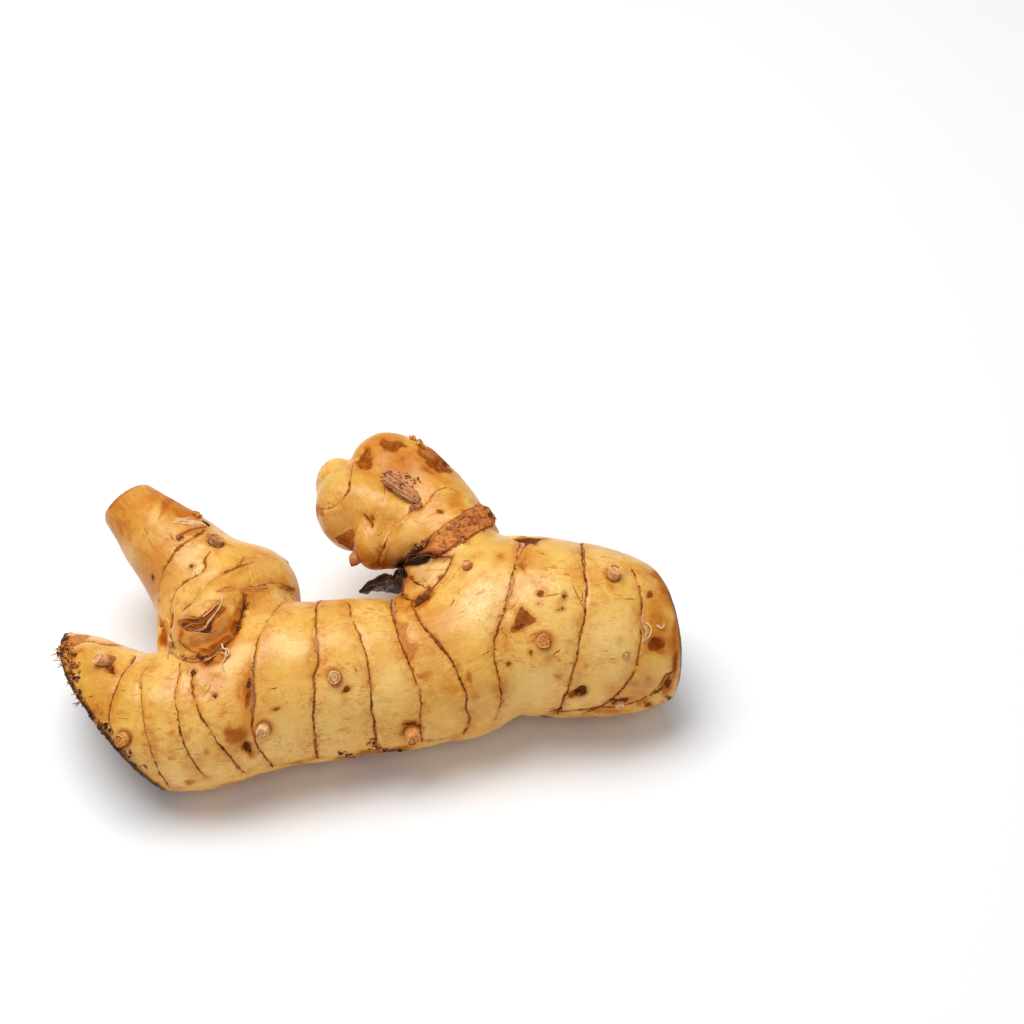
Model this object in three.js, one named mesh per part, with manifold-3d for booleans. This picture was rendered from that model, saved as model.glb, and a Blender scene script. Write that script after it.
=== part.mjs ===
// Galangal rhizome: one freshly lifted piece, trimmed for sale. Millimetres, +Z up.
//
// The rhizome lies on its side along X. The stout main limb runs the whole length and rests on the ground. A leafy
// stem once rose from the back of its left half: its stub is still there, on a swollen shoulder, with a dormant bud in
// the angle. At the middle a short neck rises to the back and carries a knobbly young rhizome head behind a rough
// collar. It is one grown body, so the group holds one mesh. The origin is the middle of the bounding box at the
// ground.
import * as THREE from "three";
import { mergeVertices } from "three/addons/utils/BufferGeometryUtils.js";
import Module from "manifold-3d";

// ---------------------------------------------------------------- dimensions
// Each row of a limb is one station on its axis: x, y, z and the radius there.
const MAIN_LIMB = [
  [65.79, 0.83, 10.31, 10.71],
  [62.24, -0.39, 11.98, 12.38],
  [57.86, -1.45, 13.63, 14.03],
  [53.09, -2.69, 15.48, 15.88],
  [48.82, -3.05, 16.51, 16.91],
  [44.58, -3.13, 17.23, 17.63],
  [40.35, -3.03, 17.74, 18.14],
  [34.02, -2.84, 18.16, 18.56],
  [29.38, -2.85, 17.54, 17.94],
  [26.01, -5.92, 16.85, 17.25],
  [22.67, -8.58, 16.69, 17.09],
  [19.34, -10.14, 16.55, 16.95],
  [15.17, -11.52, 15.90, 16.30],
  [6.85, -13.49, 15.15, 15.55],
  [-1.44, -14.43, 15.43, 15.83],
  [-9.64, -16.30, 16.00, 16.40],
  [-17.80, -18.17, 16.26, 16.66],
  [-25.87, -21.12, 15.89, 16.29],
  [-33.92, -24.60, 14.61, 15.01],
  [-40.61, -24.66, 13.40, 13.80],
  [-47.12, -22.39, 12.63, 13.03],
  [-52.94, -19.21, 12.07, 12.47],
  [-58.12, -15.00, 11.32, 11.72],
  [-63.16, -10.02, 9.74, 10.14],
  [-67.00, -5.42, 7.70, 8.10],
];

const STEM_LIMB = [
  [-29.49, -6.14, 17.10, 13.04],
  [-31.14, -0.50, 18.10, 13.54],
  [-34.83, 4.87, 20.10, 11.91],
  [-39.87, 10.60, 22.10, 10.15],
  [-45.71, 15.93, 24.60, 8.04],
  [-50.12, 20.48, 26.10, 6.57],
  [-53.65, 24.06, 27.10, 5.62],
];

const NECK_LIMB = [
  [27.07, -6.14, 17.10, 13.88],
  [23.47, -0.11, 21.10, 12.65],
  [19.22, 5.18, 24.10, 9.94],
  [17.68, 10.39, 25.40, 9.57],
];

const COLLAR = [
  [18.28, 12.36, 25.50, 10.13],
  [16.75, 15.77, 26.60, 10.27],
];

const KNOB_LIMB = [
  [16.77, 14.47, 26.40, 9.50],
  [13.20, 22.03, 27.60, 9.05],
  [8.77, 27.89, 29.10, 8.56],
  [3.23, 32.16, 30.10, 7.62],
];

const BUD_LIMB = [
  [-28.59, -12.47, 26.60, 5.55],
  [-31.53, -12.89, 30.10, 6.13],
  [-34.19, -13.06, 32.10, 4.48],
];

// The rounded lobes of the young head.
const HEAD_LOBES = [
  { centre: [-1.11, 19.71, 28.10], radii: [10.09, 9.66, 9.87] },
  { centre: [1.70, 21.25, 30.20], radii: [8.58, 7.93, 8.58], along: [0.5000, 0.6124, 0.6124], across: [0.8660, -0.3536, -0.3536] },
  { centre: [2.17, 31.95, 30.60], radii: [7.50, 7.50, 7.39] },
  { centre: [11.86, 16.18, 28.31], radii: [12.83, 4.49, 10.05], along: [0.7642, 0.4041, 0.5027], across: [0.6428, -0.5417, -0.5417] },
  { centre: [0.72, 11.22, 27.60], radii: [4.67, 5.73, 5.52] },
  { centre: [-6.15, 27.69, 29.60], radii: [6.06, 6.06, 6.49] },
];

// The swollen shoulder under the stem stub, and the low lobe behind it that props the left half.
const SHOULDER_LOBES = [
  { centre: [-26.15, 4.35, 19.10], radii: [10.64, 10.64, 10.85] },
  { centre: [-37.23, -2.27, 19.10], radii: [7.38, 8.01, 8.01] },
  { centre: [-22.44, -3.24, 18.60], radii: [7.16, 8.43, 7.16] },
  { centre: [-28.36, 3.37, 9.10], radii: [13.00, 12.00, 9.60] },
];

// Where the grower's knife took the rhizome off, as planes. The right end was broken from its neighbour.
const RIGHT_END = { point: [65.33, -12.16, 23.79], outward: [0.9478, 0.2932, -0.1257] };
const LEFT_END_UPPER = { point: [-60.58, -18.96, 15.91], outward: [-0.9275, -0.2186, -0.3032] };
const LEFT_END_LOWER = { point: [-50.32, -35.16, 16.81], outward: [-0.7521, -0.4140, -0.5128] };
const STEM_TIP = { point: [-53.87, 25.49, 26.60], outward: [-0.6405, 0.6940, 0.3287] };

// Scale-leaf scars ring the main limb. They are given as places along its axis, in station numbers, and the limb is
// pinched there by NODE_PINCH and swells by INTERNODE_SWELL between them.
const NODE_STATIONS = [1.3, 2.4, 5.2, 9.3, 11.5, 13.0, 13.9, 15.1, 16.4, 17.7, 18.5, 19.5, 20.7];
const NODE_PINCH = 0.35;
const INTERNODE_SWELL = 0.25;

const MAIN_SIDES = 28; // facets round the main limb
const MAIN_STEPS = 46; // sections along it
const CAP_RINGS = 3; // rings in each rounded limb end
const GROUND = 0; // the body is pressed flat where it rests
const SKIN = new THREE.Color(0xe2ad62);

// ---------------------------------------------------------------- shapes
const wasm = await Module();
wasm.setup();

// A closed geometry as a manifold-3d solid.
function solid(geometry) {
  const bare = geometry.clone();
  bare.deleteAttribute("normal");
  bare.deleteAttribute("uv");
  const merged = mergeVertices(bare, 1e-4);
  return new wasm.Manifold(
    new wasm.Mesh({
      numProp: 3,
      vertProperties: new Float32Array(merged.attributes.position.array),
      triVerts: new Uint32Array(merged.index.array),
    }),
  );
}

// A manifold-3d solid as a geometry.
function geometryOf(body) {
  const m = body.getMesh();
  const xyz = new Float32Array(m.numVert * 3);
  for (let i = 0; i < m.numVert; i++)
    xyz.set(m.vertProperties.subarray(i * m.numProp, i * m.numProp + 3), i * 3);
  return new THREE.BufferGeometry()
    .setAttribute("position", new THREE.BufferAttribute(xyz, 3))
    .setIndex(new THREE.BufferAttribute(new Uint32Array(m.triVerts), 1));
}

// A limb of round section along a smooth curve through its stations, with rounded ends. swell(s) is added to the
// radius at station number s.
function limb(stations, sides, steps, swell = () => 0) {
  const axis = new THREE.CatmullRomCurve3(
    stations.map((s) => new THREE.Vector3(s[0], s[1], s[2])),
  );
  const radii = new THREE.CatmullRomCurve3(
    stations.map((s, i) => new THREE.Vector3(i, s[3], 0)),
  );
  const rings = [];
  const ring = (centre, tangent, r) => {
    const side = new THREE.Vector3(0, 0, 1).cross(tangent).normalize();
    const top = tangent.clone().cross(side);
    rings.push(
      Array.from({ length: sides }, (_, k) => {
        const a = (2 * Math.PI * k) / sides;
        return centre
          .clone()
          .addScaledVector(side, r * Math.cos(a))
          .addScaledVector(top, r * Math.sin(a));
      }),
    );
  };
  const last = stations.length - 1;
  const at = (t) => ({
    c: axis.getPoint(t),
    d: axis.getTangent(t),
    r: radii.getPoint(t).y + swell(t * last),
  });
  const start = at(0),
    end = at(1);
  for (let k = CAP_RINGS; k >= 1; k--) {
    const a = ((Math.PI / 2) * k) / (CAP_RINGS + 1);
    ring(start.c.clone().addScaledVector(start.d, -start.r * Math.sin(a)), start.d, start.r * Math.cos(a));
  }
  for (let i = 0; i <= steps; i++) {
    const p = at(i / steps);
    ring(p.c, p.d, p.r);
  }
  for (let k = 1; k <= CAP_RINGS; k++) {
    const a = ((Math.PI / 2) * k) / (CAP_RINGS + 1);
    ring(end.c.clone().addScaledVector(end.d, end.r * Math.sin(a)), end.d, end.r * Math.cos(a));
  }
  const poles = [
    start.c.clone().addScaledVector(start.d, -start.r),
    end.c.clone().addScaledVector(end.d, end.r),
  ];
  const points = [...rings.flat(), ...poles];
  const faces = [];
  for (let i = 0; i + 1 < rings.length; i++)
    for (let k = 0; k < sides; k++) {
      const a = i * sides + k,
        b = i * sides + ((k + 1) % sides),
        c = a + sides,
        d = b + sides;
      faces.push(a, b, d, a, d, c);
    }
  const first = rings.length * sides,
    lastRing = (rings.length - 1) * sides;
  for (let k = 0; k < sides; k++) {
    const n = (k + 1) % sides;
    faces.push(first, n, k);
    faces.push(first + 1, lastRing + k, lastRing + n);
  }
  return new THREE.BufferGeometry().setFromPoints(points).setIndex(faces);
}

// A rounded lobe: a sphere stretched along three axes.
function lobe({ centre, radii, along, across }, around = 26, down = 18) {
  const x = along ? new THREE.Vector3(...along) : new THREE.Vector3(1, 0, 0);
  const y = across ? new THREE.Vector3(...across) : new THREE.Vector3(0, 1, 0);
  const z = x.clone().cross(y).normalize();
  const place = new THREE.Matrix4()
    .makeBasis(x, y, z)
    .multiply(new THREE.Matrix4().makeScale(...radii))
    .setPosition(...centre);
  return new THREE.SphereGeometry(1, around, down).applyMatrix4(place);
}

// The block of everything beyond a cut plane.
function beyond({ point, outward }, size = 160) {
  const n = new THREE.Vector3(...outward).normalize();
  const block = new THREE.BoxGeometry(size, size, size).translate(0, 0, size / 2);
  block.applyQuaternion(new THREE.Quaternion().setFromUnitVectors(new THREE.Vector3(0, 0, 1), n));
  return solid(block.translate(...point));
}

// ---------------------------------------------------------------- the rhizome
// Between two node rings the limb swells, and it is pinched at each ring.
function internode(s) {
  let below = -1,
    above = MAIN_LIMB.length;
  for (const n of NODE_STATIONS) {
    if (n <= s) below = Math.max(below, n);
    if (n > s) above = Math.min(above, n);
  }
  const f = Math.sin((Math.PI * (s - below)) / (above - below));
  return -NODE_PINCH + (NODE_PINCH + INTERNODE_SWELL) * Math.sqrt(Math.max(0, f));
}

let main = solid(limb(MAIN_LIMB, MAIN_SIDES, MAIN_STEPS, internode));
main = main.subtract(beyond(RIGHT_END));
main = main.subtract(beyond(LEFT_END_UPPER)).subtract(beyond(LEFT_END_LOWER));

const stem = solid(limb(STEM_LIMB, 24, 13)).subtract(beyond(STEM_TIP));

let body = main.add(stem);
for (const shape of SHOULDER_LOBES) body = body.add(solid(lobe(shape, 24, 16)));
body = body.add(solid(limb(NECK_LIMB, 26, 6)));
body = body.add(solid(limb(KNOB_LIMB, 22, 7)));
body = body.add(solid(limb(COLLAR, 24, 2)).subtract(beyond({ point: COLLAR[1].slice(0, 3), outward: [-0.42, 0.88, 0.22] })));
for (const shape of HEAD_LOBES) body = body.add(solid(lobe(shape, 18, 12)));
body = body.add(solid(limb(BUD_LIMB, 14, 5)));
body = body.subtract(beyond({ point: [0, 0, GROUND], outward: [0, 0, -1] }, 260));
// Where two facets only graze each other a crumb can come loose: the rhizome is the largest body.
body = body.decompose().sort((a, b) => b.volume() - a.volume())[0];

const rhizome = new THREE.Mesh(
  geometryOf(body),
  new THREE.MeshStandardMaterial({ color: SKIN, roughness: 0.45, metalness: 0, flatShading: true }),
);
rhizome.name = "rhizome";

const galangal = new THREE.Group();
galangal.name = "galangal";
galangal.add(rhizome);
export default galangal;
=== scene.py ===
import math

import bpy
import numpy as np
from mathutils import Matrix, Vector


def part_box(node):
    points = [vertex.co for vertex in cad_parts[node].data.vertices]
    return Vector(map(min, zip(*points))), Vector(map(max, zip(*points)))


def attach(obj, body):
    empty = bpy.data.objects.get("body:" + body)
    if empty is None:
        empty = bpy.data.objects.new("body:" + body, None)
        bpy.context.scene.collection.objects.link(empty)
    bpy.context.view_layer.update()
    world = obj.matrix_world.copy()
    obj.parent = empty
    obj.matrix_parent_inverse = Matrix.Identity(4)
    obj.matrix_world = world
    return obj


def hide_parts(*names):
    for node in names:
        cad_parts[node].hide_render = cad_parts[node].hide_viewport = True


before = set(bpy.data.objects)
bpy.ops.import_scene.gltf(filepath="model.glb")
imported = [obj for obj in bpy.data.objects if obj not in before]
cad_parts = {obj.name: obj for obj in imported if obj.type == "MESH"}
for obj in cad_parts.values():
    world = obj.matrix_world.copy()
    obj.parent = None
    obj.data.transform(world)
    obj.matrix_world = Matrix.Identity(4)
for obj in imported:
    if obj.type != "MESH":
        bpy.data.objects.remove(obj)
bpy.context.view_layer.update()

# ------------------------------------------------------------------ the forms
# Millimetres, in the row frame: the rhizome lies on z = 0 with its length along X.
# ORIGIN is where the frame puts the middle of the CAD solid's foot.
_lo, _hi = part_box("rhizome")
ORIGIN = np.array([(_lo.x + _hi.x) * 500, (_lo.y + _hi.y) * 500, _lo.z * 1000])
CELL = 0.545  # spacing of the skin's mesh

# Limbs: stations of x, y, z, radius, height over width.
TUBES = {
    "main": {"st": [[65.751, -0.09, 10.216, 10.616, 1.0], [62.165, -1.909, 12.079, 12.479, 1.0], [57.785, -3.271, 13.911, 14.311, 1.0], [53.032, -4.118, 15.863, 16.263, 1.0], [48.772, -4.191, 17.201, 17.601, 1.0], [44.541, -4.19, 17.921, 18.321, 1.0], [40.327, -3.998, 18.336, 18.736, 1.0], [34.014, -3.347, 18.558, 18.958, 1.0], [29.378, -2.612, 18.063, 18.463, 1.0], [26.012, -4.701, 17.703, 18.103, 1.0], [22.666, -7.476, 17.02, 17.42, 1.0], [19.341, -10.139, 16.549, 16.949, 1.0], [15.172, -11.52, 15.904, 16.304, 1.0], [6.888, -14.247, 15.538, 15.938, 1.0], [-1.389, -15.156, 15.884, 16.284, 1.0], [-9.597, -16.779, 16.233, 16.633, 1.0], [-17.797, -18.172, 16.262, 16.662, 1.0], [-25.871, -21.116, 15.892, 16.292, 1.0], [-33.862, -25.035, 14.799, 15.199, 1.0], [-40.496, -25.338, 13.887, 14.287, 1.0], [-46.983, -23.491, 12.812, 13.212, 1.0], [-52.786, -20.319, 12.259, 12.659, 1.0], [-57.984, -16.04, 11.41, 11.81, 1.0], [-63.078, -10.757, 9.627, 10.027, 1.0], [-66.943, -6.075, 7.484, 7.884, 1.0]], "n": 140, "cap": 1.0},
    "fing": {"st": [[-29.489, -6.138, 17.1, 13.036, 1.0], [-30.733, -0.358, 18.1, 13.334, 1.0], [-34.27, 5.014, 20.1, 11.801, 1.0], [-39.211, 10.898, 22.1, 10.304, 1.0], [-45.117, 16.377, 24.6, 8.478, 1.0], [-49.759, 21.092, 26.1, 6.899, 1.0], [-53.284, 24.675, 27.1, 5.949, 1.0]], "n": 90, "cap": 1.0},
    "neck": {"st": [[27.068, -6.138, 17.1, 13.877, 1.0], [23.902, -0.681, 21.1, 12.851, 1.0], [19.649, 4.786, 23.9, 10.573, 1.0], [18.101, 10.388, 25.4, 9.889, 1.0]], "n": 30, "cap": 1.0},
    "band": {"st": [[18.084, 11.777, 25.8, 10.008, 1.0], [16.541, 15.57, 26.8, 10.154, 1.0]], "n": 12, "cap": 0.1},
    "core": {"st": [[16.987, 14.168, 26.4, 9.499, 1.0], [13.419, 22.03, 27.6, 9.048, 1.0], [8.562, 27.579, 29.1, 8.231, 1.0], [3.68, 31.843, 30.1, 7.179, 1.0]], "n": 30, "cap": 1.0},
}
# Swellings: centre, three radii, axes.
BALLS = {
    "left_scale": [[-7.865, 27.69, 29.9], [4.328, 5.735, 4.761], [[0.9903, -0.0984, -0.0984], [-0.1392, -0.7002, -0.7002], [0.0, 0.7071, -0.7071]]],
    "cheek": [[-4.212, 21.834, 28.1], [7.64, 9.147, 8.824], [[0.9848, 0.1228, 0.1228], [0.1736, -0.6964, -0.6964], [0.0, 0.7071, -0.7071]]],
    "cheek_b": [[5.125, 19.711, 28.4], [6.435, 9.009, 8.58], [[0.6428, 0.5417, 0.5417], [0.766, -0.4545, -0.4545], [-0.0, 0.7071, -0.7071]]],
    "crown": [[2.588, 32.053, 30.2], [6.854, 6.854, 6.963], [[1.0, 0.0, 0.0], [0.0, 1.0, 0.0], [0.0, 0.0, 1.0]]],
    "crown_b": [[8.278, 29.961, 29.2], [6.844, 7.93, 7.713], [[0.766, 0.4545, 0.4545], [0.6428, -0.5417, -0.5417], [0.0, 0.7071, -0.7071]]],
    "roll": [[9.937, 14.874, 26.9], [9.395, 5.765, 8.541], [[0.807, 0.3653, 0.4639], [0.5878, -0.5721, -0.5721], [0.0564, 0.7344, -0.6764]]],
    "chin": [[0.662, 12.197, 27.2], [4.041, 5.529, 5.742], [[0.9903, 0.0984, 0.0984], [0.1392, -0.7002, -0.7002], [0.0, 0.7071, -0.7071]]],
    "bud": [[-31.942, -14.172, 28.78], [7.668, 6.135, 6.748], [[0.8829, 0.332, 0.332], [0.4695, -0.6243, -0.6243], [-0.0, 0.7071, -0.7071]]],
    "bud_b": [[-36.249, -15.84, 26.97], [3.477, 3.068, 4.091], [[1.0, 0.0, 0.0], [0.0, -0.7071, -0.7071], [0.0, 0.7071, -0.7071]]],
    "bud_top": [[-28.982, -7.29, 27.035], [5.382, 5.796, 6.21], [[0.9848, 0.1228, 0.1228], [0.1736, -0.6964, -0.6964], [0.0, 0.7071, -0.7071]]],
    "facet": [[11.834, 1.068, 28.746], [4.597, 5.433, 5.015], [[1.0, 0.0, 0.0], [0.0, -0.7071, -0.7071], [0.0, 0.7071, -0.7071]]],
    "side_lobe": [[-42.168, -9.799, 22.1], [1.35, 3.635, 1.869], [[0.9976, -0.0493, -0.0493], [-0.0698, -0.7054, -0.7054], [0.0, 0.7071, -0.7071]]],
    "saddle": [[-22.367, -4.778, 18.1], [7.573, 9.676, 8.414], [[1.0, 0.0, 0.0], [0.0, -0.7071, -0.7071], [0.0, 0.7071, -0.7071]]],
    "swell": [[19.762, -13.005, 13.8], [10.46, 12.134, 12.552], [[1.0, 0.0, 0.0], [0.0, 1.0, 0.0], [0.0, 0.0, 1.0]]],
    "base_lobe": [[-25.749, 4.64, 19.1], [10.854, 10.854, 10.854], [[1.0, 0.0, 0.0], [0.0, 1.0, 0.0], [0.0, 0.0, 1.0]]],
    "base_lobe_b": [[-36.916, -2.275, 19.1], [7.167, 7.905, 8.01], [[1.0, 0.0, 0.0], [0.0, 1.0, 0.0], [0.0, 0.0, 1.0]]],
    "under_lobe": [[-28.359, 3.371, 9.1], [13.0, 12.0, 9.6], [[1.0, 0.0, 0.0], [0.0, 1.0, 0.0], [0.0, 0.0, 1.0]]],
}
# Cut faces: a point on each and its outward direction.
CUTS = {
    "end_cut": [[66.448, -12.156, 23.79], [0.9478, 0.2932, -0.1257]],
    "left_cut": [[-60.708, -18.963, 15.914], [-0.9275, -0.2186, -0.3032]],
    "left_cut_b": [[-50.215, -35.156, 16.809], [-0.7521, -0.414, -0.5128]],
    "tip_cut": [[-53.866, 25.486, 26.6], [-0.6405, 0.694, 0.3287]],
}

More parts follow.
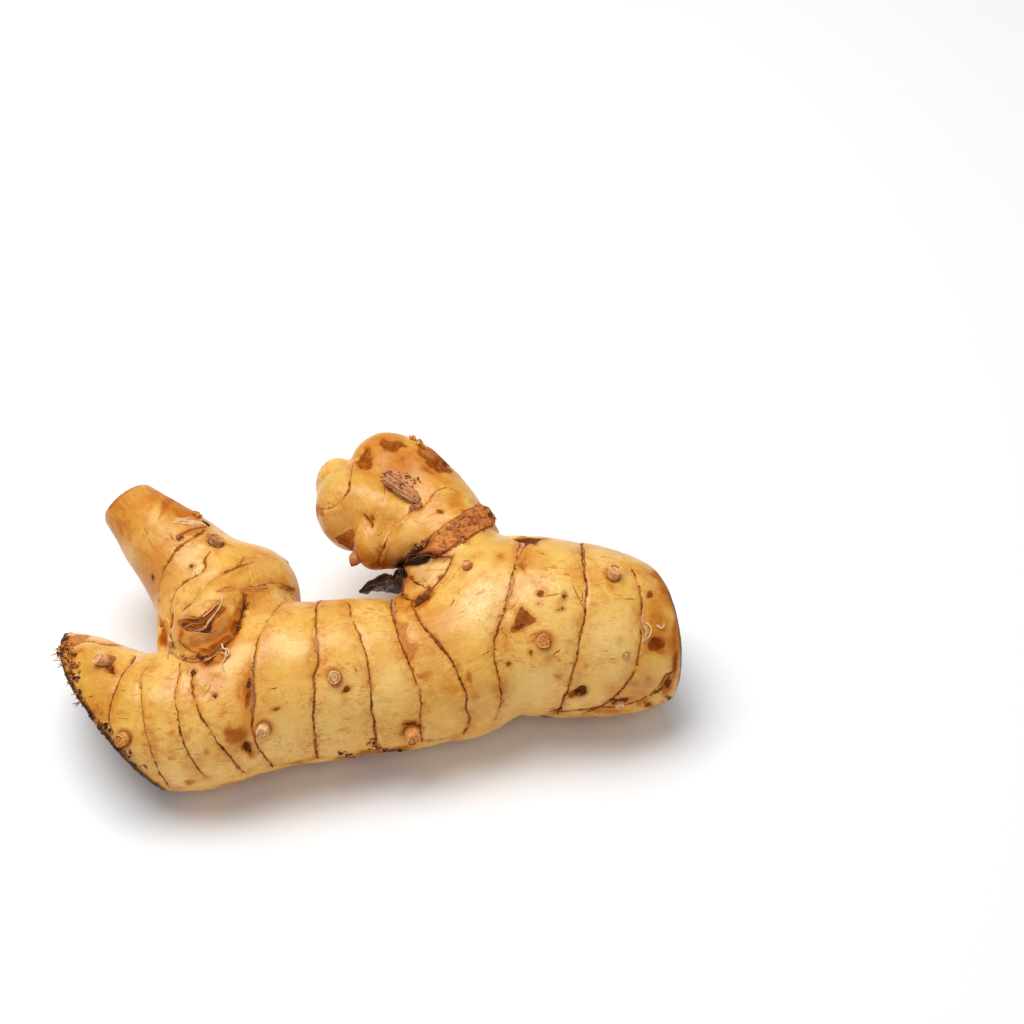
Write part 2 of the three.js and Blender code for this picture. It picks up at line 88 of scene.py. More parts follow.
# ------------------------------------------------------------------ the marks
# Lines of the skin, such as leaf scars and the edges of scales:
# name, closed, half width, groove, fringe, [x, y, z, step, darkness].
LINES = [
    ["hc25", 0, 0.18, 0.22, 0.3, [[23.01, 21.78, 30.84, 0.0, 0.0], [23.19, 22.06, 30.16, 0.08, 0.15], [23.32, 22.32, 29.46, 0.2, 0.37], [23.4, 22.55, 28.75, 0.31, 0.58], [23.42, 22.76, 28.03, 0.4, 0.75], [23.38, 22.94, 27.29, 0.4, 0.75], [23.29, 23.09, 26.56, 0.4, 0.75], [23.15, 23.21, 25.83, 0.4, 0.75], [22.96, 23.3, 25.11, 0.4, 0.75], [22.71, 23.37, 24.4, 0.4, 0.75], [22.41, 23.41, 23.72, 0.4, 0.75], [22.05, 23.44, 23.05, 0.4, 0.75], [21.65, 23.45, 22.42, 0.4, 0.75], [21.2, 23.43, 21.82, 0.4, 0.75], [20.71, 23.4, 21.25, 0.4, 0.75], [20.17, 23.35, 20.72, 0.4, 0.75], [19.6, 23.28, 20.24, 0.4, 0.75], [18.99, 23.19, 19.8, 0.4, 0.75], [18.35, 23.06, 19.42, 0.4, 0.75], [17.69, 22.91, 19.09, 0.4, 0.75], [17.01, 22.74, 18.8, 0.4, 0.75], [16.32, 22.53, 18.57, 0.4, 0.75], [15.63, 22.3, 18.4, 0.4, 0.75], [14.94, 22.03, 18.28, 0.4, 0.75], [14.24, 21.74, 18.21, 0.4, 0.75], [13.56, 21.42, 18.2, 0.4, 0.75], [12.89, 21.08, 18.24, 0.4, 0.75], [12.22, 20.72, 18.31, 0.4, 0.75], [11.56, 20.35, 18.41, 0.4, 0.75], [10.89, 19.97, 18.51, 0.4, 0.75], [10.18, 19.57, 18.6, 0.4, 0.75], [9.43, 19.16, 18.69, 0.4, 0.75], [8.61, 18.71, 18.77, 0.4, 0.75], [7.72, 18.23, 18.87, 0.4, 0.75], [6.77, 17.72, 19.02, 0.4, 0.75], [5.77, 17.17, 19.25, 0.4, 0.75], [4.77, 16.59, 19.62, 0.4, 0.75], [3.82, 16.01, 20.14, 0.4, 0.75], [2.92, 15.42, 20.8, 0.4, 0.75], [1.42, 14.6, 21.34, 0.4, 0.75], [-0.72, 13.53, 21.87, 0.4, 0.75], [-2.06, 12.68, 22.93, 0.4, 0.75], [-2.87, 12.0, 24.27, 0.23, 0.42]]],
    ["hc55", 0, 0.18, 0.22, 0.3, [[18.69, 27.53, 32.66, 0.0, 0.0], [18.98, 27.76, 32.03, 0.08, 0.18], [19.2, 27.99, 31.37, 0.24, 0.51], [19.36, 28.21, 30.69, 0.35, 0.75], [19.45, 28.43, 30.0, 0.35, 0.75], [19.48, 28.63, 29.29, 0.35, 0.75], [19.44, 28.81, 28.58, 0.35, 0.75], [19.34, 28.97, 27.86, 0.35, 0.75], [19.19, 29.09, 27.15, 0.35, 0.75], [19.0, 29.19, 26.45, 0.35, 0.75], [18.75, 29.25, 25.75, 0.35, 0.75], [18.47, 29.28, 25.07, 0.35, 0.75], [18.15, 29.25, 24.42, 0.35, 0.75], [17.79, 29.18, 23.78, 0.35, 0.75], [17.41, 29.07, 23.17, 0.35, 0.75], [16.99, 28.91, 22.59, 0.35, 0.75], [16.55, 28.71, 22.05, 0.35, 0.75], [16.08, 28.46, 21.54, 0.35, 0.75], [15.58, 28.18, 21.08, 0.35, 0.75], [15.07, 27.86, 20.67, 0.35, 0.75], [14.53, 27.52, 20.3, 0.35, 0.75], [13.98, 27.15, 19.99, 0.35, 0.75], [13.41, 26.77, 19.74, 0.35, 0.75], [12.82, 26.37, 19.54, 0.35, 0.75], [12.23, 25.96, 19.41, 0.35, 0.75], [11.63, 25.55, 19.32, 0.35, 0.75], [11.03, 25.14, 19.26, 0.35, 0.75], [10.42, 24.73, 19.23, 0.35, 0.75], [9.79, 24.33, 19.22, 0.35, 0.75], [9.14, 23.92, 19.23, 0.35, 0.75], [8.47, 23.52, 19.27, 0.35, 0.75], [7.77, 23.1, 19.34, 0.35, 0.75], [7.03, 22.67, 19.44, 0.35, 0.75], [6.26, 22.23, 19.58, 0.35, 0.75], [5.43, 21.77, 19.75, 0.35, 0.75], [4.53, 21.27, 19.94, 0.35, 0.75], [3.52, 20.71, 20.14, 0.35, 0.75], [2.28, 20.02, 20.27, 0.35, 0.75], [0.52, 19.04, 20.19, 0.35, 0.75], [-1.64, 17.79, 20.17, 0.35, 0.75], [-3.57, 16.6, 20.65, 0.33, 0.71], [-5.04, 15.61, 21.63, 0.1, 0.21]]],
    ["hc85", 0, 0.18, 0.22, 0.3, [[12.53, 33.86, 34.68, 0.0, 0.0], [12.83, 34.17, 34.08, 0.06, 0.15], [13.06, 34.48, 33.45, 0.14, 0.36], [13.23, 34.79, 32.8, 0.23, 0.58], [13.34, 35.08, 32.11, 0.3, 0.75], [13.39, 35.36, 31.41, 0.3, 0.75], [13.38, 35.6, 30.7, 0.3, 0.75], [13.33, 35.81, 29.97, 0.3, 0.75], [13.25, 35.97, 29.23, 0.3, 0.75], [13.13, 36.07, 28.49, 0.3, 0.75], [12.99, 36.11, 27.74, 0.3, 0.75], [12.82, 36.08, 27.0, 0.3, 0.75], [12.64, 35.98, 26.26, 0.3, 0.75], [12.43, 35.81, 25.53, 0.3, 0.75], [12.23, 35.57, 24.81, 0.3, 0.75], [11.93, 35.28, 24.12, 0.3, 0.75], [11.62, 34.92, 23.48, 0.3, 0.75], [11.27, 34.52, 22.88, 0.3, 0.75], [10.87, 34.07, 22.34, 0.3, 0.75], [10.42, 33.6, 21.88, 0.3, 0.75], [9.94, 33.12, 21.48, 0.3, 0.75], [9.41, 32.64, 21.17, 0.3, 0.75], [8.86, 32.16, 20.93, 0.3, 0.75], [8.28, 31.69, 20.77, 0.3, 0.75], [7.68, 31.23, 20.67, 0.3, 0.75], [7.09, 30.79, 20.65, 0.3, 0.75], [6.49, 30.36, 20.68, 0.3, 0.75], [5.92, 29.93, 20.74, 0.3, 0.75], [5.34, 29.51, 20.8, 0.3, 0.75], [4.78, 29.07, 20.86, 0.3, 0.75], [4.21, 28.62, 20.92, 0.3, 0.75], [3.63, 28.13, 20.96, 0.3, 0.75], [3.03, 27.6, 20.98, 0.3, 0.75], [2.39, 27.02, 20.97, 0.3, 0.75], [1.64, 26.35, 20.88, 0.3, 0.75], [0.7, 25.52, 20.65, 0.3, 0.75], [-0.79, 24.34, 20.02, 0.3, 0.75], [-2.72, 22.84, 19.29, 0.3, 0.75], [-4.41, 21.41, 19.16, 0.3, 0.75], [-5.8, 20.13, 19.55, 0.3, 0.75], [-6.95, 18.96, 20.35, 0.3, 0.75], [-7.88, 17.94, 21.45, 0.3, 0.75]]],
    ["hf62", 0, 0.18, 0.22, 0.3, [[-35.97, 18.24, 29.08, 0.01, 0.01], [-36.0, 18.82, 28.53, 0.09, 0.23], [-36.07, 19.37, 27.96, 0.19, 0.47], [-36.17, 19.86, 27.35, 0.27, 0.69], [-36.28, 20.3, 26.72, 0.3, 0.75], [-36.41, 20.68, 26.07, 0.3, 0.75], [-36.53, 21.0, 25.39, 0.3, 0.75], [-36.73, 21.27, 24.7, 0.3, 0.75], [-36.91, 21.49, 23.99, 0.3, 0.75], [-37.12, 21.64, 23.28, 0.3, 0.75], [-37.35, 21.74, 22.56, 0.3, 0.75], [-37.61, 21.79, 21.85, 0.3, 0.75], [-37.9, 21.79, 21.15, 0.3, 0.75], [-38.22, 21.73, 20.46, 0.3, 0.75], [-38.55, 21.61, 19.79, 0.3, 0.75], [-38.91, 21.46, 19.12, 0.3, 0.75], [-39.32, 21.26, 18.51, 0.3, 0.75], [-39.73, 21.0, 17.91, 0.3, 0.75], [-40.15, 20.68, 17.35, 0.3, 0.75], [-40.58, 20.31, 16.82, 0.3, 0.75], [-41.01, 19.89, 16.32, 0.3, 0.75], [-41.45, 19.44, 15.86, 0.3, 0.75], [-41.9, 18.94, 15.46, 0.3, 0.75], [-42.36, 18.4, 15.11, 0.3, 0.75], [-42.83, 17.85, 14.83, 0.3, 0.75], [-43.33, 17.29, 14.62, 0.3, 0.75], [-43.82, 16.7, 14.45, 0.3, 0.75], [-44.33, 16.12, 14.38, 0.3, 0.75], [-44.86, 15.56, 14.39, 0.3, 0.75], [-45.4, 15.0, 14.48, 0.3, 0.75], [-45.94, 14.46, 14.66, 0.3, 0.75], [-46.47, 13.93, 14.9, 0.3, 0.75], [-46.99, 13.42, 15.2, 0.3, 0.75], [-47.48, 12.93, 15.57, 0.3, 0.75], [-47.93, 12.44, 15.99, 0.3, 0.75], [-48.33, 11.95, 16.44, 0.3, 0.75], [-48.68, 11.46, 16.92, 0.3, 0.75], [-48.97, 10.96, 17.43, 0.3, 0.75], [-49.19, 10.46, 17.97, 0.27, 0.68], [-49.35, 9.96, 18.52, 0.18, 0.45], [-49.44, 9.46, 19.09, 0.08, 0.21], [-49.48, 8.98, 19.69, 0.0, 0.0]]],
    ["hf30", 0, 0.18, 0.22, 0.3, [[-18.49, 9.79, 25.32, 0.0, 0.0], [-18.01, 10.37, 24.11, 0.19, 0.29], [-17.7, 10.9, 22.82, 0.43, 0.65], [-17.57, 11.37, 21.47, 0.5, 0.75], [-17.63, 11.77, 20.08, 0.5, 0.75], [-17.86, 12.09, 18.69, 0.5, 0.75], [-18.28, 12.32, 17.33, 0.5, 0.75], [-18.87, 12.45, 16.02, 0.5, 0.75], [-19.55, 12.54, 14.77, 0.5, 0.75], [-20.15, 12.68, 13.51, 0.5, 0.75], [-20.64, 12.91, 12.17, 0.5, 0.75], [-21.04, 13.23, 10.71, 0.5, 0.75], [-21.5, 13.56, 9.16, 0.5, 0.75], [-22.19, 13.79, 7.69, 0.5, 0.75], [-23.16, 13.84, 6.4, 0.5, 0.75], [-24.32, 13.74, 5.3, 0.5, 0.75], [-25.62, 13.52, 4.39, 0.5, 0.75], [-27.01, 13.19, 3.67, 0.5, 0.75], [-28.45, 12.76, 3.12, 0.5, 0.75], [-29.91, 12.26, 2.75, 0.5, 0.75], [-31.37, 11.68, 2.54, 0.5, 0.75], [-32.79, 11.04, 2.48, 0.5, 0.75], [-34.17, 10.35, 2.58, 0.5, 0.75], [-35.49, 9.63, 2.83, 0.5, 0.75], [-36.74, 8.87, 3.22, 0.5, 0.75], [-37.89, 8.1, 3.78, 0.5, 0.75], [-38.93, 7.32, 4.49, 0.5, 0.75], [-39.83, 6.55, 5.36, 0.5, 0.75], [-40.56, 5.81, 6.41, 0.5, 0.75], [-41.13, 5.11, 7.53, 0.5, 0.75], [-41.58, 4.48, 8.63, 0.5, 0.75], [-41.96, 3.91, 9.65, 0.5, 0.75], [-42.31, 3.39, 10.57, 0.5, 0.75], [-42.67, 2.89, 11.41, 0.5, 0.75], [-43.06, 2.42, 12.2, 0.5, 0.75], [-43.47, 1.95, 12.95, 0.5, 0.75], [-43.89, 1.48, 13.71, 0.5, 0.75], [-44.25, 1.02, 14.51, 0.5, 0.75], [-44.55, 0.58, 15.34, 0.47, 0.7], [-44.79, 0.15, 16.22, 0.34, 0.51], [-44.96, -0.27, 17.12, 0.19, 0.29], [-45.06, -0.64, 18.05, 0.05, 0.08]]],
    ["hf12", 0, 0.18, 0.22, 0.3, [[-15.13, -0.82, 22.18, 0.17, 0.26], [-14.95, -0.23, 21.05, 0.25, 0.37], [-14.88, 0.35, 19.91, 0.3, 0.45], [-14.91, 0.89, 18.75, 0.34, 0.51], [-15.03, 1.38, 17.57, 0.37, 0.56], [-15.24, 1.81, 16.4, 0.44, 0.66], [-15.49, 2.21, 15.24, 0.3, 0.46], [-15.62, 2.66, 14.05, 0.12, 0.18], [-15.62, 3.18, 12.76, 0.03, 0.04], [-15.52, 3.77, 11.31, 0.02, 0.03], [-15.43, 4.42, 9.71, 0.16, 0.24], [-15.56, 5.05, 8.09, 0.5, 0.75], [-16.06, 5.6, 6.56, 0.5, 0.75], [-16.86, 6.06, 5.17, 0.5, 0.75], [-17.92, 6.42, 3.93, 0.5, 0.75], [-19.16, 6.68, 2.85, 0.5, 0.75], [-20.55, 6.85, 1.94, 0.5, 0.75], [-22.05, 6.91, 1.2, 0.5, 0.75], [-23.61, 6.89, 0.62, 0.5, 0.75], [-25.2, 6.77, 0.19, 0.5, 0.75], [-26.81, 6.57, -0.08, 0.5, 0.75], [-28.42, 6.28, -0.21, 0.5, 0.75], [-29.99, 5.91, -0.2, 0.5, 0.75], [-31.53, 5.48, -0.06, 0.5, 0.75], [-33.01, 4.99, 0.23, 0.5, 0.75], [-34.42, 4.45, 0.65, 0.5, 0.75], [-35.73, 3.87, 1.2, 0.5, 0.75], [-36.95, 3.26, 1.89, 0.5, 0.75], [-38.03, 2.63, 2.71, 0.5, 0.75], [-38.97, 1.99, 3.66, 0.5, 0.75], [-39.73, 1.34, 4.74, 0.5, 0.75], [-40.33, 0.7, 5.89, 0.5, 0.75], [-40.79, 0.09, 7.07, 0.39, 0.58], [-41.16, -0.49, 8.23, 0.33, 0.5], [-41.51, -1.02, 9.33, 0.38, 0.57], [-41.88, -1.51, 10.34, 0.49, 0.73], [-42.31, -1.99, 11.28, 0.5, 0.75], [-42.81, -2.45, 12.19, 0.5, 0.75], [-43.26, -2.91, 13.11, 0.5, 0.75], [-43.63, -3.38, 14.07, 0.39, 0.59], [-43.92, -3.87, 15.06, 0.3, 0.46], [-44.11, -4.33, 16.09, 0.08, 0.11], [-44.18, -4.78, 17.14, 0.0, 0.0]]],
    ["r1", 0, 0.26, 0.25, 0.5, [[-47.02, -17.14, 24.43, 0.35, 0.85], [-47.4, -19.86, 25.66, 0.35, 0.85], [-48.82, -23.15, 26.03, 0.35, 0.85], [-50.04, -27.3, 25.27, 0.35, 0.85], [-50.89, -30.2, 23.71, 0.35, 0.85], [-50.8, -32.96, 21.7, 0.35, 0.85], [-50.17, -34.36, 20.57, 0.35, 0.85]]],
    ["r1_a", 0, 0.26, 0.25, 0.5, [[-48.47, -35.98, 14.92, 0.2, 0.51], [-47.94, -35.57, 13.81, 0.2, 0.51], [-47.47, -35.19, 12.8, 0.19, 0.51], [-47.03, -34.83, 11.87, 0.19, 0.51]]],
    ["r1_b", 0, 0.26, 0.25, 0.5, [[-44.2, -32.59, 5.9, 0.17, 0.51], [-43.72, -32.24, 4.94, 0.17, 0.51], [-43.21, -31.86, 3.88, 0.17, 0.51], [-42.64, -31.43, 2.69, 0.17, 0.51], [-42.0, -30.86, 1.47, 0.26, 0.8], [-41.38, -29.95, 0.59, 0.26, 0.8], [-40.85, -28.81, 0.07, 0.26, 0.8], [-40.44, -27.57, -0.18, 0.26, 0.8], [-40.03, -26.3, -0.37, 0.26, 0.8], [-39.68, -25.0, -0.39, 0.26, 0.8], [-39.37, -23.69, -0.28, 0.26, 0.8], [-39.11, -22.39, -0.04, 0.26, 0.8], [-38.89, -21.09, 0.27, 0.26, 0.8], [-38.71, -19.84, 0.73, 0.26, 0.8], [-38.59, -18.62, 1.32, 0.26, 0.8], [-38.53, -17.47, 2.01, 0.26, 0.8], [-38.53, -16.38, 2.8, 0.26, 0.8], [-38.61, -15.39, 3.67, 0.26, 0.8], [-38.73, -14.45, 4.66, 0.26, 0.8], [-38.91, -13.63, 5.7, 0.26, 0.8], [-39.14, -12.92, 6.8, 0.26, 0.8], [-39.44, -12.32, 7.94, 0.26, 0.8], [-39.77, -11.74, 9.07, 0.26, 0.8], [-40.01, -10.96, 10.17, 0.26, 0.8]]],
    ["r1_c", 0, 0.26, 0.25, 0.5, [[-42.28, -10.87, 16.39, 0.29, 0.8], [-42.81, -11.48, 17.46, 0.29, 0.8], [-43.32, -11.84, 18.56, 0.3, 0.8], [-43.86, -12.33, 19.61, 0.31, 0.8], [-44.4, -12.98, 20.56, 0.32, 0.8], [-44.94, -13.63, 21.49, 0.29, 0.73], [-45.49, -14.38, 22.35, 0.1, 0.24]]],
    ["r2", 0, 0.18, 0.22, 0.5, [[-42.31, -21.66, 27.7, 0.28, 0.6], [-44.38, -24.21, 27.54, 0.28, 0.5], [-44.24, -28.53, 27.31, 0.28, 0.6], [-43.84, -32.33, 25.91, 0.28, 0.75], [-43.29, -35.54, 23.54, 0.28, 0.9], [-42.11, -38.58, 19.41, 0.28, 1.0], [-40.6, -39.85, 14.32, 0.28, 1.0], [-39.48, -38.8, 8.51, 0.28, 1.0]]],
    ["r2_a", 0, 0.18, 0.22, 0.5, [[-37.51, -35.15, 3.28, 0.16, 0.47], [-37.21, -34.11, 2.46, 0.27, 0.8], [-36.95, -32.99, 1.73, 0.27, 0.8], [-36.72, -31.82, 1.05, 0.27, 0.8], [-36.48, -30.59, 0.54, 0.26, 0.8], [-36.24, -29.3, 0.14, 0.26, 0.8], [-36.01, -27.98, -0.14, 0.26, 0.8], [-35.7, -26.64, -0.34, 0.26, 0.8], [-35.58, -25.28, -0.39, 0.26, 0.8], [-35.39, -23.91, -0.32, 0.26, 0.8], [-35.22, -22.54, -0.15, 0.26, 0.8], [-35.09, -21.19, 0.16, 0.26, 0.8], [-34.96, -19.84, 0.55, 0.26, 0.8], [-34.85, -18.51, 1.06, 0.26, 0.8], [-34.66, -17.16, 1.61, 0.26, 0.8], [-34.65, -15.85, 2.31, 0.26, 0.8], [-34.6, -14.59, 3.11, 0.26, 0.8], [-34.6, -13.35, 3.99, 0.26, 0.8], [-34.57, -12.04, 5.01, 0.26, 0.8], [-34.17, -9.12, 5.25, 0.26, 0.8]]],
    ["r3", 0, 0.2, 0.25, 0.5, [[-36.85, -23.71, 29.72, 0.28, 0.7], [-36.71, -25.11, 29.79, 0.28, 0.8], [-37.02, -28.61, 29.23, 0.28, 0.9], [-37.15, -31.41, 28.2, 0.28, 1.0], [-36.39, -35.02, 26.0, 0.28, 0.9], [-35.47, -37.95, 22.7, 0.28, 1.0], [-34.06, -39.6, 19.08, 0.28, 0.9], [-32.19, -40.14, 14.68, 0.28, 0.8], [-31.28, -39.87, 12.75, 0.28, 0.7]]],
    ["r3_a", 0, 0.2, 0.25, 0.5, [[-27.05, -34.88, 4.82, 0.02, 0.06], [-26.57, -33.76, 4.01, 0.19, 0.56], [-26.13, -32.63, 3.2, 0.27, 0.8]]],
    ["r3_b", 0, 0.2, 0.25, 0.5, [[-25.46, -30.11, 1.86, 0.26, 0.8], [-25.13, -28.78, 1.29, 0.26, 0.8], [-24.82, -27.4, 0.81, 0.26, 0.8], [-24.5, -25.97, 0.39, 0.26, 0.8], [-24.19, -24.48, 0.05, 0.26, 0.8], [-23.89, -22.93, -0.21, 0.26, 0.8], [-23.63, -21.31, -0.36, 0.26, 0.8], [-23.46, -19.64, -0.37, 0.26, 0.8], [-23.26, -17.92, -0.26, 0.26, 0.8], [-23.18, -16.16, 0.0, 0.26, 0.8], [-23.21, -14.41, 0.46, 0.26, 0.8], [-23.3, -12.69, 1.11, 0.26, 0.8], [-23.52, -11.04, 1.96, 0.26, 0.8], [-23.82, -9.5, 3.01, 0.26, 0.8], [-23.96, -7.78, 3.94, 0.26, 0.8]]],
    ["r4", 0, 0.22, 0.25, 0.4, [[-33.73, -26.21, 30.43, 0.35, 0.9], [-33.88, -28.4, 29.9, 0.35, 0.9], [-33.11, -32.1, 28.4, 0.35, 0.8], [-31.61, -35.14, 26.15, 0.35, 0.8], [-29.75, -36.78, 24.09, 0.35, 0.9], [-28.28, -38.08, 21.3, 0.35, 1.0], [-26.84, -38.4, 19.19, 0.35, 1.0], [-25.49, -38.53, 15.87, 0.35, 0.9], [-23.83, -36.92, 10.36, 0.35, 0.8]]],
    ["r4_a", 0, 0.22, 0.25, 0.4, [[-22.02, -32.39, 4.74, 0.09, 0.22], [-21.78, -31.24, 3.8, 0.25, 0.64], [-21.58, -30.03, 2.92, 0.3, 0.8], [-21.45, -28.73, 2.14, 0.29, 0.8], [-21.35, -27.37, 1.42, 0.28, 0.8], [-21.3, -25.94, 0.84, 0.28, 0.8], [-21.29, -24.45, 0.33, 0.27, 0.8], [-21.35, -22.91, -0.03, 0.26, 0.8], [-21.45, -21.33, -0.29, 0.26, 0.8], [-21.61, -19.72, -0.38, 0.26, 0.8], [-21.81, -18.09, -0.34, 0.26, 0.8], [-22.08, -16.48, -0.14, 0.26, 0.8], [-22.39, -14.89, 0.23, 0.26, 0.8], [-22.74, -13.34, 0.76, 0.26, 0.8], [-23.15, -11.87, 1.46, 0.26, 0.8], [-23.61, -10.48, 2.31, 0.26, 0.8], [-24.1, -9.19, 3.3, 0.26, 0.8], [-24.5, -7.44, 3.94, 0.26, 0.8]]],
    ["r4b", 0, 0.12, 0.08, 0.0, [[-29.55, -28.13, 30.5, 0.06, 0.4], [-30.25, -30.04, 29.67, 0.06, 0.4], [-31.39, -31.61, 28.75, 0.06, 0.4]]],
    ["r5", 0, 0.2, 0.28, 0.8, [[-16.64, -1.91, 24.9, 0.9, 0.6], [-18.28, -11.02, 31.38, 0.9, 0.7], [-19.9, -15.74, 32.62, 0.85, 0.7], [-20.83, -19.43, 32.78, 0.8, 0.75], [-21.35, -23.91, 32.06, 0.7, 0.75], [-21.51, -28.02, 30.38, 0.6, 0.8], [-21.11, -31.07, 28.12, 0.5, 0.85], [-21.46, -33.67, 25.34, 0.4, 0.9], [-21.67, -35.13, 23.05, 0.4, 1.0], [-21.21, -36.26, 19.72, 0.4, 1.0], [-19.84, -36.27, 15.63, 0.35, 1.0], [-18.56, -34.51, 9.79, 0.3, 1.0]]],
    ["r5_a", 0, 0.2, 0.28, 0.8, [[-17.36, -30.63, 4.76, 0.05, 0.14], [-17.06, -29.43, 3.76, 0.24, 0.62], [-16.71, -28.18, 2.88, 0.3, 0.8], [-16.31, -26.88, 2.11, 0.29, 0.8], [-15.92, -25.54, 1.43, 0.28, 0.8], [-15.58, -24.14, 0.84, 0.26, 0.8], [-15.3, -22.69, 0.36, 0.26, 0.8], [-15.05, -21.2, -0.02, 0.26, 0.8], [-14.82, -19.68, -0.27, 0.26, 0.8], [-14.59, -18.13, -0.39, 0.26, 0.8], [-14.35, -16.57, -0.37, 0.26, 0.8], [-14.12, -15.0, -0.22, 0.26, 0.8], [-13.93, -13.44, 0.07, 0.26, 0.8], [-13.79, -11.9, 0.52, 0.26, 0.8], [-13.72, -10.4, 1.11, 0.26, 0.8], [-13.72, -8.95, 1.85, 0.26, 0.8], [-13.77, -7.58, 2.73, 0.26, 0.8], [-13.84, -6.3, 3.75, 0.26, 0.8], [-13.9, -5.12, 4.89, 0.26, 0.8], [-13.93, -4.06, 6.13, 0.26, 0.8], [-13.96, -3.12, 7.49, 0.26, 0.8], [-14.01, -2.32, 8.93, 0.26, 0.8], [-14.1, -1.68, 10.44, 0.26, 0.8], [-14.26, -1.19, 12.01, 0.3, 0.8], [-14.49, -0.75, 13.59, 0.36, 0.8], [-14.77, -0.22, 15.18, 0.43, 0.8], [-14.97, 0.67, 16.85, 0.5, 0.8]]],
    ["r6", 0, 0.21, 0.28, 0.8, [[-9.83, -5.72, 28.69, 0.6, 1.0], [-10.0, -9.37, 31.12, 0.6, 1.0], [-9.61, -16.23, 32.86, 0.5, 0.9], [-8.82, -21.99, 32.02, 0.45, 1.0], [-8.81, -25.61, 30.36, 0.4, 1.0], [-9.37, -26.67, 29.74, 0.35, 0.9], [-9.35, -29.35, 27.34, 0.35, 0.9], [-9.6, -31.94, 23.6, 0.35, 1.0], [-9.6, -33.46, 18.85, 0.35, 1.0], [-9.65, -32.39, 9.92, 0.35, 0.9]]],
    ["r6_a", 0, 0.21, 0.28, 0.8, [[-9.84, -28.92, 4.65, 0.03, 0.07], [-9.92, -27.76, 3.57, 0.24, 0.61], [-10.0, -26.51, 2.6, 0.31, 0.8], [-10.07, -25.17, 1.76, 0.3, 0.8], [-10.09, -23.75, 1.05, 0.28, 0.8], [-10.07, -22.28, 0.48, 0.27, 0.8], [-10.02, -20.76, 0.05, 0.26, 0.8], [-9.95, -19.21, -0.23, 0.26, 0.8], [-9.9, -17.64, -0.38, 0.26, 0.8], [-9.88, -16.06, -0.38, 0.26, 0.8], [-9.91, -14.49, -0.23, 0.26, 0.8], [-9.98, -12.94, 0.05, 0.26, 0.8], [-10.08, -11.43, 0.49, 0.26, 0.8], [-10.17, -9.96, 1.06, 0.26, 0.8], [-10.23, -8.56, 1.77, 0.26, 0.8], [-10.22, -7.21, 2.6, 0.26, 0.8], [-10.15, -5.95, 3.55, 0.26, 0.8], [-10.02, -4.76, 4.6, 0.26, 0.8], [-9.87, -3.7, 5.78, 0.26, 0.8], [-9.74, -2.73, 7.04, 0.26, 0.8], [-9.65, -1.89, 8.39, 0.26, 0.8], [-9.62, -1.19, 9.83, 0.26, 0.8], [-9.66, -0.65, 11.34, 0.26, 0.8], [-9.75, -0.27, 12.89, 0.26, 0.8], [-9.87, -0.05, 14.47, 0.26, 0.8], [-9.98, 0.01, 16.07, 0.27, 0.8], [-10.06, -0.08, 17.66, 0.31, 0.8], [-10.1, -0.31, 19.24, 0.34, 0.8], [-10.09, -0.68, 20.78, 0.37, 0.8], [-10.06, -1.19, 22.28, 0.41, 0.8], [-10.01, -1.84, 23.73, 0.44, 0.8], [-9.96, -2.63, 25.11, 0.48, 0.8], [-9.92, -3.55, 26.39, 0.5, 0.77], [-9.88, -4.58, 27.59, 0.18, 0.26]]],
    ["r7", 0, 0.18, 0.2, 0.5, [[-3.62, -6.73, 29.78, 0.2, 0.6], [-2.26, -13.7, 32.19, 0.2, 0.7], [-0.86, -17.65, 32.02, 0.2, 0.75], [0.35, -21.05, 30.97, 0.2, 0.8], [1.42, -24.64, 28.8, 0.2, 0.8], [1.73, -27.2, 26.38, 0.2, 0.9], [2.04, -29.47, 22.85, 0.2, 1.0], [2.4, -30.87, 17.95, 0.2, 1.0], [2.53, -30.6, 12.23, 0.2, 0.9]]],
    ["r7_a", 0, 0.18, 0.2, 0.5, [[1.27, -26.34, 4.33, 0.04, 0.15], [1.04, -25.23, 3.31, 0.2, 0.68], [0.78, -24.03, 2.4, 0.25, 0.8], [0.44, -22.78, 1.59, 0.25, 0.8], [0.04, -21.46, 0.93, 0.26, 0.8], [-0.4, -20.1, 0.41, 0.26, 0.8], [-0.88, -18.71, 0.02, 0.26, 0.8], [-1.37, -17.29, -0.26, 0.26, 0.8], [-1.87, -15.86, -0.38, 0.26, 0.8], [-2.35, -14.41, -0.36, 0.26, 0.8], [-2.8, -12.96, -0.21, 0.26, 0.8], [-3.21, -11.52, 0.08, 0.26, 0.8], [-3.57, -10.1, 0.5, 0.26, 0.8], [-3.91, -8.72, 1.07, 0.26, 0.8], [-4.22, -7.4, 1.77, 0.26, 0.8], [-4.5, -6.14, 2.59, 0.26, 0.8], [-4.76, -4.96, 3.53, 0.26, 0.8], [-5.0, -3.88, 4.57, 0.26, 0.8], [-5.21, -2.89, 5.72, 0.26, 0.8], [-5.38, -2.0, 6.96, 0.26, 0.8], [-5.5, -1.23, 8.28, 0.26, 0.8], [-5.56, -0.58, 9.66, 0.26, 0.8], [-5.57, -0.05, 11.1, 0.26, 0.8], [-5.54, 0.35, 12.57, 0.26, 0.8], [-5.48, 0.61, 14.08, 0.26, 0.8], [-5.41, 0.73, 15.6, 0.26, 0.8], [-5.33, 0.7, 17.13, 0.26, 0.8], [-5.27, 0.52, 18.65, 0.25, 0.8], [-5.21, 0.21, 20.14, 0.25, 0.8], [-5.2, -0.26, 21.61, 0.24, 0.8], [-5.17, -0.86, 23.03, 0.23, 0.8], [-5.06, -1.58, 24.39, 0.23, 0.8], [-4.89, -2.41, 25.67, 0.22, 0.8], [-4.64, -3.35, 26.86, 0.12, 0.45]]],
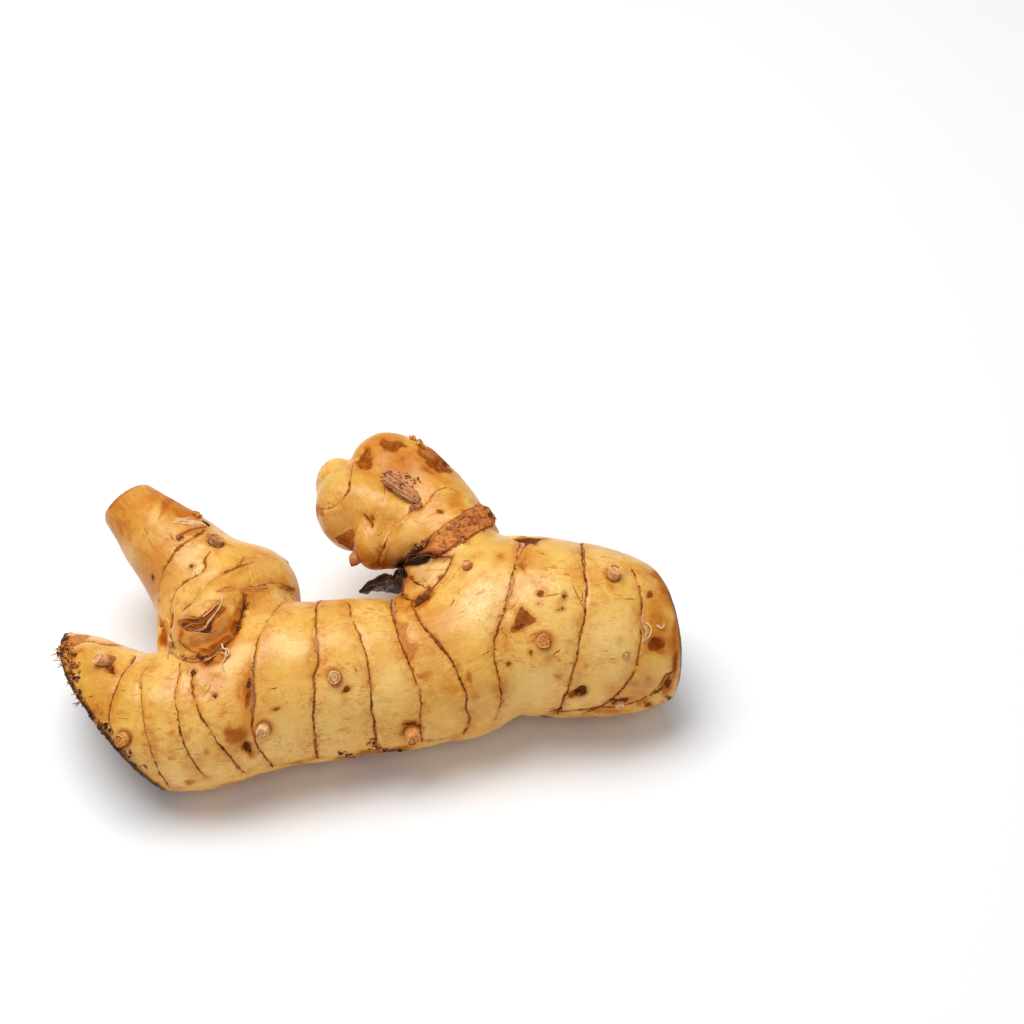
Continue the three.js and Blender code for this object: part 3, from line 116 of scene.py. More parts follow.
    ["r8", 0, 0.2, 0.24, 0.6, [[5.08, -3.22, 26.95, 0.35, 1.0], [5.67, -11.42, 31.22, 0.4, 1.0], [6.73, -15.74, 31.42, 0.4, 1.0], [7.86, -19.58, 30.53, 0.4, 1.0], [9.13, -22.52, 28.98, 0.35, 0.9], [10.54, -24.79, 26.98, 0.3, 0.8], [11.55, -26.54, 24.69, 0.25, 0.8], [11.86, -28.0, 22.06, 0.2, 0.7], [11.6, -29.45, 16.88, 0.2, 0.7], [11.76, -28.61, 10.46, 0.2, 0.6]]],
    ["r8_a", 0, 0.2, 0.24, 0.6, [[10.12, -24.91, 4.12, 0.07, 0.22], [9.77, -23.81, 3.1, 0.23, 0.74], [9.44, -22.61, 2.2, 0.25, 0.8], [9.04, -21.34, 1.42, 0.25, 0.8], [8.59, -20.01, 0.77, 0.26, 0.8], [8.1, -18.63, 0.26, 0.26, 0.8], [7.58, -17.23, -0.1, 0.26, 0.8], [7.06, -15.81, -0.32, 0.26, 0.8], [6.53, -14.38, -0.4, 0.26, 0.8], [6.03, -12.95, -0.33, 0.26, 0.8], [5.55, -11.55, -0.13, 0.26, 0.8], [5.09, -10.17, 0.2, 0.26, 0.8], [4.65, -8.84, 0.66, 0.26, 0.8], [4.23, -7.56, 1.24, 0.26, 0.8], [3.81, -6.34, 1.92, 0.26, 0.8], [3.38, -5.2, 2.72, 0.26, 0.8], [2.97, -4.12, 3.6, 0.26, 0.8], [2.6, -3.13, 4.58, 0.26, 0.8], [2.25, -2.23, 5.65, 0.26, 0.8], [1.98, -1.39, 6.79, 0.26, 0.8], [1.8, -0.66, 8.02, 0.26, 0.8], [1.7, -0.04, 9.32, 0.26, 0.8], [1.69, 0.47, 10.67, 0.26, 0.8], [1.76, 0.87, 12.07, 0.26, 0.8], [1.88, 1.14, 13.51, 0.26, 0.8], [2.04, 1.28, 14.96, 0.26, 0.8], [2.24, 1.28, 16.43, 0.27, 0.8], [2.46, 1.15, 17.89, 0.28, 0.8], [2.77, 0.87, 19.32, 0.29, 0.8], [3.11, 0.49, 20.74, 0.29, 0.8], [3.49, -0.03, 22.1, 0.3, 0.8], [3.93, -0.67, 23.41, 0.31, 0.8], [4.39, -1.42, 24.67, 0.33, 0.8], [4.85, -2.24, 25.87, 0.2, 0.47]]],
    ["r9", 0, 0.22, 0.25, 0.7, [[9.45, -7.97, 30.81, 0.25, 0.5], [10.6, -11.79, 31.62, 0.25, 0.7], [11.91, -15.03, 31.54, 0.25, 0.8], [14.1, -18.1, 30.85, 0.25, 0.8], [16.26, -20.42, 29.77, 0.25, 0.9], [17.99, -22.14, 28.55, 0.25, 1.0], [19.38, -24.18, 26.16, 0.25, 1.0], [20.75, -25.74, 23.15, 0.25, 1.0], [21.06, -26.91, 19.22, 0.25, 1.0], [21.56, -27.09, 16.61, 0.25, 0.8], [20.21, -26.18, 9.77, 0.25, 0.7]]],
    ["r9_a", 0, 0.22, 0.25, 0.7, [[19.31, -22.14, 3.68, 0.16, 0.5], [19.05, -21.09, 2.77, 0.26, 0.8], [18.74, -19.98, 1.98, 0.26, 0.8], [18.37, -18.83, 1.3, 0.26, 0.8], [17.95, -17.65, 0.74, 0.26, 0.8], [17.48, -16.45, 0.3, 0.26, 0.8], [16.98, -15.22, -0.01, 0.26, 0.8], [16.45, -13.98, -0.25, 0.26, 0.8], [15.89, -12.73, -0.38, 0.26, 0.8], [15.32, -11.46, -0.41, 0.26, 0.8], [14.72, -10.18, -0.34, 0.26, 0.8], [14.01, -9.01, -0.13, 0.26, 0.8], [13.5, -7.61, 0.2, 0.26, 0.8], [12.85, -6.34, 0.64, 0.26, 0.8], [12.18, -5.1, 1.23, 0.26, 0.8], [11.5, -3.9, 1.96, 0.26, 0.8], [10.8, -2.76, 2.84, 0.26, 0.8], [10.09, -1.7, 3.87, 0.26, 0.8], [9.49, -0.72, 5.07, 0.26, 0.8], [8.82, 0.14, 6.36, 0.26, 0.8], [8.22, 0.89, 7.77, 0.26, 0.8], [7.65, 1.49, 9.3, 0.26, 0.8], [7.17, 1.94, 10.91, 0.26, 0.8], [6.34, 2.03, 12.54, 0.26, 0.8], [6.5, 2.35, 14.27, 0.26, 0.8], [6.34, 2.35, 15.97, 0.26, 0.8], [6.22, 2.17, 17.64, 0.26, 0.8], [6.18, 1.85, 19.26, 0.26, 0.8], [6.23, 1.39, 20.82, 0.26, 0.8], [6.3, 0.79, 22.28, 0.26, 0.8], [6.43, 0.1, 23.66, 0.26, 0.8], [6.61, -0.56, 24.97, 0.26, 0.8], [6.74, -1.34, 26.23, 0.16, 0.51]]],
    ["r10", 0, 0.24, 0.3, 0.7, [[26.72, -24.9, 12.57, 0.85, 1.0], [27.49, -24.92, 16.09, 0.85, 1.0], [28.18, -24.44, 19.31, 0.8, 1.0], [27.94, -23.6, 22.53, 0.7, 1.0], [27.12, -22.05, 26.0, 0.55, 0.9], [26.71, -20.16, 28.45, 0.4, 1.0], [26.71, -18.48, 29.92, 0.3, 1.0], [27.78, -15.43, 32.13, 0.2, 0.8], [28.88, -11.88, 34.72, 0.15, 0.7], [29.81, -7.95, 36.48, 0.1, 0.8], [30.53, -4.11, 37.19, 0.1, 0.7], [31.36, 0.38, 36.97, 0.1, 0.8], [32.31, 5.61, 35.15, 0.1, 0.9]]],
    ["r10_a", 0, 0.24, 0.3, 0.7, [[34.01, 10.93, 30.99, 0.1, 0.38], [34.41, 11.98, 29.65, 0.22, 0.8], [34.78, 12.95, 28.24, 0.24, 0.8], [35.13, 13.74, 26.71, 0.25, 0.8], [35.46, 14.39, 25.12, 0.25, 0.8], [35.76, 14.88, 23.46, 0.26, 0.8], [36.02, 15.23, 21.76, 0.26, 0.8], [36.23, 15.42, 20.03, 0.26, 0.8], [36.39, 15.47, 18.29, 0.26, 0.8], [36.49, 15.35, 16.54, 0.26, 0.8], [36.55, 15.08, 14.81, 0.26, 0.8], [36.55, 14.65, 13.1, 0.26, 0.8], [36.5, 14.07, 11.45, 0.26, 0.8], [36.42, 13.34, 9.86, 0.26, 0.8], [36.29, 12.47, 8.34, 0.26, 0.8], [36.12, 11.48, 6.91, 0.26, 0.8], [35.93, 10.36, 5.58, 0.26, 0.8], [35.7, 9.1, 4.38, 0.26, 0.8], [35.41, 7.77, 3.27, 0.26, 0.8], [35.11, 6.35, 2.31, 0.26, 0.8], [34.79, 4.85, 1.48, 0.26, 0.8], [34.44, 3.28, 0.79, 0.26, 0.8], [34.06, 1.66, 0.26, 0.26, 0.8], [33.67, -0.0, -0.12, 0.26, 0.8], [33.25, -1.69, -0.33, 0.26, 0.8], [32.82, -3.38, -0.39, 0.26, 0.8], [32.37, -5.07, -0.28, 0.26, 0.8], [31.91, -6.73, -0.01, 0.26, 0.8], [31.45, -8.36, 0.42, 0.26, 0.8], [30.98, -9.94, 1.0, 0.29, 0.8], [30.56, -11.53, 1.56, 0.33, 0.8], [30.12, -13.16, 2.16, 0.38, 0.8], [29.73, -14.84, 2.86, 0.42, 0.8], [29.34, -16.53, 3.71, 0.47, 0.8], [28.94, -18.22, 4.7, 0.53, 0.8], [28.5, -19.89, 5.86, 0.21, 0.28]]],
    ["r11", 0, 0.2, 0.28, 0.5, [[44.95, 8.74, 31.35, 0.3, 0.9], [44.87, -0.47, 36.22, 0.3, 0.9], [45.18, -5.27, 36.44, 0.3, 0.9], [45.52, -9.11, 35.75, 0.3, 0.8], [45.06, -12.68, 34.39, 0.3, 0.9], [44.94, -14.8, 33.1, 0.3, 1.0], [44.02, -17.74, 30.61, 0.3, 0.8], [43.63, -19.76, 28.0, 0.3, 0.7], [42.52, -21.73, 24.1, 0.3, 0.7], [41.76, -22.6, 20.13, 0.3, 0.8], [40.47, -22.41, 14.87, 0.3, 0.9], [39.58, -20.78, 10.08, 0.3, 1.0]]],
    ["r11_a", 0, 0.2, 0.28, 0.5, [[38.12, -16.55, 4.55, 0.13, 0.38], [37.87, -15.2, 3.4, 0.28, 0.8], [37.72, -13.72, 2.41, 0.27, 0.8], [37.6, -12.17, 1.56, 0.27, 0.8], [37.4, -10.54, 0.87, 0.27, 0.8], [37.19, -8.85, 0.34, 0.26, 0.8], [36.91, -7.12, -0.09, 0.26, 0.8], [36.73, -5.37, -0.31, 0.26, 0.8], [36.55, -3.59, -0.38, 0.26, 0.8], [36.44, -1.8, -0.31, 0.26, 0.8], [36.43, -0.03, -0.06, 0.26, 0.8], [36.53, 1.71, 0.37, 0.26, 0.8], [36.71, 3.39, 0.95, 0.26, 0.8], [36.96, 5.01, 1.69, 0.26, 0.8], [37.24, 6.54, 2.58, 0.26, 0.8], [37.54, 7.98, 3.62, 0.26, 0.8], [37.85, 9.31, 4.78, 0.26, 0.8], [38.17, 10.52, 6.07, 0.26, 0.8], [38.52, 11.59, 7.49, 0.26, 0.8], [38.92, 12.52, 8.98, 0.26, 0.8], [39.36, 13.3, 10.55, 0.26, 0.8], [39.85, 13.92, 12.18, 0.26, 0.8], [40.34, 14.34, 13.87, 0.26, 0.8], [40.83, 14.64, 15.58, 0.26, 0.8], [41.34, 14.76, 17.33, 0.26, 0.8], [41.76, 14.7, 19.08, 0.27, 0.8], [42.16, 14.51, 20.83, 0.27, 0.8], [42.52, 14.14, 22.56, 0.27, 0.8], [42.9, 13.58, 24.22, 0.28, 0.8], [43.35, 12.9, 25.83, 0.28, 0.8], [43.82, 12.06, 27.35, 0.29, 0.8], [44.28, 11.05, 28.76, 0.29, 0.8], [44.72, 9.94, 30.1, 0.21, 0.58]]],
    ["r12", 0, 0.18, 0.25, 0.5, [[54.89, -0.01, 33.2, 0.25, 0.6], [56.22, -3.62, 33.1, 0.25, 0.6], [56.68, -6.4, 32.74, 0.25, 0.6], [57.0, -9.89, 31.67, 0.25, 0.7], [56.81, -11.89, 30.83, 0.25, 0.7], [56.93, -14.34, 28.96, 0.25, 0.7], [56.26, -17.77, 25.46, 0.25, 0.6], [55.49, -19.54, 22.52, 0.25, 0.6], [53.88, -20.85, 19.66, 0.25, 0.7], [51.49, -21.59, 16.45, 0.25, 0.8], [49.65, -21.59, 13.91, 0.25, 1.0], [47.75, -21.21, 11.71, 0.25, 1.0], [45.64, -20.4, 9.47, 0.25, 1.0]]],
    ["r12_a", 0, 0.18, 0.25, 0.5, [[44.22, -17.27, 5.11, 0.03, 0.09], [44.11, -16.24, 4.16, 0.16, 0.51], [44.07, -15.07, 3.23, 0.26, 0.8], [44.0, -13.76, 2.34, 0.26, 0.8], [43.93, -12.35, 1.56, 0.26, 0.8], [43.72, -10.86, 0.86, 0.26, 0.8], [43.5, -9.24, 0.32, 0.26, 0.8], [43.25, -7.5, -0.08, 0.26, 0.8], [42.98, -5.66, -0.31, 0.26, 0.8], [42.73, -3.73, -0.4, 0.26, 0.8], [42.47, -1.73, -0.24, 0.26, 0.8], [42.24, 0.3, 0.15, 0.26, 0.8], [42.06, 2.34, 0.74, 0.26, 0.8], [42.27, 4.32, 1.61, 0.26, 0.8], [42.49, 6.19, 2.71, 0.26, 0.8], [42.55, 7.91, 4.0, 0.26, 0.8], [43.34, 9.41, 5.5, 0.26, 0.8], [43.95, 10.71, 7.1, 0.26, 0.8], [44.74, 11.74, 8.8, 0.26, 0.8], [45.53, 12.57, 10.53, 0.26, 0.8], [46.42, 13.13, 12.28, 0.26, 0.8], [46.87, 13.55, 13.99, 0.26, 0.8], [48.18, 13.66, 15.68, 0.26, 0.8], [48.99, 13.63, 17.26, 0.26, 0.8], [49.69, 13.5, 18.78, 0.26, 0.8], [50.35, 13.24, 20.19, 0.26, 0.8], [51.07, 12.79, 21.48, 0.26, 0.8], [51.62, 12.35, 22.7, 0.26, 0.8], [52.09, 11.82, 23.84, 0.26, 0.8], [52.52, 11.23, 24.92, 0.26, 0.8], [52.89, 10.57, 25.94, 0.26, 0.8], [53.22, 9.85, 26.9, 0.26, 0.8], [53.45, 9.07, 27.84, 0.26, 0.8], [53.67, 8.23, 28.72, 0.15, 0.48], [53.85, 7.32, 29.56, 0.01, 0.03]]],
    ["r13", 0, 0.2, 0.25, 0.3, [[63.75, -16.24, 18.14, 0.3, 1.0], [62.37, -17.26, 18.05, 0.3, 1.0], [61.59, -17.93, 16.3, 0.3, 0.8], [59.96, -18.76, 14.41, 0.3, 0.7], [58.07, -19.14, 12.31, 0.3, 0.7], [56.68, -19.16, 10.74, 0.3, 0.8]]],
    ["r0", 0, 0.14, 0.15, 0.3, [[-61.81, -14.22, 22.39, 0.3, 0.5], [-60.13, -11.46, 22.08, 0.3, 0.5], [-57.86, -10.21, 21.63, 0.3, 0.5], [-54.33, -11.48, 22.11, 0.3, 0.5], [-51.26, -10.75, 20.67, 0.3, 0.5]]],
    ["f1", 0, 0.5, 0.5, 0.5, [[-34.56, 12.92, 31.16, 0.3, 0.8], [-35.91, 10.1, 32.07, 0.6, 1.0], [-37.42, 8.34, 32.21, 0.9, 1.0], [-39.0, 7.0, 31.94, 1.0, 1.0], [-40.74, 4.98, 30.92, 1.0, 1.0], [-41.74, 3.62, 29.86, 1.0, 1.0], [-42.58, 2.31, 28.5, 1.0, 1.0], [-43.24, 0.84, 26.7, 1.0, 1.0], [-43.48, -1.16, 25.01, 0.9, 1.0], [-43.42, -3.15, 24.08, 0.8, 1.0], [-43.14, -5.21, 23.24, 0.7, 1.0], [-42.28, -9.11, 24.74, 0.5, 0.9]]],
    ["f2", 0, 0.24, 0.25, 0.3, [[-32.96, 5.06, 31.83, 0.35, 0.6], [-33.6, 4.03, 31.85, 0.35, 0.7], [-33.96, 2.81, 31.76, 0.35, 0.7], [-33.51, 1.21, 31.62, 0.35, 0.7], [-34.31, -0.21, 31.3, 0.35, 0.8], [-36.12, -1.02, 30.65, 0.35, 0.9], [-37.85, -1.7, 29.7, 0.35, 0.9], [-39.45, -2.56, 28.5, 0.35, 0.9], [-40.2, -3.99, 27.43, 0.35, 0.9], [-40.52, -5.42, 26.53, 0.35, 0.9], [-40.49, -6.92, 25.72, 0.35, 0.8]]],
    ["f3", 0, 0.2, 0.25, 0.3, [[-19.72, 8.62, 27.24, 0.4, 0.4], [-22.18, 6.86, 29.36, 0.6, 0.6], [-25.02, 5.14, 30.7, 0.8, 0.8], [-27.16, 1.93, 31.35, 1.0, 0.9], [-28.5, -0.22, 31.4, 1.0, 0.9], [-30.5, -2.02, 31.52, 1.0, 0.8], [-32.17, -3.59, 31.43, 0.9, 0.8], [-33.55, -5.58, 30.91, 0.8, 0.8], [-35.11, -6.49, 29.64, 0.6, 0.9], [-37.61, -7.24, 27.77, 0.4, 0.9]]],
    ["f3b", 0, 0.2, 0.1, 0.2, [[-23.34, 3.61, 30.32, 0.16, 0.4], [-26.24, 1.38, 31.14, 0.16, 0.8], [-28.05, -0.15, 31.36, 0.16, 1.0], [-29.91, -1.69, 31.5, 0.16, 0.5]]],
    ["f4", 0, 0.2, 0.25, 0.5, [[-16.04, 0.33, 23.41, 0.5, 0.7], [-16.54, 0.88, 24.36, 0.6, 0.8], [-17.98, 0.75, 26.34, 0.7, 1.0], [-20.2, -0.47, 28.12, 0.7, 0.9], [-21.61, -1.58, 28.82, 0.7, 0.7], [-24.12, -3.03, 29.93, 0.7, 0.6], [-26.06, -4.33, 31.32, 0.6, 0.7], [-28.8, -6.14, 32.82, 0.5, 0.8], [-30.24, -7.08, 32.86, 0.3, 0.6]]],
    ["f5", 0, 0.6, 0.8, 0.7, [[-37.36, -21.11, 29.21, 0.0, 0.6], [-34.02, -23.57, 30.63, 0.1, 0.8], [-30.85, -23.83, 31.36, 0.3, 0.9], [-28.58, -21.64, 31.93, 0.4, 1.0], [-26.72, -19.46, 32.21, 0.45, 1.0], [-25.36, -16.48, 32.09, 0.45, 1.0], [-24.99, -13.67, 31.86, 0.45, 1.0], [-24.63, -9.01, 30.73, 0.35, 0.9], [-25.03, -6.22, 31.04, 0.15, 0.7]]],
    ["f7", 0, 0.16, 0.2, 0.0, [[-37.19, -18.81, 31.18, 0.25, 0.4], [-35.72, -20.21, 30.33, 0.25, 0.6], [-33.27, -22.15, 30.84, 0.25, 0.6], [-30.86, -23.7, 31.37, 0.25, 0.7], [-29.24, -23.56, 31.67, 0.25, 0.5]]],
    ["f5b", 0, 0.22, 0.22, 0, [[-28.78, -9.67, 33.24, 0.0, 0.5], [-30.47, -11.2, 34.59, 0.3, 0.8], [-32.4, -12.1, 34.81, 0.45, 0.9], [-34.36, -13.2, 34.51, 0.5, 0.9], [-35.91, -14.67, 33.85, 0.4, 0.9], [-37.71, -14.5, 32.16, 0.2, 0.6]]],
    ["f5c", 0, 0.18, 0.15, 0.6, [[-28.86, -9.76, 33.34, 0.35, 0.7], [-29.49, -14.83, 35.23, 0.35, 0.8], [-31.12, -17.71, 34.49, 0.35, 0.9], [-32.72, -18.52, 33.87, 0.35, 1.0], [-34.8, -18.48, 33.23, 0.35, 0.9]]],
    ["f6", 0, 0.24, 0.25, 0, [[-38.37, -19.12, 29.11, 0.1, 0.9], [-38.93, -17.75, 30.01, 0.1, 0.8], [-40.36, -8.71, 24.6, 0.1, 0.8], [-39.94, -7.05, 26.16, 0.1, 0.9]]],
    ["k1", 0, 0.16, 0.25, 0.1, [[-3.78, 32.75, 34.35, 0.45, 0.3], [-4.04, 25.96, 36.37, 0.45, 0.5], [-4.19, 21.4, 37.23, 0.45, 0.6], [-4.57, 18.48, 36.53, 0.45, 0.8], [-5.76, 17.14, 35.48, 0.45, 0.9], [-7.28, 16.62, 34.31, 0.45, 0.8], [-8.61, 16.79, 33.28, 0.45, 0.7], [-10.48, 18.23, 31.69, 0.45, 0.6]]],
    ["k2", 0, 0.2, 0.3, 0.2, [[18.75, 19.49, 35.54, 0.2, 0.3], [17.38, 19.92, 36.01, 0.4, 0.7], [15.58, 19.56, 36.36, 0.5, 0.8], [13.85, 18.44, 36.27, 0.6, 0.8], [12.41, 16.0, 35.71, 0.8, 0.9], [10.67, 14.1, 35.22, 1.0, 0.8], [8.0, 13.09, 34.45, 1.2, 0.8], [5.93, 11.95, 33.14, 1.2, 0.8], [4.45, 10.64, 31.52, 1.2, 0.7], [3.01, 8.44, 30.36, 1.1, 0.8], [2.09, 6.83, 27.87, 0.9, 0.9], [2.45, 7.52, 24.71, 0.5, 0.9]]],
    ["k3", 0, 0.12, 0.12, 0.0, [[3.28, 19.99, 36.83, 0.16, 0.4], [3.26, 17.48, 36.62, 0.16, 0.4], [2.95, 15.53, 35.88, 0.16, 0.3], [2.07, 14.13, 34.59, 0.16, 0.3], [0.99, 12.87, 33.46, 0.16, 0.4]]],
    ["k4", 0, 0.2, 0.25, 0.0, [[-0.94, 14.17, 33.96, 0.1, 0.5], [-0.01, 13.22, 33.54, 0.1, 1.0], [0.76, 12.25, 33.19, 0.1, 1.0], [0.84, 10.91, 32.75, 0.1, 0.4]]],
    ["k5", 0, 0.16, 0.25, 0.1, [[-2.54, 12.43, 31.81, 0.4, 0.8], [-2.99, 10.76, 29.59, 0.4, 0.7], [-2.8, 9.54, 27.96, 0.4, 0.6], [-1.48, 7.64, 27.03, 0.4, 0.7]]],
    ["k5b", 0, 0.1, 0.12, 0.0, [[-0.06, 8.11, 31.1, 0.25, 0.1], [0.13, 9.61, 32.27, 0.25, 0.3], [-0.55, 11.27, 32.68, 0.25, 0.3], [-1.56, 12.4, 32.59, 0.25, 0.3], [-2.54, 12.43, 31.81, 0.25, 0.4]]],
    ["k6", 0, 0.12, 0.12, 0.0, [[6.26, 27.41, 37.95, 0.35, 0.2], [4.72, 28.76, 38.14, 0.35, 0.3], [2.76, 29.53, 38.0, 0.35, 0.25], [0.81, 29.55, 37.54, 0.35, 0.3], [-0.01, 27.86, 36.93, 0.35, 0.3], [0.29, 25.55, 36.77, 0.35, 0.15]]],
    ["k7", 0, 0.13, 0.12, 0.1, [[5.73, 30.71, 38.36, 0.25, 0.1], [6.78, 27.89, 38.08, 0.25, 0.3], [7.14, 26.16, 37.67, 0.25, 0.35], [6.33, 24.3, 37.09, 0.25, 0.2]]],
    ["k8", 0, 0.12, 0.1, 0.2, [[9.69, 26.98, 37.77, 0.15, 0.15], [8.4, 27.4, 37.96, 0.15, 0.3], [7.13, 26.63, 37.81, 0.15, 0.3]]],
    ["n3", 0, 0.26, 0.3, 0.2, [[6.49, 10.19, 21.3, 0.05, 1.0], [7.38, -0.09, 29.36, 0.05, 1.0], [7.18, -0.3, 26.85, 0.05, 1.0], [7.52, -4.37, 28.75, 0.05, 0.9]]],
    ["n4", 0, 0.16, 0.1, 0.0, [[7.75, 0.17, 30.9, 0.05, 0.5], [8.86, -1.57, 31.53, 0.05, 0.8], [9.61, -2.57, 31.38, 0.05, 0.9], [9.29, -1.66, 31.92, 0.05, 0.4]]],
    ["n5", 0, 0.2, 0.25, 0.2, [[17.97, 2.11, 34.29, 0.04, 0.7], [16.51, 2.07, 33.88, 0.04, 0.8], [14.64, 2.06, 33.79, 0.04, 0.9], [12.98, 1.99, 33.96, 0.04, 1.0]]],
    ["r14", 0, 0.34, 0.2, 0.3, [[63.12, -16.82, 17.85, 0.1, 0.8], [62.35, -17.53, 15.84, 0.1, 1.0], [60.94, -18.24, 14.29, 0.1, 1.0], [58.67, -19.09, 13.05, 0.1, 1.0], [55.96, -19.87, 12.53, 0.1, 1.0], [52.2, -20.8, 12.51, 0.1, 1.0], [48.46, -21.3, 12.3, 0.1, 0.9], [43.49, -21.42, 11.64, 0.1, 0.9], [38.53, -21.07, 10.74, 0.1, 0.6]]],
    ["n1", 0, 0.19, 0.3, 0.3, [[17.77, 1.89, 34.22, 0.08, 0.9], [17.18, -0.41, 33.91, 0.08, 0.8], [16.37, -1.99, 33.47, 0.08, 0.8], [14.95, -3.78, 32.66, 0.08, 0.8], [13.73, -5.11, 31.97, 0.08, 0.9], [12.73, -6.59, 31.74, 0.08, 1.0], [11.51, -7.73, 31.46, 0.08, 1.0]]],
    ["n2", 0, 0.2, 0.2, 0.2, [[7.6, -3.99, 28.66, 0.2, 0.9], [8.76, -6.49, 30.12, 0.2, 0.9], [10.05, -7.42, 30.82, 0.2, 0.9], [11.52, -7.91, 31.49, 0.2, 1.0]]],
]
# Short scratches.
SCRATCHES = [
    [[42.54, -8.19, 36.44], [43.46, -10.28, 35.69], [44.66, -12.46, 34.55]],
    [[53.54, -9.51, 33.37], [55.5, -8.89, 32.7]],
    [[35.5, 0.5, 37.14], [36.88, -0.49, 37.27]],
    [[-18.37, -29.87, 28.56], [-16.99, -29.42, 28.64]],
    [[-17.99, -32.48, 25.62], [-16.42, -31.94, 25.76]],
    [[-48.41, -32.9, 23.34], [-46.69, -33.46, 23.85]],
    [[-55.38, -27.05, 23.12], [-54.52, -27.11, 23.5]],
    [[36.12, -11.31, 35.9], [37.95, -11.08, 35.96], [39.37, -10.71, 36.0]],
    [[-1.57, -24.45, 29.65], [-1.16, -25.22, 29.0]],
    [[-3.63, -31.53, 21.56], [-2.45, -31.3, 21.28]],
    [[24.31, -20.8, 28.86], [25.96, -19.8, 29.11]],
    [[27.18, -20.89, 27.44], [28.8, -20.79, 26.41], [29.61, -21.15, 25.29]],
    [[27.78, -13.99, 33.11], [30.22, -12.79, 34.51], [31.65, -11.31, 35.6]],
    [[28.39, -16.59, 31.14], [29.0, -17.14, 30.55]],
    [[9.39, 11.84, 34.51], [10.25, 11.22, 34.53]],
    [[13.77, 14.73, 35.79], [15.04, 14.87, 35.94]],
    [[1.41, 7.69, 30.62], [2.22, 7.56, 29.85]],
    [[2.01, 9.86, 32.02], [2.61, 10.7, 32.06]],
    [[31.04, -4.71, 37.22], [32.07, -2.86, 37.37], [33.1, -1.13, 37.35]],
    [[44.26, -22.18, 14.29], [46.71, -22.19, 15.25]],
    [[34.88, -17.31, 31.64], [33.67, -17.8, 30.97]],
    [[39.96, -19.49, 28.92], [38.54, -20.09, 28.06], [39.97, -20.59, 27.1]],
    [[17.78, -11.26, 33.45], [18.38, -10.12, 33.73]],
    [[-43.97, 15.69, 33.03], [-44.64, 13.79, 32.83]],
    [[-41.16, 19.89, 31.25], [-39.53, 16.86, 31.86]],
    [[-46.32, 9.78, 30.89], [-45.36, 8.02, 30.29]],
    [[-41.8, 10.18, 32.28], [-40.81, 8.43, 31.97]],
    [[-47.56, 12.26, 31.68], [-46.83, 11.06, 31.4]],
]
# Cut roots: place, radius, length, kind, lean.
ROOTS = [
    [[-5.41, -26.8, 28.89], 1.26, 1.3, "pale", [-0.25, -0.07, -0.07]],
    [[-19.55, -34.78, 22.47], 1.26, 1.8, "pale", [-0.5, -0.25, -0.25]],
    [[9.75, -29.93, 15.56], 1.63, 2.2, "tan", [0.0, -0.25, -0.25]],
    [[50.9, -4.71, 35.15], 1.31, 1.8, "pink", [0.0, 0.21, 0.21]],
    [[36.63, -18.41, 30.44], 1.36, 1.2, "tan", [0.0, 0.07, 0.07]],
    [[53.6, -18.62, 26.1], 0.53, 0.5, "pale", [0.0, 0.0, 0.0]],
    [[52.46, -21.05, 13.75], 0.91, 0.8, "pale", [-0.1, -0.18, -0.18]],
    [[-52.65, -19.25, 24.98], 1.18, 2.6, "pale", [-1.0, -0.64, -0.64]],
    [[-47.36, -35.88, 20.83], 1.28, 1.8, "tan", [-0.3, -0.07, -0.07]],
    [[-32.18, 8.57, 31.38], 1.51, 1.1, "grey", [0.0, 0.07, 0.07]],
    [[21.09, -2.16, 35.27], 0.87, 1.2, "pink", [-0.1, 0.21, 0.21]],
    [[-33.69, -26.68, 30.36], 0.52, 0.5, "dark", [0.0, 0.0, 0.0]],
]
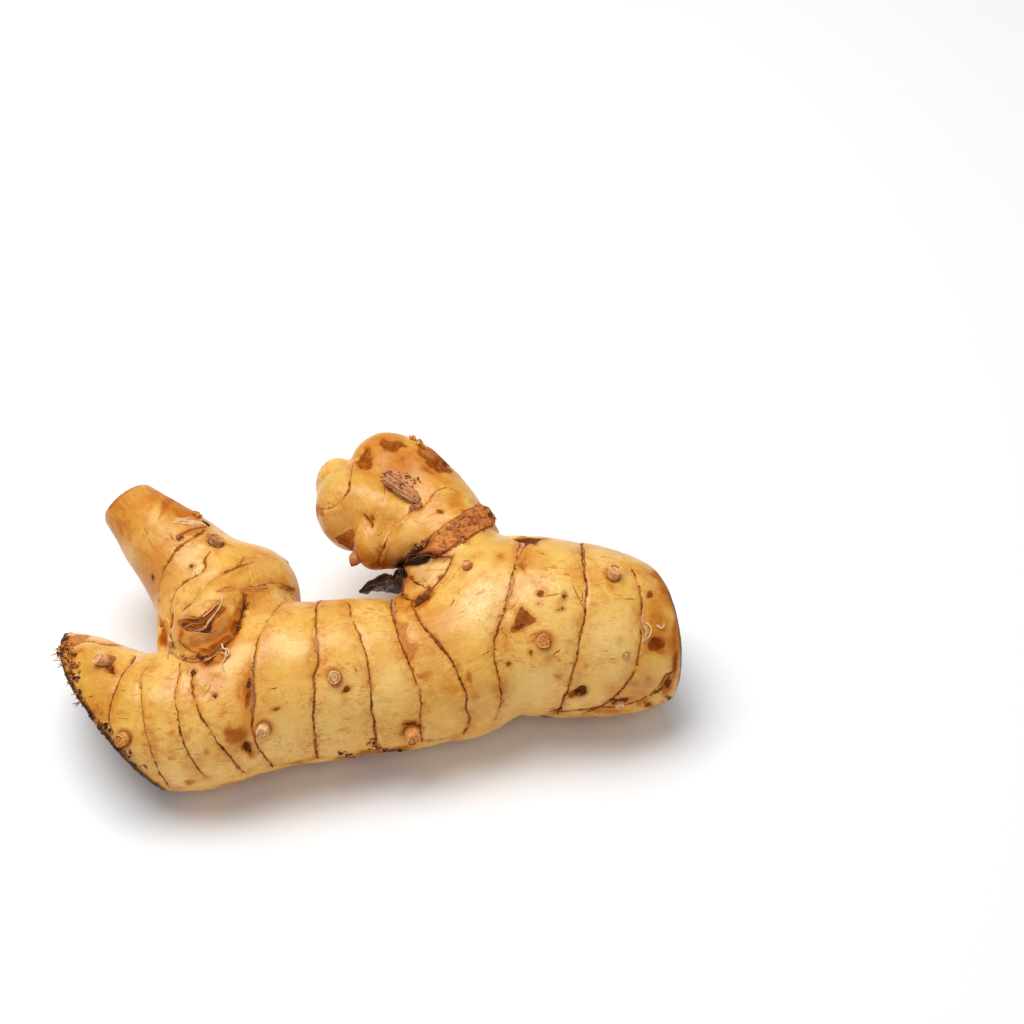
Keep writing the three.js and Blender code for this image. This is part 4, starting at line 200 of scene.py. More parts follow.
# Spots, pits and scabs: place, two directions, two radii, kind, depth. The thin strips marked below that run along the
# lower edge are painted shade, and the dark spots marked beside two roots are painted shadow.
SPOTS = [
    [[-24.82, -36.67, 22.09], [0.819, -0.406, -0.406], [0.574, 0.579, 0.579], 2.6, 2.2, "orange", 0],
    [[-26.43, -35.97, 24.05], [1.0, 0.0, 0.0], [0.0, 0.707, 0.707], 1.2, 1.0, "orange", 0],
    [[-22.76, -37.01, 18.97], [0.906, 0.299, 0.299], [-0.423, 0.641, 0.641], 0.64, 1.44, "dark", 0.7],
    [[-27.57, -34.2, 26.58], [1.0, 0.0, 0.0], [0.0, 0.707, 0.707], 0.8, 1.2, "orange", 0],
    [[-22.29, -31.33, 28.12], [0.99, -0.098, -0.098], [0.139, 0.7, 0.7], 0.84, 2.4, "brownsoft", 0],
    [[-23.15, -28.11, 30.48], [0.99, -0.098, -0.098], [0.139, 0.7, 0.7], 1.0, 1.8, "orange", 0],
    [[-34.33, -37.36, 23.55], [0.978, -0.147, -0.147], [0.208, 0.692, 0.692], 0.72, 1.59, "orange", 0],
    [[-41.72, -32.04, 26.79], [0.985, -0.123, -0.123], [0.174, 0.696, 0.696], 1.2, 0.32, "orange", 0],
    [[-30.92, -39.02, 19.94], [1.0, 0.0, 0.0], [0.0, 0.707, 0.707], 0.8, 1.0, "orange", 0],
    [[-38.0, -39.08, 8.85], [1.0, 0.0, 0.0], [0.0, 0.707, 0.707], 1.62, 0.71, "orange", 0],
    [[-2.99, -28.31, 26.75], [0.819, 0.406, 0.406], [-0.574, 0.579, 0.579], 0.92, 0.64, "brown", 0.5],
    [[-16.92, -32.29, 25.46], [0.94, 0.242, 0.242], [-0.342, 0.664, 0.664], 0.72, 0.3, "brown", 0.2],
    [[-29.0, -31.58, 28.8], [1.0, 0.0, 0.0], [0.0, 0.707, 0.707], 0.4, 0.44, "dark", 0.4],
    [[13.04, -24.19, 26.91], [0.99, 0.098, 0.098], [-0.139, 0.7, 0.7], 1.82, 0.85, "orange", 0],
    [[12.63, -26.55, 24.25], [1.0, 0.0, 0.0], [0.0, 0.707, 0.707], 1.21, 0.81, "orange", 0],
    [[21.21, -24.2, 25.69], [0.985, -0.123, -0.123], [0.174, 0.696, 0.696], 0.61, 1.82, "brownsoft", 0],
    [[22.91, -25.71, 21.87], [1.0, 0.0, 0.0], [0.0, 0.707, 0.707], 1.06, 1.32, "orange", 0],
    [[19.08, -25.63, 23.65], [1.0, 0.0, 0.0], [0.0, 0.707, 0.707], 1.22, 0.61, "orange", 0],
    [[10.0, -20.82, 29.8], [0.94, -0.242, -0.242], [0.342, 0.664, 0.664], 0.71, 2.43, "pinkscar", 0],
    [[8.08, -16.21, 31.33], [0.927, -0.265, -0.265], [0.375, 0.656, 0.656], 0.61, 1.83, "pinkscar", 0],
    [[11.64, -24.66, 26.83], [0.985, -0.123, -0.123], [0.174, 0.696, 0.696], 1.01, 0.61, "pinkscar", 0],
    [[9.81, -29.86, 14.2], [1.0, 0.0, 0.0], [0.0, 0.707, 0.707], 1.84, 2.04, "orange", 0],
    [[31.03, -16.32, 32.05], [0.94, 0.242, 0.242], [-0.342, 0.664, 0.664], 1.22, 0.81, "brown", 0.05],
    [[35.98, -10.78, 36.13], [0.985, -0.123, -0.123], [0.174, 0.696, 0.696], 0.81, 0.65, "brown", 0.2],
    [[35.7, -12.55, 35.29], [1.0, 0.0, 0.0], [0.0, 0.707, 0.707], 0.41, 0.41, "brown", 0.1],
    [[40.9, -10.92, 35.78], [1.0, 0.0, 0.0], [0.0, 0.707, 0.707], 0.45, 0.65, "dark", 0.2],
    [[39.97, -12.17, 35.33], [1.0, 0.0, 0.0], [0.0, 0.707, 0.707], 1.02, 0.81, "orange", 0],
    [[40.47, -13.37, 34.6], [1.0, 0.0, 0.0], [0.0, 0.707, 0.707], 0.32, 0.26, "dark", 0.1],
    [[39.56, -13.61, 34.56], [1.0, 0.0, 0.0], [0.0, 0.707, 0.707], 0.37, 0.28, "brown", 0.1],
    [[34.0, -19.71, 28.4], [0.94, 0.242, 0.242], [-0.342, 0.664, 0.664], 0.47, 0.65, "brown", 0.1],
    [[29.61, -20.71, 26.01], [1.0, 0.0, 0.0], [0.0, 0.707, 0.707], 0.53, 0.49, "brown", 0.1],
    [[40.0, -22.1, 23.22], [1.0, 0.0, 0.0], [0.0, 0.707, 0.707], 0.86, 0.53, "orangedeep", 0],
    [[45.28, -20.92, 25.48], [1.0, 0.0, 0.0], [0.0, 0.707, 0.707], 0.73, 0.61, "orange", 0],
    [[44.31, -22.49, 19.54], [0.951, 0.219, 0.219], [-0.309, 0.672, 0.672], 1.54, 1.02, "dark", 0.7],
    [[42.73, -22.64, 18.61], [0.94, 0.242, 0.242], [-0.342, 0.664, 0.664], 1.23, 0.61, "brown", 0.3],
    [[58.7, -6.58, 31.58], [0.866, -0.354, -0.354], [0.5, 0.612, 0.612], 0.74, 0.82, "brown", 0.25],
    [[60.02, -15.15, 25.75], [1.0, 0.0, 0.0], [0.0, 0.707, 0.707], 1.76, 1.64, "rust", 0.3],
    [[59.53, -14.34, 27.13], [1.0, 0.0, 0.0], [0.0, 0.707, 0.707], 1.23, 1.02, "orange", 0],
    [[61.04, -11.91, 27.81], [1.0, 0.0, 0.0], [0.0, 0.707, 0.707], 1.85, 1.85, "orange", 0],
    [[61.47, -15.48, 23.81], [1.0, 0.0, 0.0], [0.0, 0.707, 0.707], 1.23, 1.23, "orange", 0],
    [[60.84, -11.1, 28.45], [1.0, 0.0, 0.0], [0.0, 0.707, 0.707], 1.44, 1.23, "orange", 0],
    [[32.68, -2.93, 37.44], [0.819, -0.406, -0.406], [0.574, 0.579, 0.579], 1.85, 2.87, "orange", 0],
    [[33.28, -7.62, 37.03], [0.906, 0.299, 0.299], [-0.423, 0.641, 0.641], 2.24, 1.22, "orangesoft", 0],
    [[36.53, -9.89, 36.47], [1.0, 0.0, 0.0], [0.0, 0.707, 0.707], 1.63, 1.22, "orange", 0],
    [[32.31, 6.22, 34.83], [1.0, 0.0, 0.0], [0.0, 0.707, 0.707], 1.25, 0.63, "pinkbrown", 0],
    [[32.49, -0.06, 37.13], [1.0, 0.0, 0.0], [0.0, 0.707, 0.707], 2.06, 1.65, "orangesoft", 0],
    [[52.31, -21.27, 14.96], [0.996, 0.062, 0.062], [-0.087, 0.704, 0.704], 2.06, 0.62, "dark", 0.2],
    [[37.53, -20.39, 27.48], [1.0, 0.0, 0.0], [0.0, 0.707, 0.707], 1.02, 0.81, "orange", 0],
    [[41.38, -18.71, 29.86], [1.0, 0.0, 0.0], [0.0, 0.707, 0.707], 1.22, 1.01, "orangesoft", 0],
    [[48.97, -10.77, 34.42], [1.0, 0.0, 0.0], [0.0, 0.707, 0.707], 1.02, 0.82, "orangesoft", 0],
    [[26.72, -1.92, 36.38], [1.0, 0.0, 0.0], [0.0, 0.707, 0.707], 1.24, 1.65, "olive", 0],
    [[28.55, 6.39, 34.36], [1.0, 0.0, 0.0], [0.0, 0.707, 0.707], 1.46, 1.04, "olive", 0],
    [[21.53, 0.62, 35.23], [1.0, 0.0, 0.0], [0.0, 0.707, 0.707], 1.03, 1.03, "olive", 0],
    # painted shade: the next six thin strips run along the lower and right edges, just above the floor
    [[39.78, -21.14, 10.82], [0.999, -0.037, -0.037], [0.052, 0.706, 0.706], 2.49, 0.52, "darksoft", 0],
    [[48.49, -20.94, 11.23], [0.999, -0.037, -0.037], [0.052, 0.706, 0.706], 4.57, 0.52, "darksoft", 0],
    [[37.13, -19.07, 7.41], [1.0, 0.0, 0.0], [0.0, 0.707, 0.707], 1.26, 0.42, "dark", 0.1],
    [[63.47, -15.19, 8.65], [0.766, -0.455, -0.455], [0.643, 0.542, 0.542], 1.68, 0.46, "dark", 0],
    [[59.6, -16.79, 7.95], [0.985, -0.123, -0.123], [0.174, 0.696, 0.696], 2.94, 0.63, "darksoft", 0],
    [[64.35, -15.31, 19.57], [1.0, 0.0, 0.0], [0.0, 0.707, 0.707], 0.62, 3.72, "darksoft", 0],
    [[58.59, -18.44, 10.54], [1.0, 0.0, 0.0], [0.0, 0.707, 0.707], 0.83, 0.63, "brown", 0],
    [[57.98, -19.32, 19.78], [1.0, 0.0, 0.0], [0.0, 0.707, 0.707], 1.03, 0.82, "brownsoft", 0],
    [[55.28, -20.42, 19.48], [0.866, -0.354, -0.354], [0.5, 0.612, 0.612], 1.44, 1.03, "brownsoft", 0],
    [[-1.22, 28.33, 36.63], [0.914, -0.288, -0.288], [0.407, 0.646, 0.646], 1.93, 2.79, "redsoft", 0.15],
    [[-0.81, 26.3, 36.65], [0.94, 0.242, 0.242], [-0.342, 0.664, 0.664], 1.5, 1.07, "redsoft", 0.05],
    [[4.33, 30.89, 38.37], [0.988, -0.111, -0.111], [0.156, 0.698, 0.698], 3.22, 1.72, "redsoft", 0.12],
    [[13.16, 28.27, 36.72], [0.883, -0.332, -0.332], [0.469, 0.624, 0.624], 3.0, 2.15, "redsoft", 0.12],
    [[15.01, 26.59, 36.06], [0.819, -0.406, -0.406], [0.574, 0.579, 0.579], 2.57, 1.5, "redsoft", 0.05],
    [[-1.1, 28.15, 36.65], [0.914, -0.288, -0.288], [0.407, 0.646, 0.646], 3.22, 4.08, "orange", 0],
    [[-0.54, 24.95, 36.76], [0.914, -0.288, -0.288], [0.407, 0.646, 0.646], 2.99, 2.14, "orange", 0],
    [[4.23, 30.72, 38.36], [0.988, -0.111, -0.111], [0.156, 0.698, 0.698], 4.73, 2.79, "orange", 0],
    [[13.49, 27.86, 36.63], [0.866, -0.354, -0.354], [0.5, 0.612, 0.612], 5.15, 3.65, "orange", 0],
    [[11.52, 30.16, 37.1], [0.985, -0.123, -0.123], [0.174, 0.696, 0.696], 2.15, 1.29, "redsoft", 0.05],
    [[17.0, 22.78, 35.89], [0.866, -0.354, -0.354], [0.5, 0.612, 0.612], 2.98, 2.13, "orangesoft", 0],
    [[11.32, 35.27, 34.5], [0.94, -0.242, -0.242], [0.342, 0.664, 0.664], 3.48, 1.74, "orange", 0],
    [[18.59, 16.86, 35.75], [0.766, -0.455, -0.455], [0.643, 0.542, 0.542], 2.12, 1.69, "orange", 0],
    [[16.0, 29.15, 34.49], [1.0, 0.0, 0.0], [0.0, 0.707, 0.707], 0.86, 0.65, "dark", 0.15],
    [[12.56, 30.92, 36.38], [0.985, -0.123, -0.123], [0.174, 0.696, 0.696], 1.72, 1.08, "pinkscar", 0],
    [[9.65, 34.56, 36.2], [0.985, -0.123, -0.123], [0.174, 0.696, 0.696], 1.95, 1.52, "orange", -0.2],
    [[2.21, 25.91, 37.02], [1.0, 0.0, 0.0], [0.0, 0.707, 0.707], 1.5, 1.07, "orange", 0],
    [[14.15, 17.09, 36.12], [0.819, -0.406, -0.406], [0.574, 0.579, 0.579], 2.11, 1.27, "pale", 0],
    [[10.38, 14.68, 35.23], [1.0, 0.0, 0.0], [0.0, 0.707, 0.707], 1.27, 1.06, "pinkscar", 0],
    [[15.07, 13.29, 35.73], [0.966, -0.183, -0.183], [0.259, 0.683, 0.683], 0.84, 0.42, "brown", 0],
    [[17.34, 15.72, 35.99], [0.819, -0.406, -0.406], [0.574, 0.579, 0.579], 1.9, 1.06, "orange", 0],
    [[9.87, 1.31, 33.47], [0.978, 0.147, 0.147], [-0.208, 0.692, 0.692], 3.11, 1.12, "black", 0.5],
    [[6.87, 8.04, 24.17], [0.669, 0.525, 0.525], [-0.743, 0.473, 0.473], 1.91, 1.38, "black", 0.6],
    [[10.98, 5.59, 32.48], [0.866, 0.354, 0.354], [-0.5, 0.612, 0.612], 1.67, 0.84, "black", 0.2],
    [[7.39, 0.98, 30.05], [1.0, 0.0, 0.0], [0.0, 0.707, 0.707], 0.83, 1.25, "black", 0.3],
    [[9.17, 3.13, 32.63], [0.866, 0.354, 0.354], [-0.5, 0.612, 0.612], 1.46, 0.63, "black", 0.2],
    [[13.19, 2.01, 33.94], [1.0, 0.0, 0.0], [0.0, 0.707, 0.707], 1.87, 0.54, "black", 0.2],
    [[7.29, -1.66, 27.68], [1.0, 0.0, 0.0], [0.0, 0.707, 0.707], 0.63, 1.88, "brown", 0],
    [[7.84, -4.61, 29.02], [0.94, -0.242, -0.242], [0.342, 0.664, 0.664], 1.04, 0.62, "brown", 0],
    [[12.91, -5.66, 31.65], [0.707, 0.5, 0.5], [-0.707, 0.5, 0.5], 1.24, 0.7, "brown", 0.1],
    [[11.7, -7.14, 31.42], [0.866, 0.354, 0.354], [-0.5, 0.612, 0.612], 1.03, 0.54, "dark", 0.2],
    [[15.35, -2.95, 32.98], [0.707, 0.5, 0.5], [-0.707, 0.5, 0.5], 0.62, 0.41, "brown", 0.05],
    [[9.51, -2.22, 31.62], [0.866, 0.354, 0.354], [-0.5, 0.612, 0.612], 0.46, 0.7, "brown", 0.1],
    [[5.71, 7.28, 26.79], [0.866, 0.354, 0.354], [-0.5, 0.612, 0.612], 1.9, 1.27, "orangesoft", 0],
    [[4.78, 7.76, 25.07], [0.866, 0.354, 0.354], [-0.5, 0.612, 0.612], 1.27, 1.06, "rustsoft", 0],
    [[7.73, 7.54, 30.78], [0.819, 0.406, 0.406], [-0.574, 0.579, 0.579], 2.1, 1.26, "orangesoft", 0],
    [[11.52, -8.08, 31.53], [0.866, 0.354, 0.354], [-0.5, 0.612, 0.612], 1.85, 0.72, "dark", 0.3],
    [[-32.75, -17.58, 34.49], [0.99, -0.098, -0.098], [0.139, 0.7, 0.7], 2.62, 1.05, "brownsoft", 0.25],
    [[-34.0, -17.28, 34.31], [0.978, -0.147, -0.147], [0.208, 0.692, 0.692], 1.62, 0.73, "brown", 0.2],
    [[-31.5, -18.39, 34.04], [0.995, 0.074, 0.074], [-0.105, 0.703, 0.703], 1.51, 0.73, "brown", 0.25],
    [[-31.9, -18.63, 33.85], [0.995, 0.074, 0.074], [-0.105, 0.703, 0.703], 1.01, 0.4, "dark", 0.3],
    [[-29.95, -17.06, 34.67], [1.0, 0.0, 0.0], [0.0, 0.707, 0.707], 1.21, 1.01, "brownsoft", 0],
    [[-28.31, -14.77, 34.87], [0.766, 0.455, 0.455], [-0.643, 0.542, 0.542], 1.42, 1.01, "brownsoft", 0],
    [[-32.73, -19.86, 32.36], [1.0, 0.0, 0.0], [0.0, 0.707, 0.707], 3.23, 1.82, "brownsoft", 0.05],
    [[-28.38, -17.39, 33.84], [1.0, 0.0, 0.0], [0.0, 0.707, 0.707], 2.42, 2.83, "brownsoft", 0],
    [[-35.35, -15.99, 34.1], [1.0, 0.0, 0.0], [0.0, 0.707, 0.707], 1.01, 0.81, "orange", 0],
    [[-25.95, -12.98, 33.22], [1.0, 0.0, 0.0], [0.0, 0.707, 0.707], 0.81, 1.63, "brownsoft", 0],
    [[-27.62, -17.41, 33.26], [1.0, 0.0, 0.0], [0.0, 0.707, 0.707], 1.82, 1.62, "orangesoft", 0],
    [[-26.48, -17.55, 32.21], [1.0, 0.0, 0.0], [0.0, 0.707, 0.707], 1.42, 1.21, "brownsoft", 0],
    [[-42.0, -11.04, 23.48], [1.0, 0.0, 0.0], [0.0, 0.707, 0.707], 1.03, 3.1, "orangedeep", 0],
    [[-43.28, -5.82, 22.36], [1.0, 0.0, 0.0], [0.0, 0.707, 0.707], 0.63, 1.04, "brownsoft", 0],
    [[-31.97, -22.83, 31.15], [0.985, -0.123, -0.123], [0.174, 0.696, 0.696], 3.62, 1.21, "brownsoft", 0],
    [[-32.25, -26.88, 30.59], [0.985, -0.123, -0.123], [0.174, 0.696, 0.696], 4.0, 2.0, "pinkorange", 0],
    [[-28.72, -28.72, 30.28], [1.0, 0.0, 0.0], [0.0, 0.707, 0.707], 2.6, 2.0, "pinkorange", 0],
    [[-31.44, -24.2, 31.18], [0.94, -0.242, -0.242], [0.342, 0.664, 0.664], 1.81, 0.8, "dark", 0.1],
    [[-36.58, 1.73, 31.22], [0.906, 0.299, 0.299], [-0.423, 0.641, 0.641], 0.52, 0.38, "dark", 0.3],
    [[-45.29, 3.25, 26.2], [0.978, 0.147, 0.147], [-0.208, 0.692, 0.692], 0.32, 0.55, "dark", 0.25],
    [[-37.09, 16.94, 30.72], [0.906, -0.299, -0.299], [0.423, 0.641, 0.641], 1.49, 1.07, "orangedeep", -0.15],
    [[-39.68, 8.93, 32.21], [1.0, 0.0, 0.0], [0.0, 0.707, 0.707], 0.97, 0.67, "pinkbrown", -0.2],
    [[-37.64, 10.77, 32.29], [0.951, 0.219, 0.219], [-0.309, 0.672, 0.672], 2.11, 0.63, "pinkbrown", -0.1],
    [[-42.52, 19.34, 32.09], [0.866, -0.354, -0.354], [0.5, 0.612, 0.612], 2.77, 1.71, "orange", 0],
    [[-42.52, 8.25, 31.55], [0.94, -0.242, -0.242], [0.342, 0.664, 0.664], 1.05, 1.47, "orange", 0],
    [[-39.21, 17.55, 31.47], [0.906, -0.299, -0.299], [0.423, 0.641, 0.641], 2.56, 1.28, "orange", 0],
    [[-46.92, 12.51, 32.02], [1.0, 0.0, 0.0], [0.0, 0.707, 0.707], 0.85, 1.9, "oranges", 0],
    [[-42.71, 10.97, 32.39], [0.966, -0.183, -0.183], [0.259, 0.683, 0.683], 0.46, 1.48, "oranges", 0],
    [[-42.31, 15.9, 32.82], [0.94, -0.242, -0.242], [0.342, 0.664, 0.664], 0.51, 1.7, "orange", 0],
    [[-50.03, 18.4, 32.73], [1.0, 0.0, 0.0], [0.0, 0.707, 0.707], 2.55, 2.55, "orangesoft", 0],
    [[-28.8, -0.07, 31.46], [0.906, 0.299, 0.299], [-0.423, 0.641, 0.641], 1.45, 0.46, "brown", 0],
    [[-23.69, -3.49, 29.64], [1.0, 0.0, 0.0], [0.0, 0.707, 0.707], 2.9, 0.62, "pinkbrown", 0],
    [[-17.04, 1.23, 25.21], [0.906, -0.299, -0.299], [0.423, 0.641, 0.641], 1.47, 0.55, "brown", 0],
    [[-28.36, -6.51, 32.86], [0.99, 0.098, 0.098], [-0.139, 0.7, 0.7], 1.64, 0.7, "pinkbrown", 0],
    [[-18.2, -2.14, 26.37], [0.819, -0.406, -0.406], [0.574, 0.579, 0.579], 2.09, 1.67, "pale", 0],
    [[-32.81, -12.17, 34.74], [0.94, 0.242, 0.242], [-0.342, 0.664, 0.664], 3.25, 1.22, "pale", 0],
    [[-35.54, 0.71, 31.24], [0.866, 0.354, 0.354], [-0.5, 0.612, 0.612], 2.5, 1.87, "pale", 0],
    [[-37.89, 13.27, 32.16], [0.97, -0.171, -0.171], [0.242, 0.686, 0.686], 2.75, 0.85, "pale", -0.05],
    [[-62.72, -13.89, 22.02], [1.0, 0.0, 0.0], [0.0, 0.707, 0.707], 0.83, 1.65, "brown", -0.1],
    [[-60.06, -15.77, 23.2], [1.0, 0.0, 0.0], [0.0, 0.707, 0.707], 0.74, 0.66, "dark", 0.3],
    [[-60.6, -18.09, 23.04], [1.0, 0.0, 0.0], [0.0, 0.707, 0.707], 1.23, 1.64, "brownsoft", -0.2],
    [[-62.83, -9.67, 20.72], [0.866, -0.354, -0.354], [0.5, 0.612, 0.612], 0.62, 1.04, "dark", 0.1],
    [[-58.78, -14.44, 23.26], [1.0, 0.0, 0.0], [0.0, 0.707, 0.707], 1.24, 1.03, "orange", 0],
    [[-55.72, -21.3, 24.52], [1.0, 0.0, 0.0], [0.0, 0.707, 0.707], 1.63, 1.22, "orangesoft", 0],
    [[-57.47, -25.07, 23.0], [0.94, -0.242, -0.242], [0.342, 0.664, 0.664], 1.01, 1.62, "brownsoft", 0],
    [[-52.83, -30.42, 22.42], [0.766, -0.455, -0.455], [0.643, 0.542, 0.542], 2.02, 1.21, "brownsoft", 0],
    [[-45.94, -38.25, 16.8], [0.766, 0.455, 0.455], [-0.643, 0.542, 0.542], 1.21, 3.22, "brownsoft", 0],
    [[-50.18, -34.48, 20.4], [1.0, 0.0, 0.0], [0.0, 0.707, 0.707], 1.61, 1.0, "brownsoft", 0],
    [[-54.19, -29.01, 22.62], [0.94, 0.242, 0.242], [-0.342, 0.664, 0.664], 1.41, 2.42, "orange", 0],
    [[-50.7, -29.9, 23.98], [1.0, 0.0, 0.0], [0.0, 0.707, 0.707], 0.81, 1.61, "orange", 0],
    [[-48.23, -32.07, 24.06], [1.0, 0.0, 0.0], [0.0, 0.707, 0.707], 2.01, 0.6, "orange", 0],
    [[-42.47, -33.93, 25.34], [1.0, 0.0, 0.0], [0.0, 0.707, 0.707], 1.0, 0.6, "orange", 0],
    [[-37.54, -36.99, 23.73], [0.966, 0.183, 0.183], [-0.259, 0.683, 0.683], 1.0, 0.5, "orange", 0],
    [[-24.06, -31.5, 28.31], [1.0, 0.0, 0.0], [0.0, 0.707, 0.707], 0.6, 0.8, "orange", 0],
    [[-40.13, -38.78, 19.96], [1.0, 0.0, 0.0], [0.0, 0.707, 0.707], 1.6, 1.2, "orangesoft", 0],
    [[-60.63, -9.96, 21.35], [0.94, 0.242, 0.242], [-0.342, 0.664, 0.664], 2.49, 1.04, "pinkbrown", 0],
    # painted shade: the next three thin strips run along the lower edge, just above the floor
    [[1.07, -27.35, 5.32], [0.996, 0.062, 0.062], [-0.087, 0.704, 0.704], 6.22, 0.83, "darksoft", 0],
    [[6.05, -28.29, 7.49], [0.999, 0.037, 0.037], [-0.052, 0.706, 0.706], 2.48, 0.62, "dark", 0.05],
    [[-4.07, -30.93, 9.09], [0.996, 0.062, 0.062], [-0.087, 0.704, 0.704], 1.85, 0.62, "darksoft", 0],
    [[2.36, -30.39, 11.33], [1.0, 0.0, 0.0], [0.0, 0.707, 0.707], 1.02, 0.82, "pinkbrown", 0],
    [[-32.95, -17.65, 34.42], [0.99, -0.098, -0.098], [0.139, 0.7, 0.7], 2.22, 0.73, "redbrown", 0.15],
    [[-30.36, -16.73, 34.91], [0.94, 0.242, 0.242], [-0.342, 0.664, 0.664], 1.21, 0.53, "redbrown", 0.1],
    [[-35.26, -17.48, 33.63], [0.94, -0.242, -0.242], [0.342, 0.664, 0.664], 1.01, 0.61, "redbrown", 0.1],
    [[-31.5, -18.7, 33.77], [0.996, -0.062, -0.062], [0.087, 0.704, 0.704], 1.61, 0.44, "dark", 0.2],
    [[-36.53, -18.17, 32.29], [0.985, -0.123, -0.123], [0.174, 0.696, 0.696], 0.81, 1.62, "rust", 0],
    [[-27.34, -21.81, 32.12], [0.819, 0.406, 0.406], [-0.574, 0.579, 0.579], 1.81, 1.41, "rust", 0],
    [[-29.55, -24.92, 31.39], [0.985, 0.123, 0.123], [-0.174, 0.696, 0.696], 2.01, 0.8, "rust", 0],
    [[-25.58, -9.16, 31.48], [0.985, -0.123, -0.123], [0.174, 0.696, 0.696], 0.82, 1.64, "rust", 0],
    [[-33.18, -20.47, 31.22], [1.0, 0.0, 0.0], [0.0, 0.707, 0.707], 4.44, 2.42, "rustsoft", 0],
    [[-30.72, -7.81, 32.75], [0.985, 0.123, 0.123], [-0.174, 0.696, 0.696], 2.87, 0.82, "pale", 0],
    [[-32.11, -12.78, 35.09], [0.966, 0.183, 0.183], [-0.259, 0.683, 0.683], 2.84, 1.22, "pale", 0],
    [[9.72, -29.67, 18.41], [1.0, 0.0, 0.0], [0.0, 0.707, 0.707], 1.83, 0.81, "rust", 0],
    [[9.71, -29.76, 17.88], [1.0, 0.0, 0.0], [0.0, 0.707, 0.707], 1.22, 0.45, "dark", 0.2],
    [[-5.5, -27.97, 27.88], [1.0, 0.0, 0.0], [0.0, 0.707, 0.707], 1.61, 1.0, "orangesoft", 0],
    [[50.9, -7.28, 34.88], [1.0, 0.0, 0.0], [0.0, 0.707, 0.707], 1.64, 1.02, "orange", 0],
    # painted shadow: the dark spot on the lower side of the cut root beside it
    [[-51.56, -21.18, 25.31], [0.788, -0.435, -0.435], [0.616, 0.557, 0.557], 1.42, 0.69, "dark", 0.1],
    [[-52.65, -19.25, 24.98], [0.866, -0.354, -0.354], [0.5, 0.612, 0.612], 2.45, 1.84, "rust", 0],
    # painted shadow: the dark spot below a cut root
    [[-48.97, -36.2, 18.71], [0.766, 0.455, 0.455], [-0.643, 0.542, 0.542], 1.0, 1.41, "dark", 0.1],
    [[-32.08, 6.71, 31.63], [1.0, 0.0, 0.0], [0.0, 0.707, 0.707], 2.31, 1.89, "orangesoft", 0],
    [[-34.02, 5.26, 31.93], [0.866, 0.354, 0.354], [-0.5, 0.612, 0.612], 1.46, 0.84, "rustsoft", 0],
    [[6.24, 28.15, 38.13], [1.0, 0.0, 0.0], [0.0, 0.707, 0.707], 3.0, 2.14, "rustsoft", 0],
    [[8.46, 24.9, 37.4], [0.866, -0.354, -0.354], [0.5, 0.612, 0.612], 2.13, 1.71, "orange", 0],
    [[18.55, -7.65, 34.08], [1.0, 0.0, 0.0], [0.0, 0.707, 0.707], 1.23, 0.82, "orangesoft", 0],
    [[20.14, -3.68, 34.96], [1.0, 0.0, 0.0], [0.0, 0.707, 0.707], 1.03, 1.44, "orange", 0],
    [[24.69, -5.13, 35.88], [0.94, -0.242, -0.242], [0.342, 0.664, 0.664], 1.23, 1.03, "orangesoft", 0],
    [[23.19, 0.59, 35.56], [0.94, 0.242, 0.242], [-0.342, 0.664, 0.664], 1.65, 1.03, "orange", 0],
    [[27.75, -0.31, 36.49], [0.985, -0.123, -0.123], [0.174, 0.696, 0.696], 1.65, 1.03, "orange", 0],
    [[-26.01, -8.46, 31.94], [0.985, 0.123, 0.123], [-0.174, 0.696, 0.696], 2.87, 1.23, "rustsoft", 0],
    [[-28.03, -23.46, 31.86], [0.866, 0.354, 0.354], [-0.5, 0.612, 0.612], 1.61, 1.61, "rust", 0],
    [[-31.4, -24.69, 31.13], [0.996, -0.062, -0.062], [0.087, 0.704, 0.704], 2.41, 1.0, "rust", 0],
    [[52.21, -16.93, 29.1], [1.0, 0.0, 0.0], [0.0, 0.707, 0.707], 1.22, 1.02, "orangesoft", 0],
    [[48.13, -20.21, 26.06], [1.0, 0.0, 0.0], [0.0, 0.707, 0.707], 1.02, 0.81, "orangesoft", 0],
    [[56.39, -17.74, 25.42], [0.985, -0.123, -0.123], [0.174, 0.696, 0.696], 0.82, 2.04, "orangesoft", 0],
    [[40.56, -16.08, 32.69], [0.996, -0.062, -0.062], [0.087, 0.704, 0.704], 0.81, 2.03, "orangesoft", 0],
    [[15.49, -28.31, 14.26], [1.0, 0.0, 0.0], [0.0, 0.707, 0.707], 2.86, 1.64, "orangesoft", 0],
    [[18.44, -26.12, 9.06], [0.985, 0.123, 0.123], [-0.174, 0.696, 0.696], 1.65, 1.03, "orange", 0],
    [[21.61, -27.01, 14.29], [0.94, -0.242, -0.242], [0.342, 0.664, 0.664], 1.02, 2.05, "orangesoft", 0],
    [[-3.35, -29.61, 25.19], [1.0, 0.0, 0.0], [0.0, 0.707, 0.707], 1.01, 1.21, "orangesoft", 0],
    # painted shade: a thin rust-brown strip along the lower edge, just above the floor
    [[-14.04, -31.39, 6.8], [0.99, 0.098, 0.098], [-0.139, 0.7, 0.7], 6.18, 1.03, "rustsoft", 0],
    [[60.74, -6.83, 30.19], [1.0, 0.0, 0.0], [0.0, 0.707, 0.707], 2.47, 2.06, "orangesoft", 0],
    # the next two rust marks, where the bud by the finger meets the limb, are partly its own pinkish brown and partly
    # painted crevice shade
    [[-29.48, -20.69, 31.77], [0.906, 0.299, 0.299], [-0.423, 0.641, 0.641], 2.82, 1.82, "rust", 0],
    [[-26.87, -17.33, 32.56], [0.94, -0.242, -0.242], [0.342, 0.664, 0.664], 1.62, 3.24, "rust", 0],
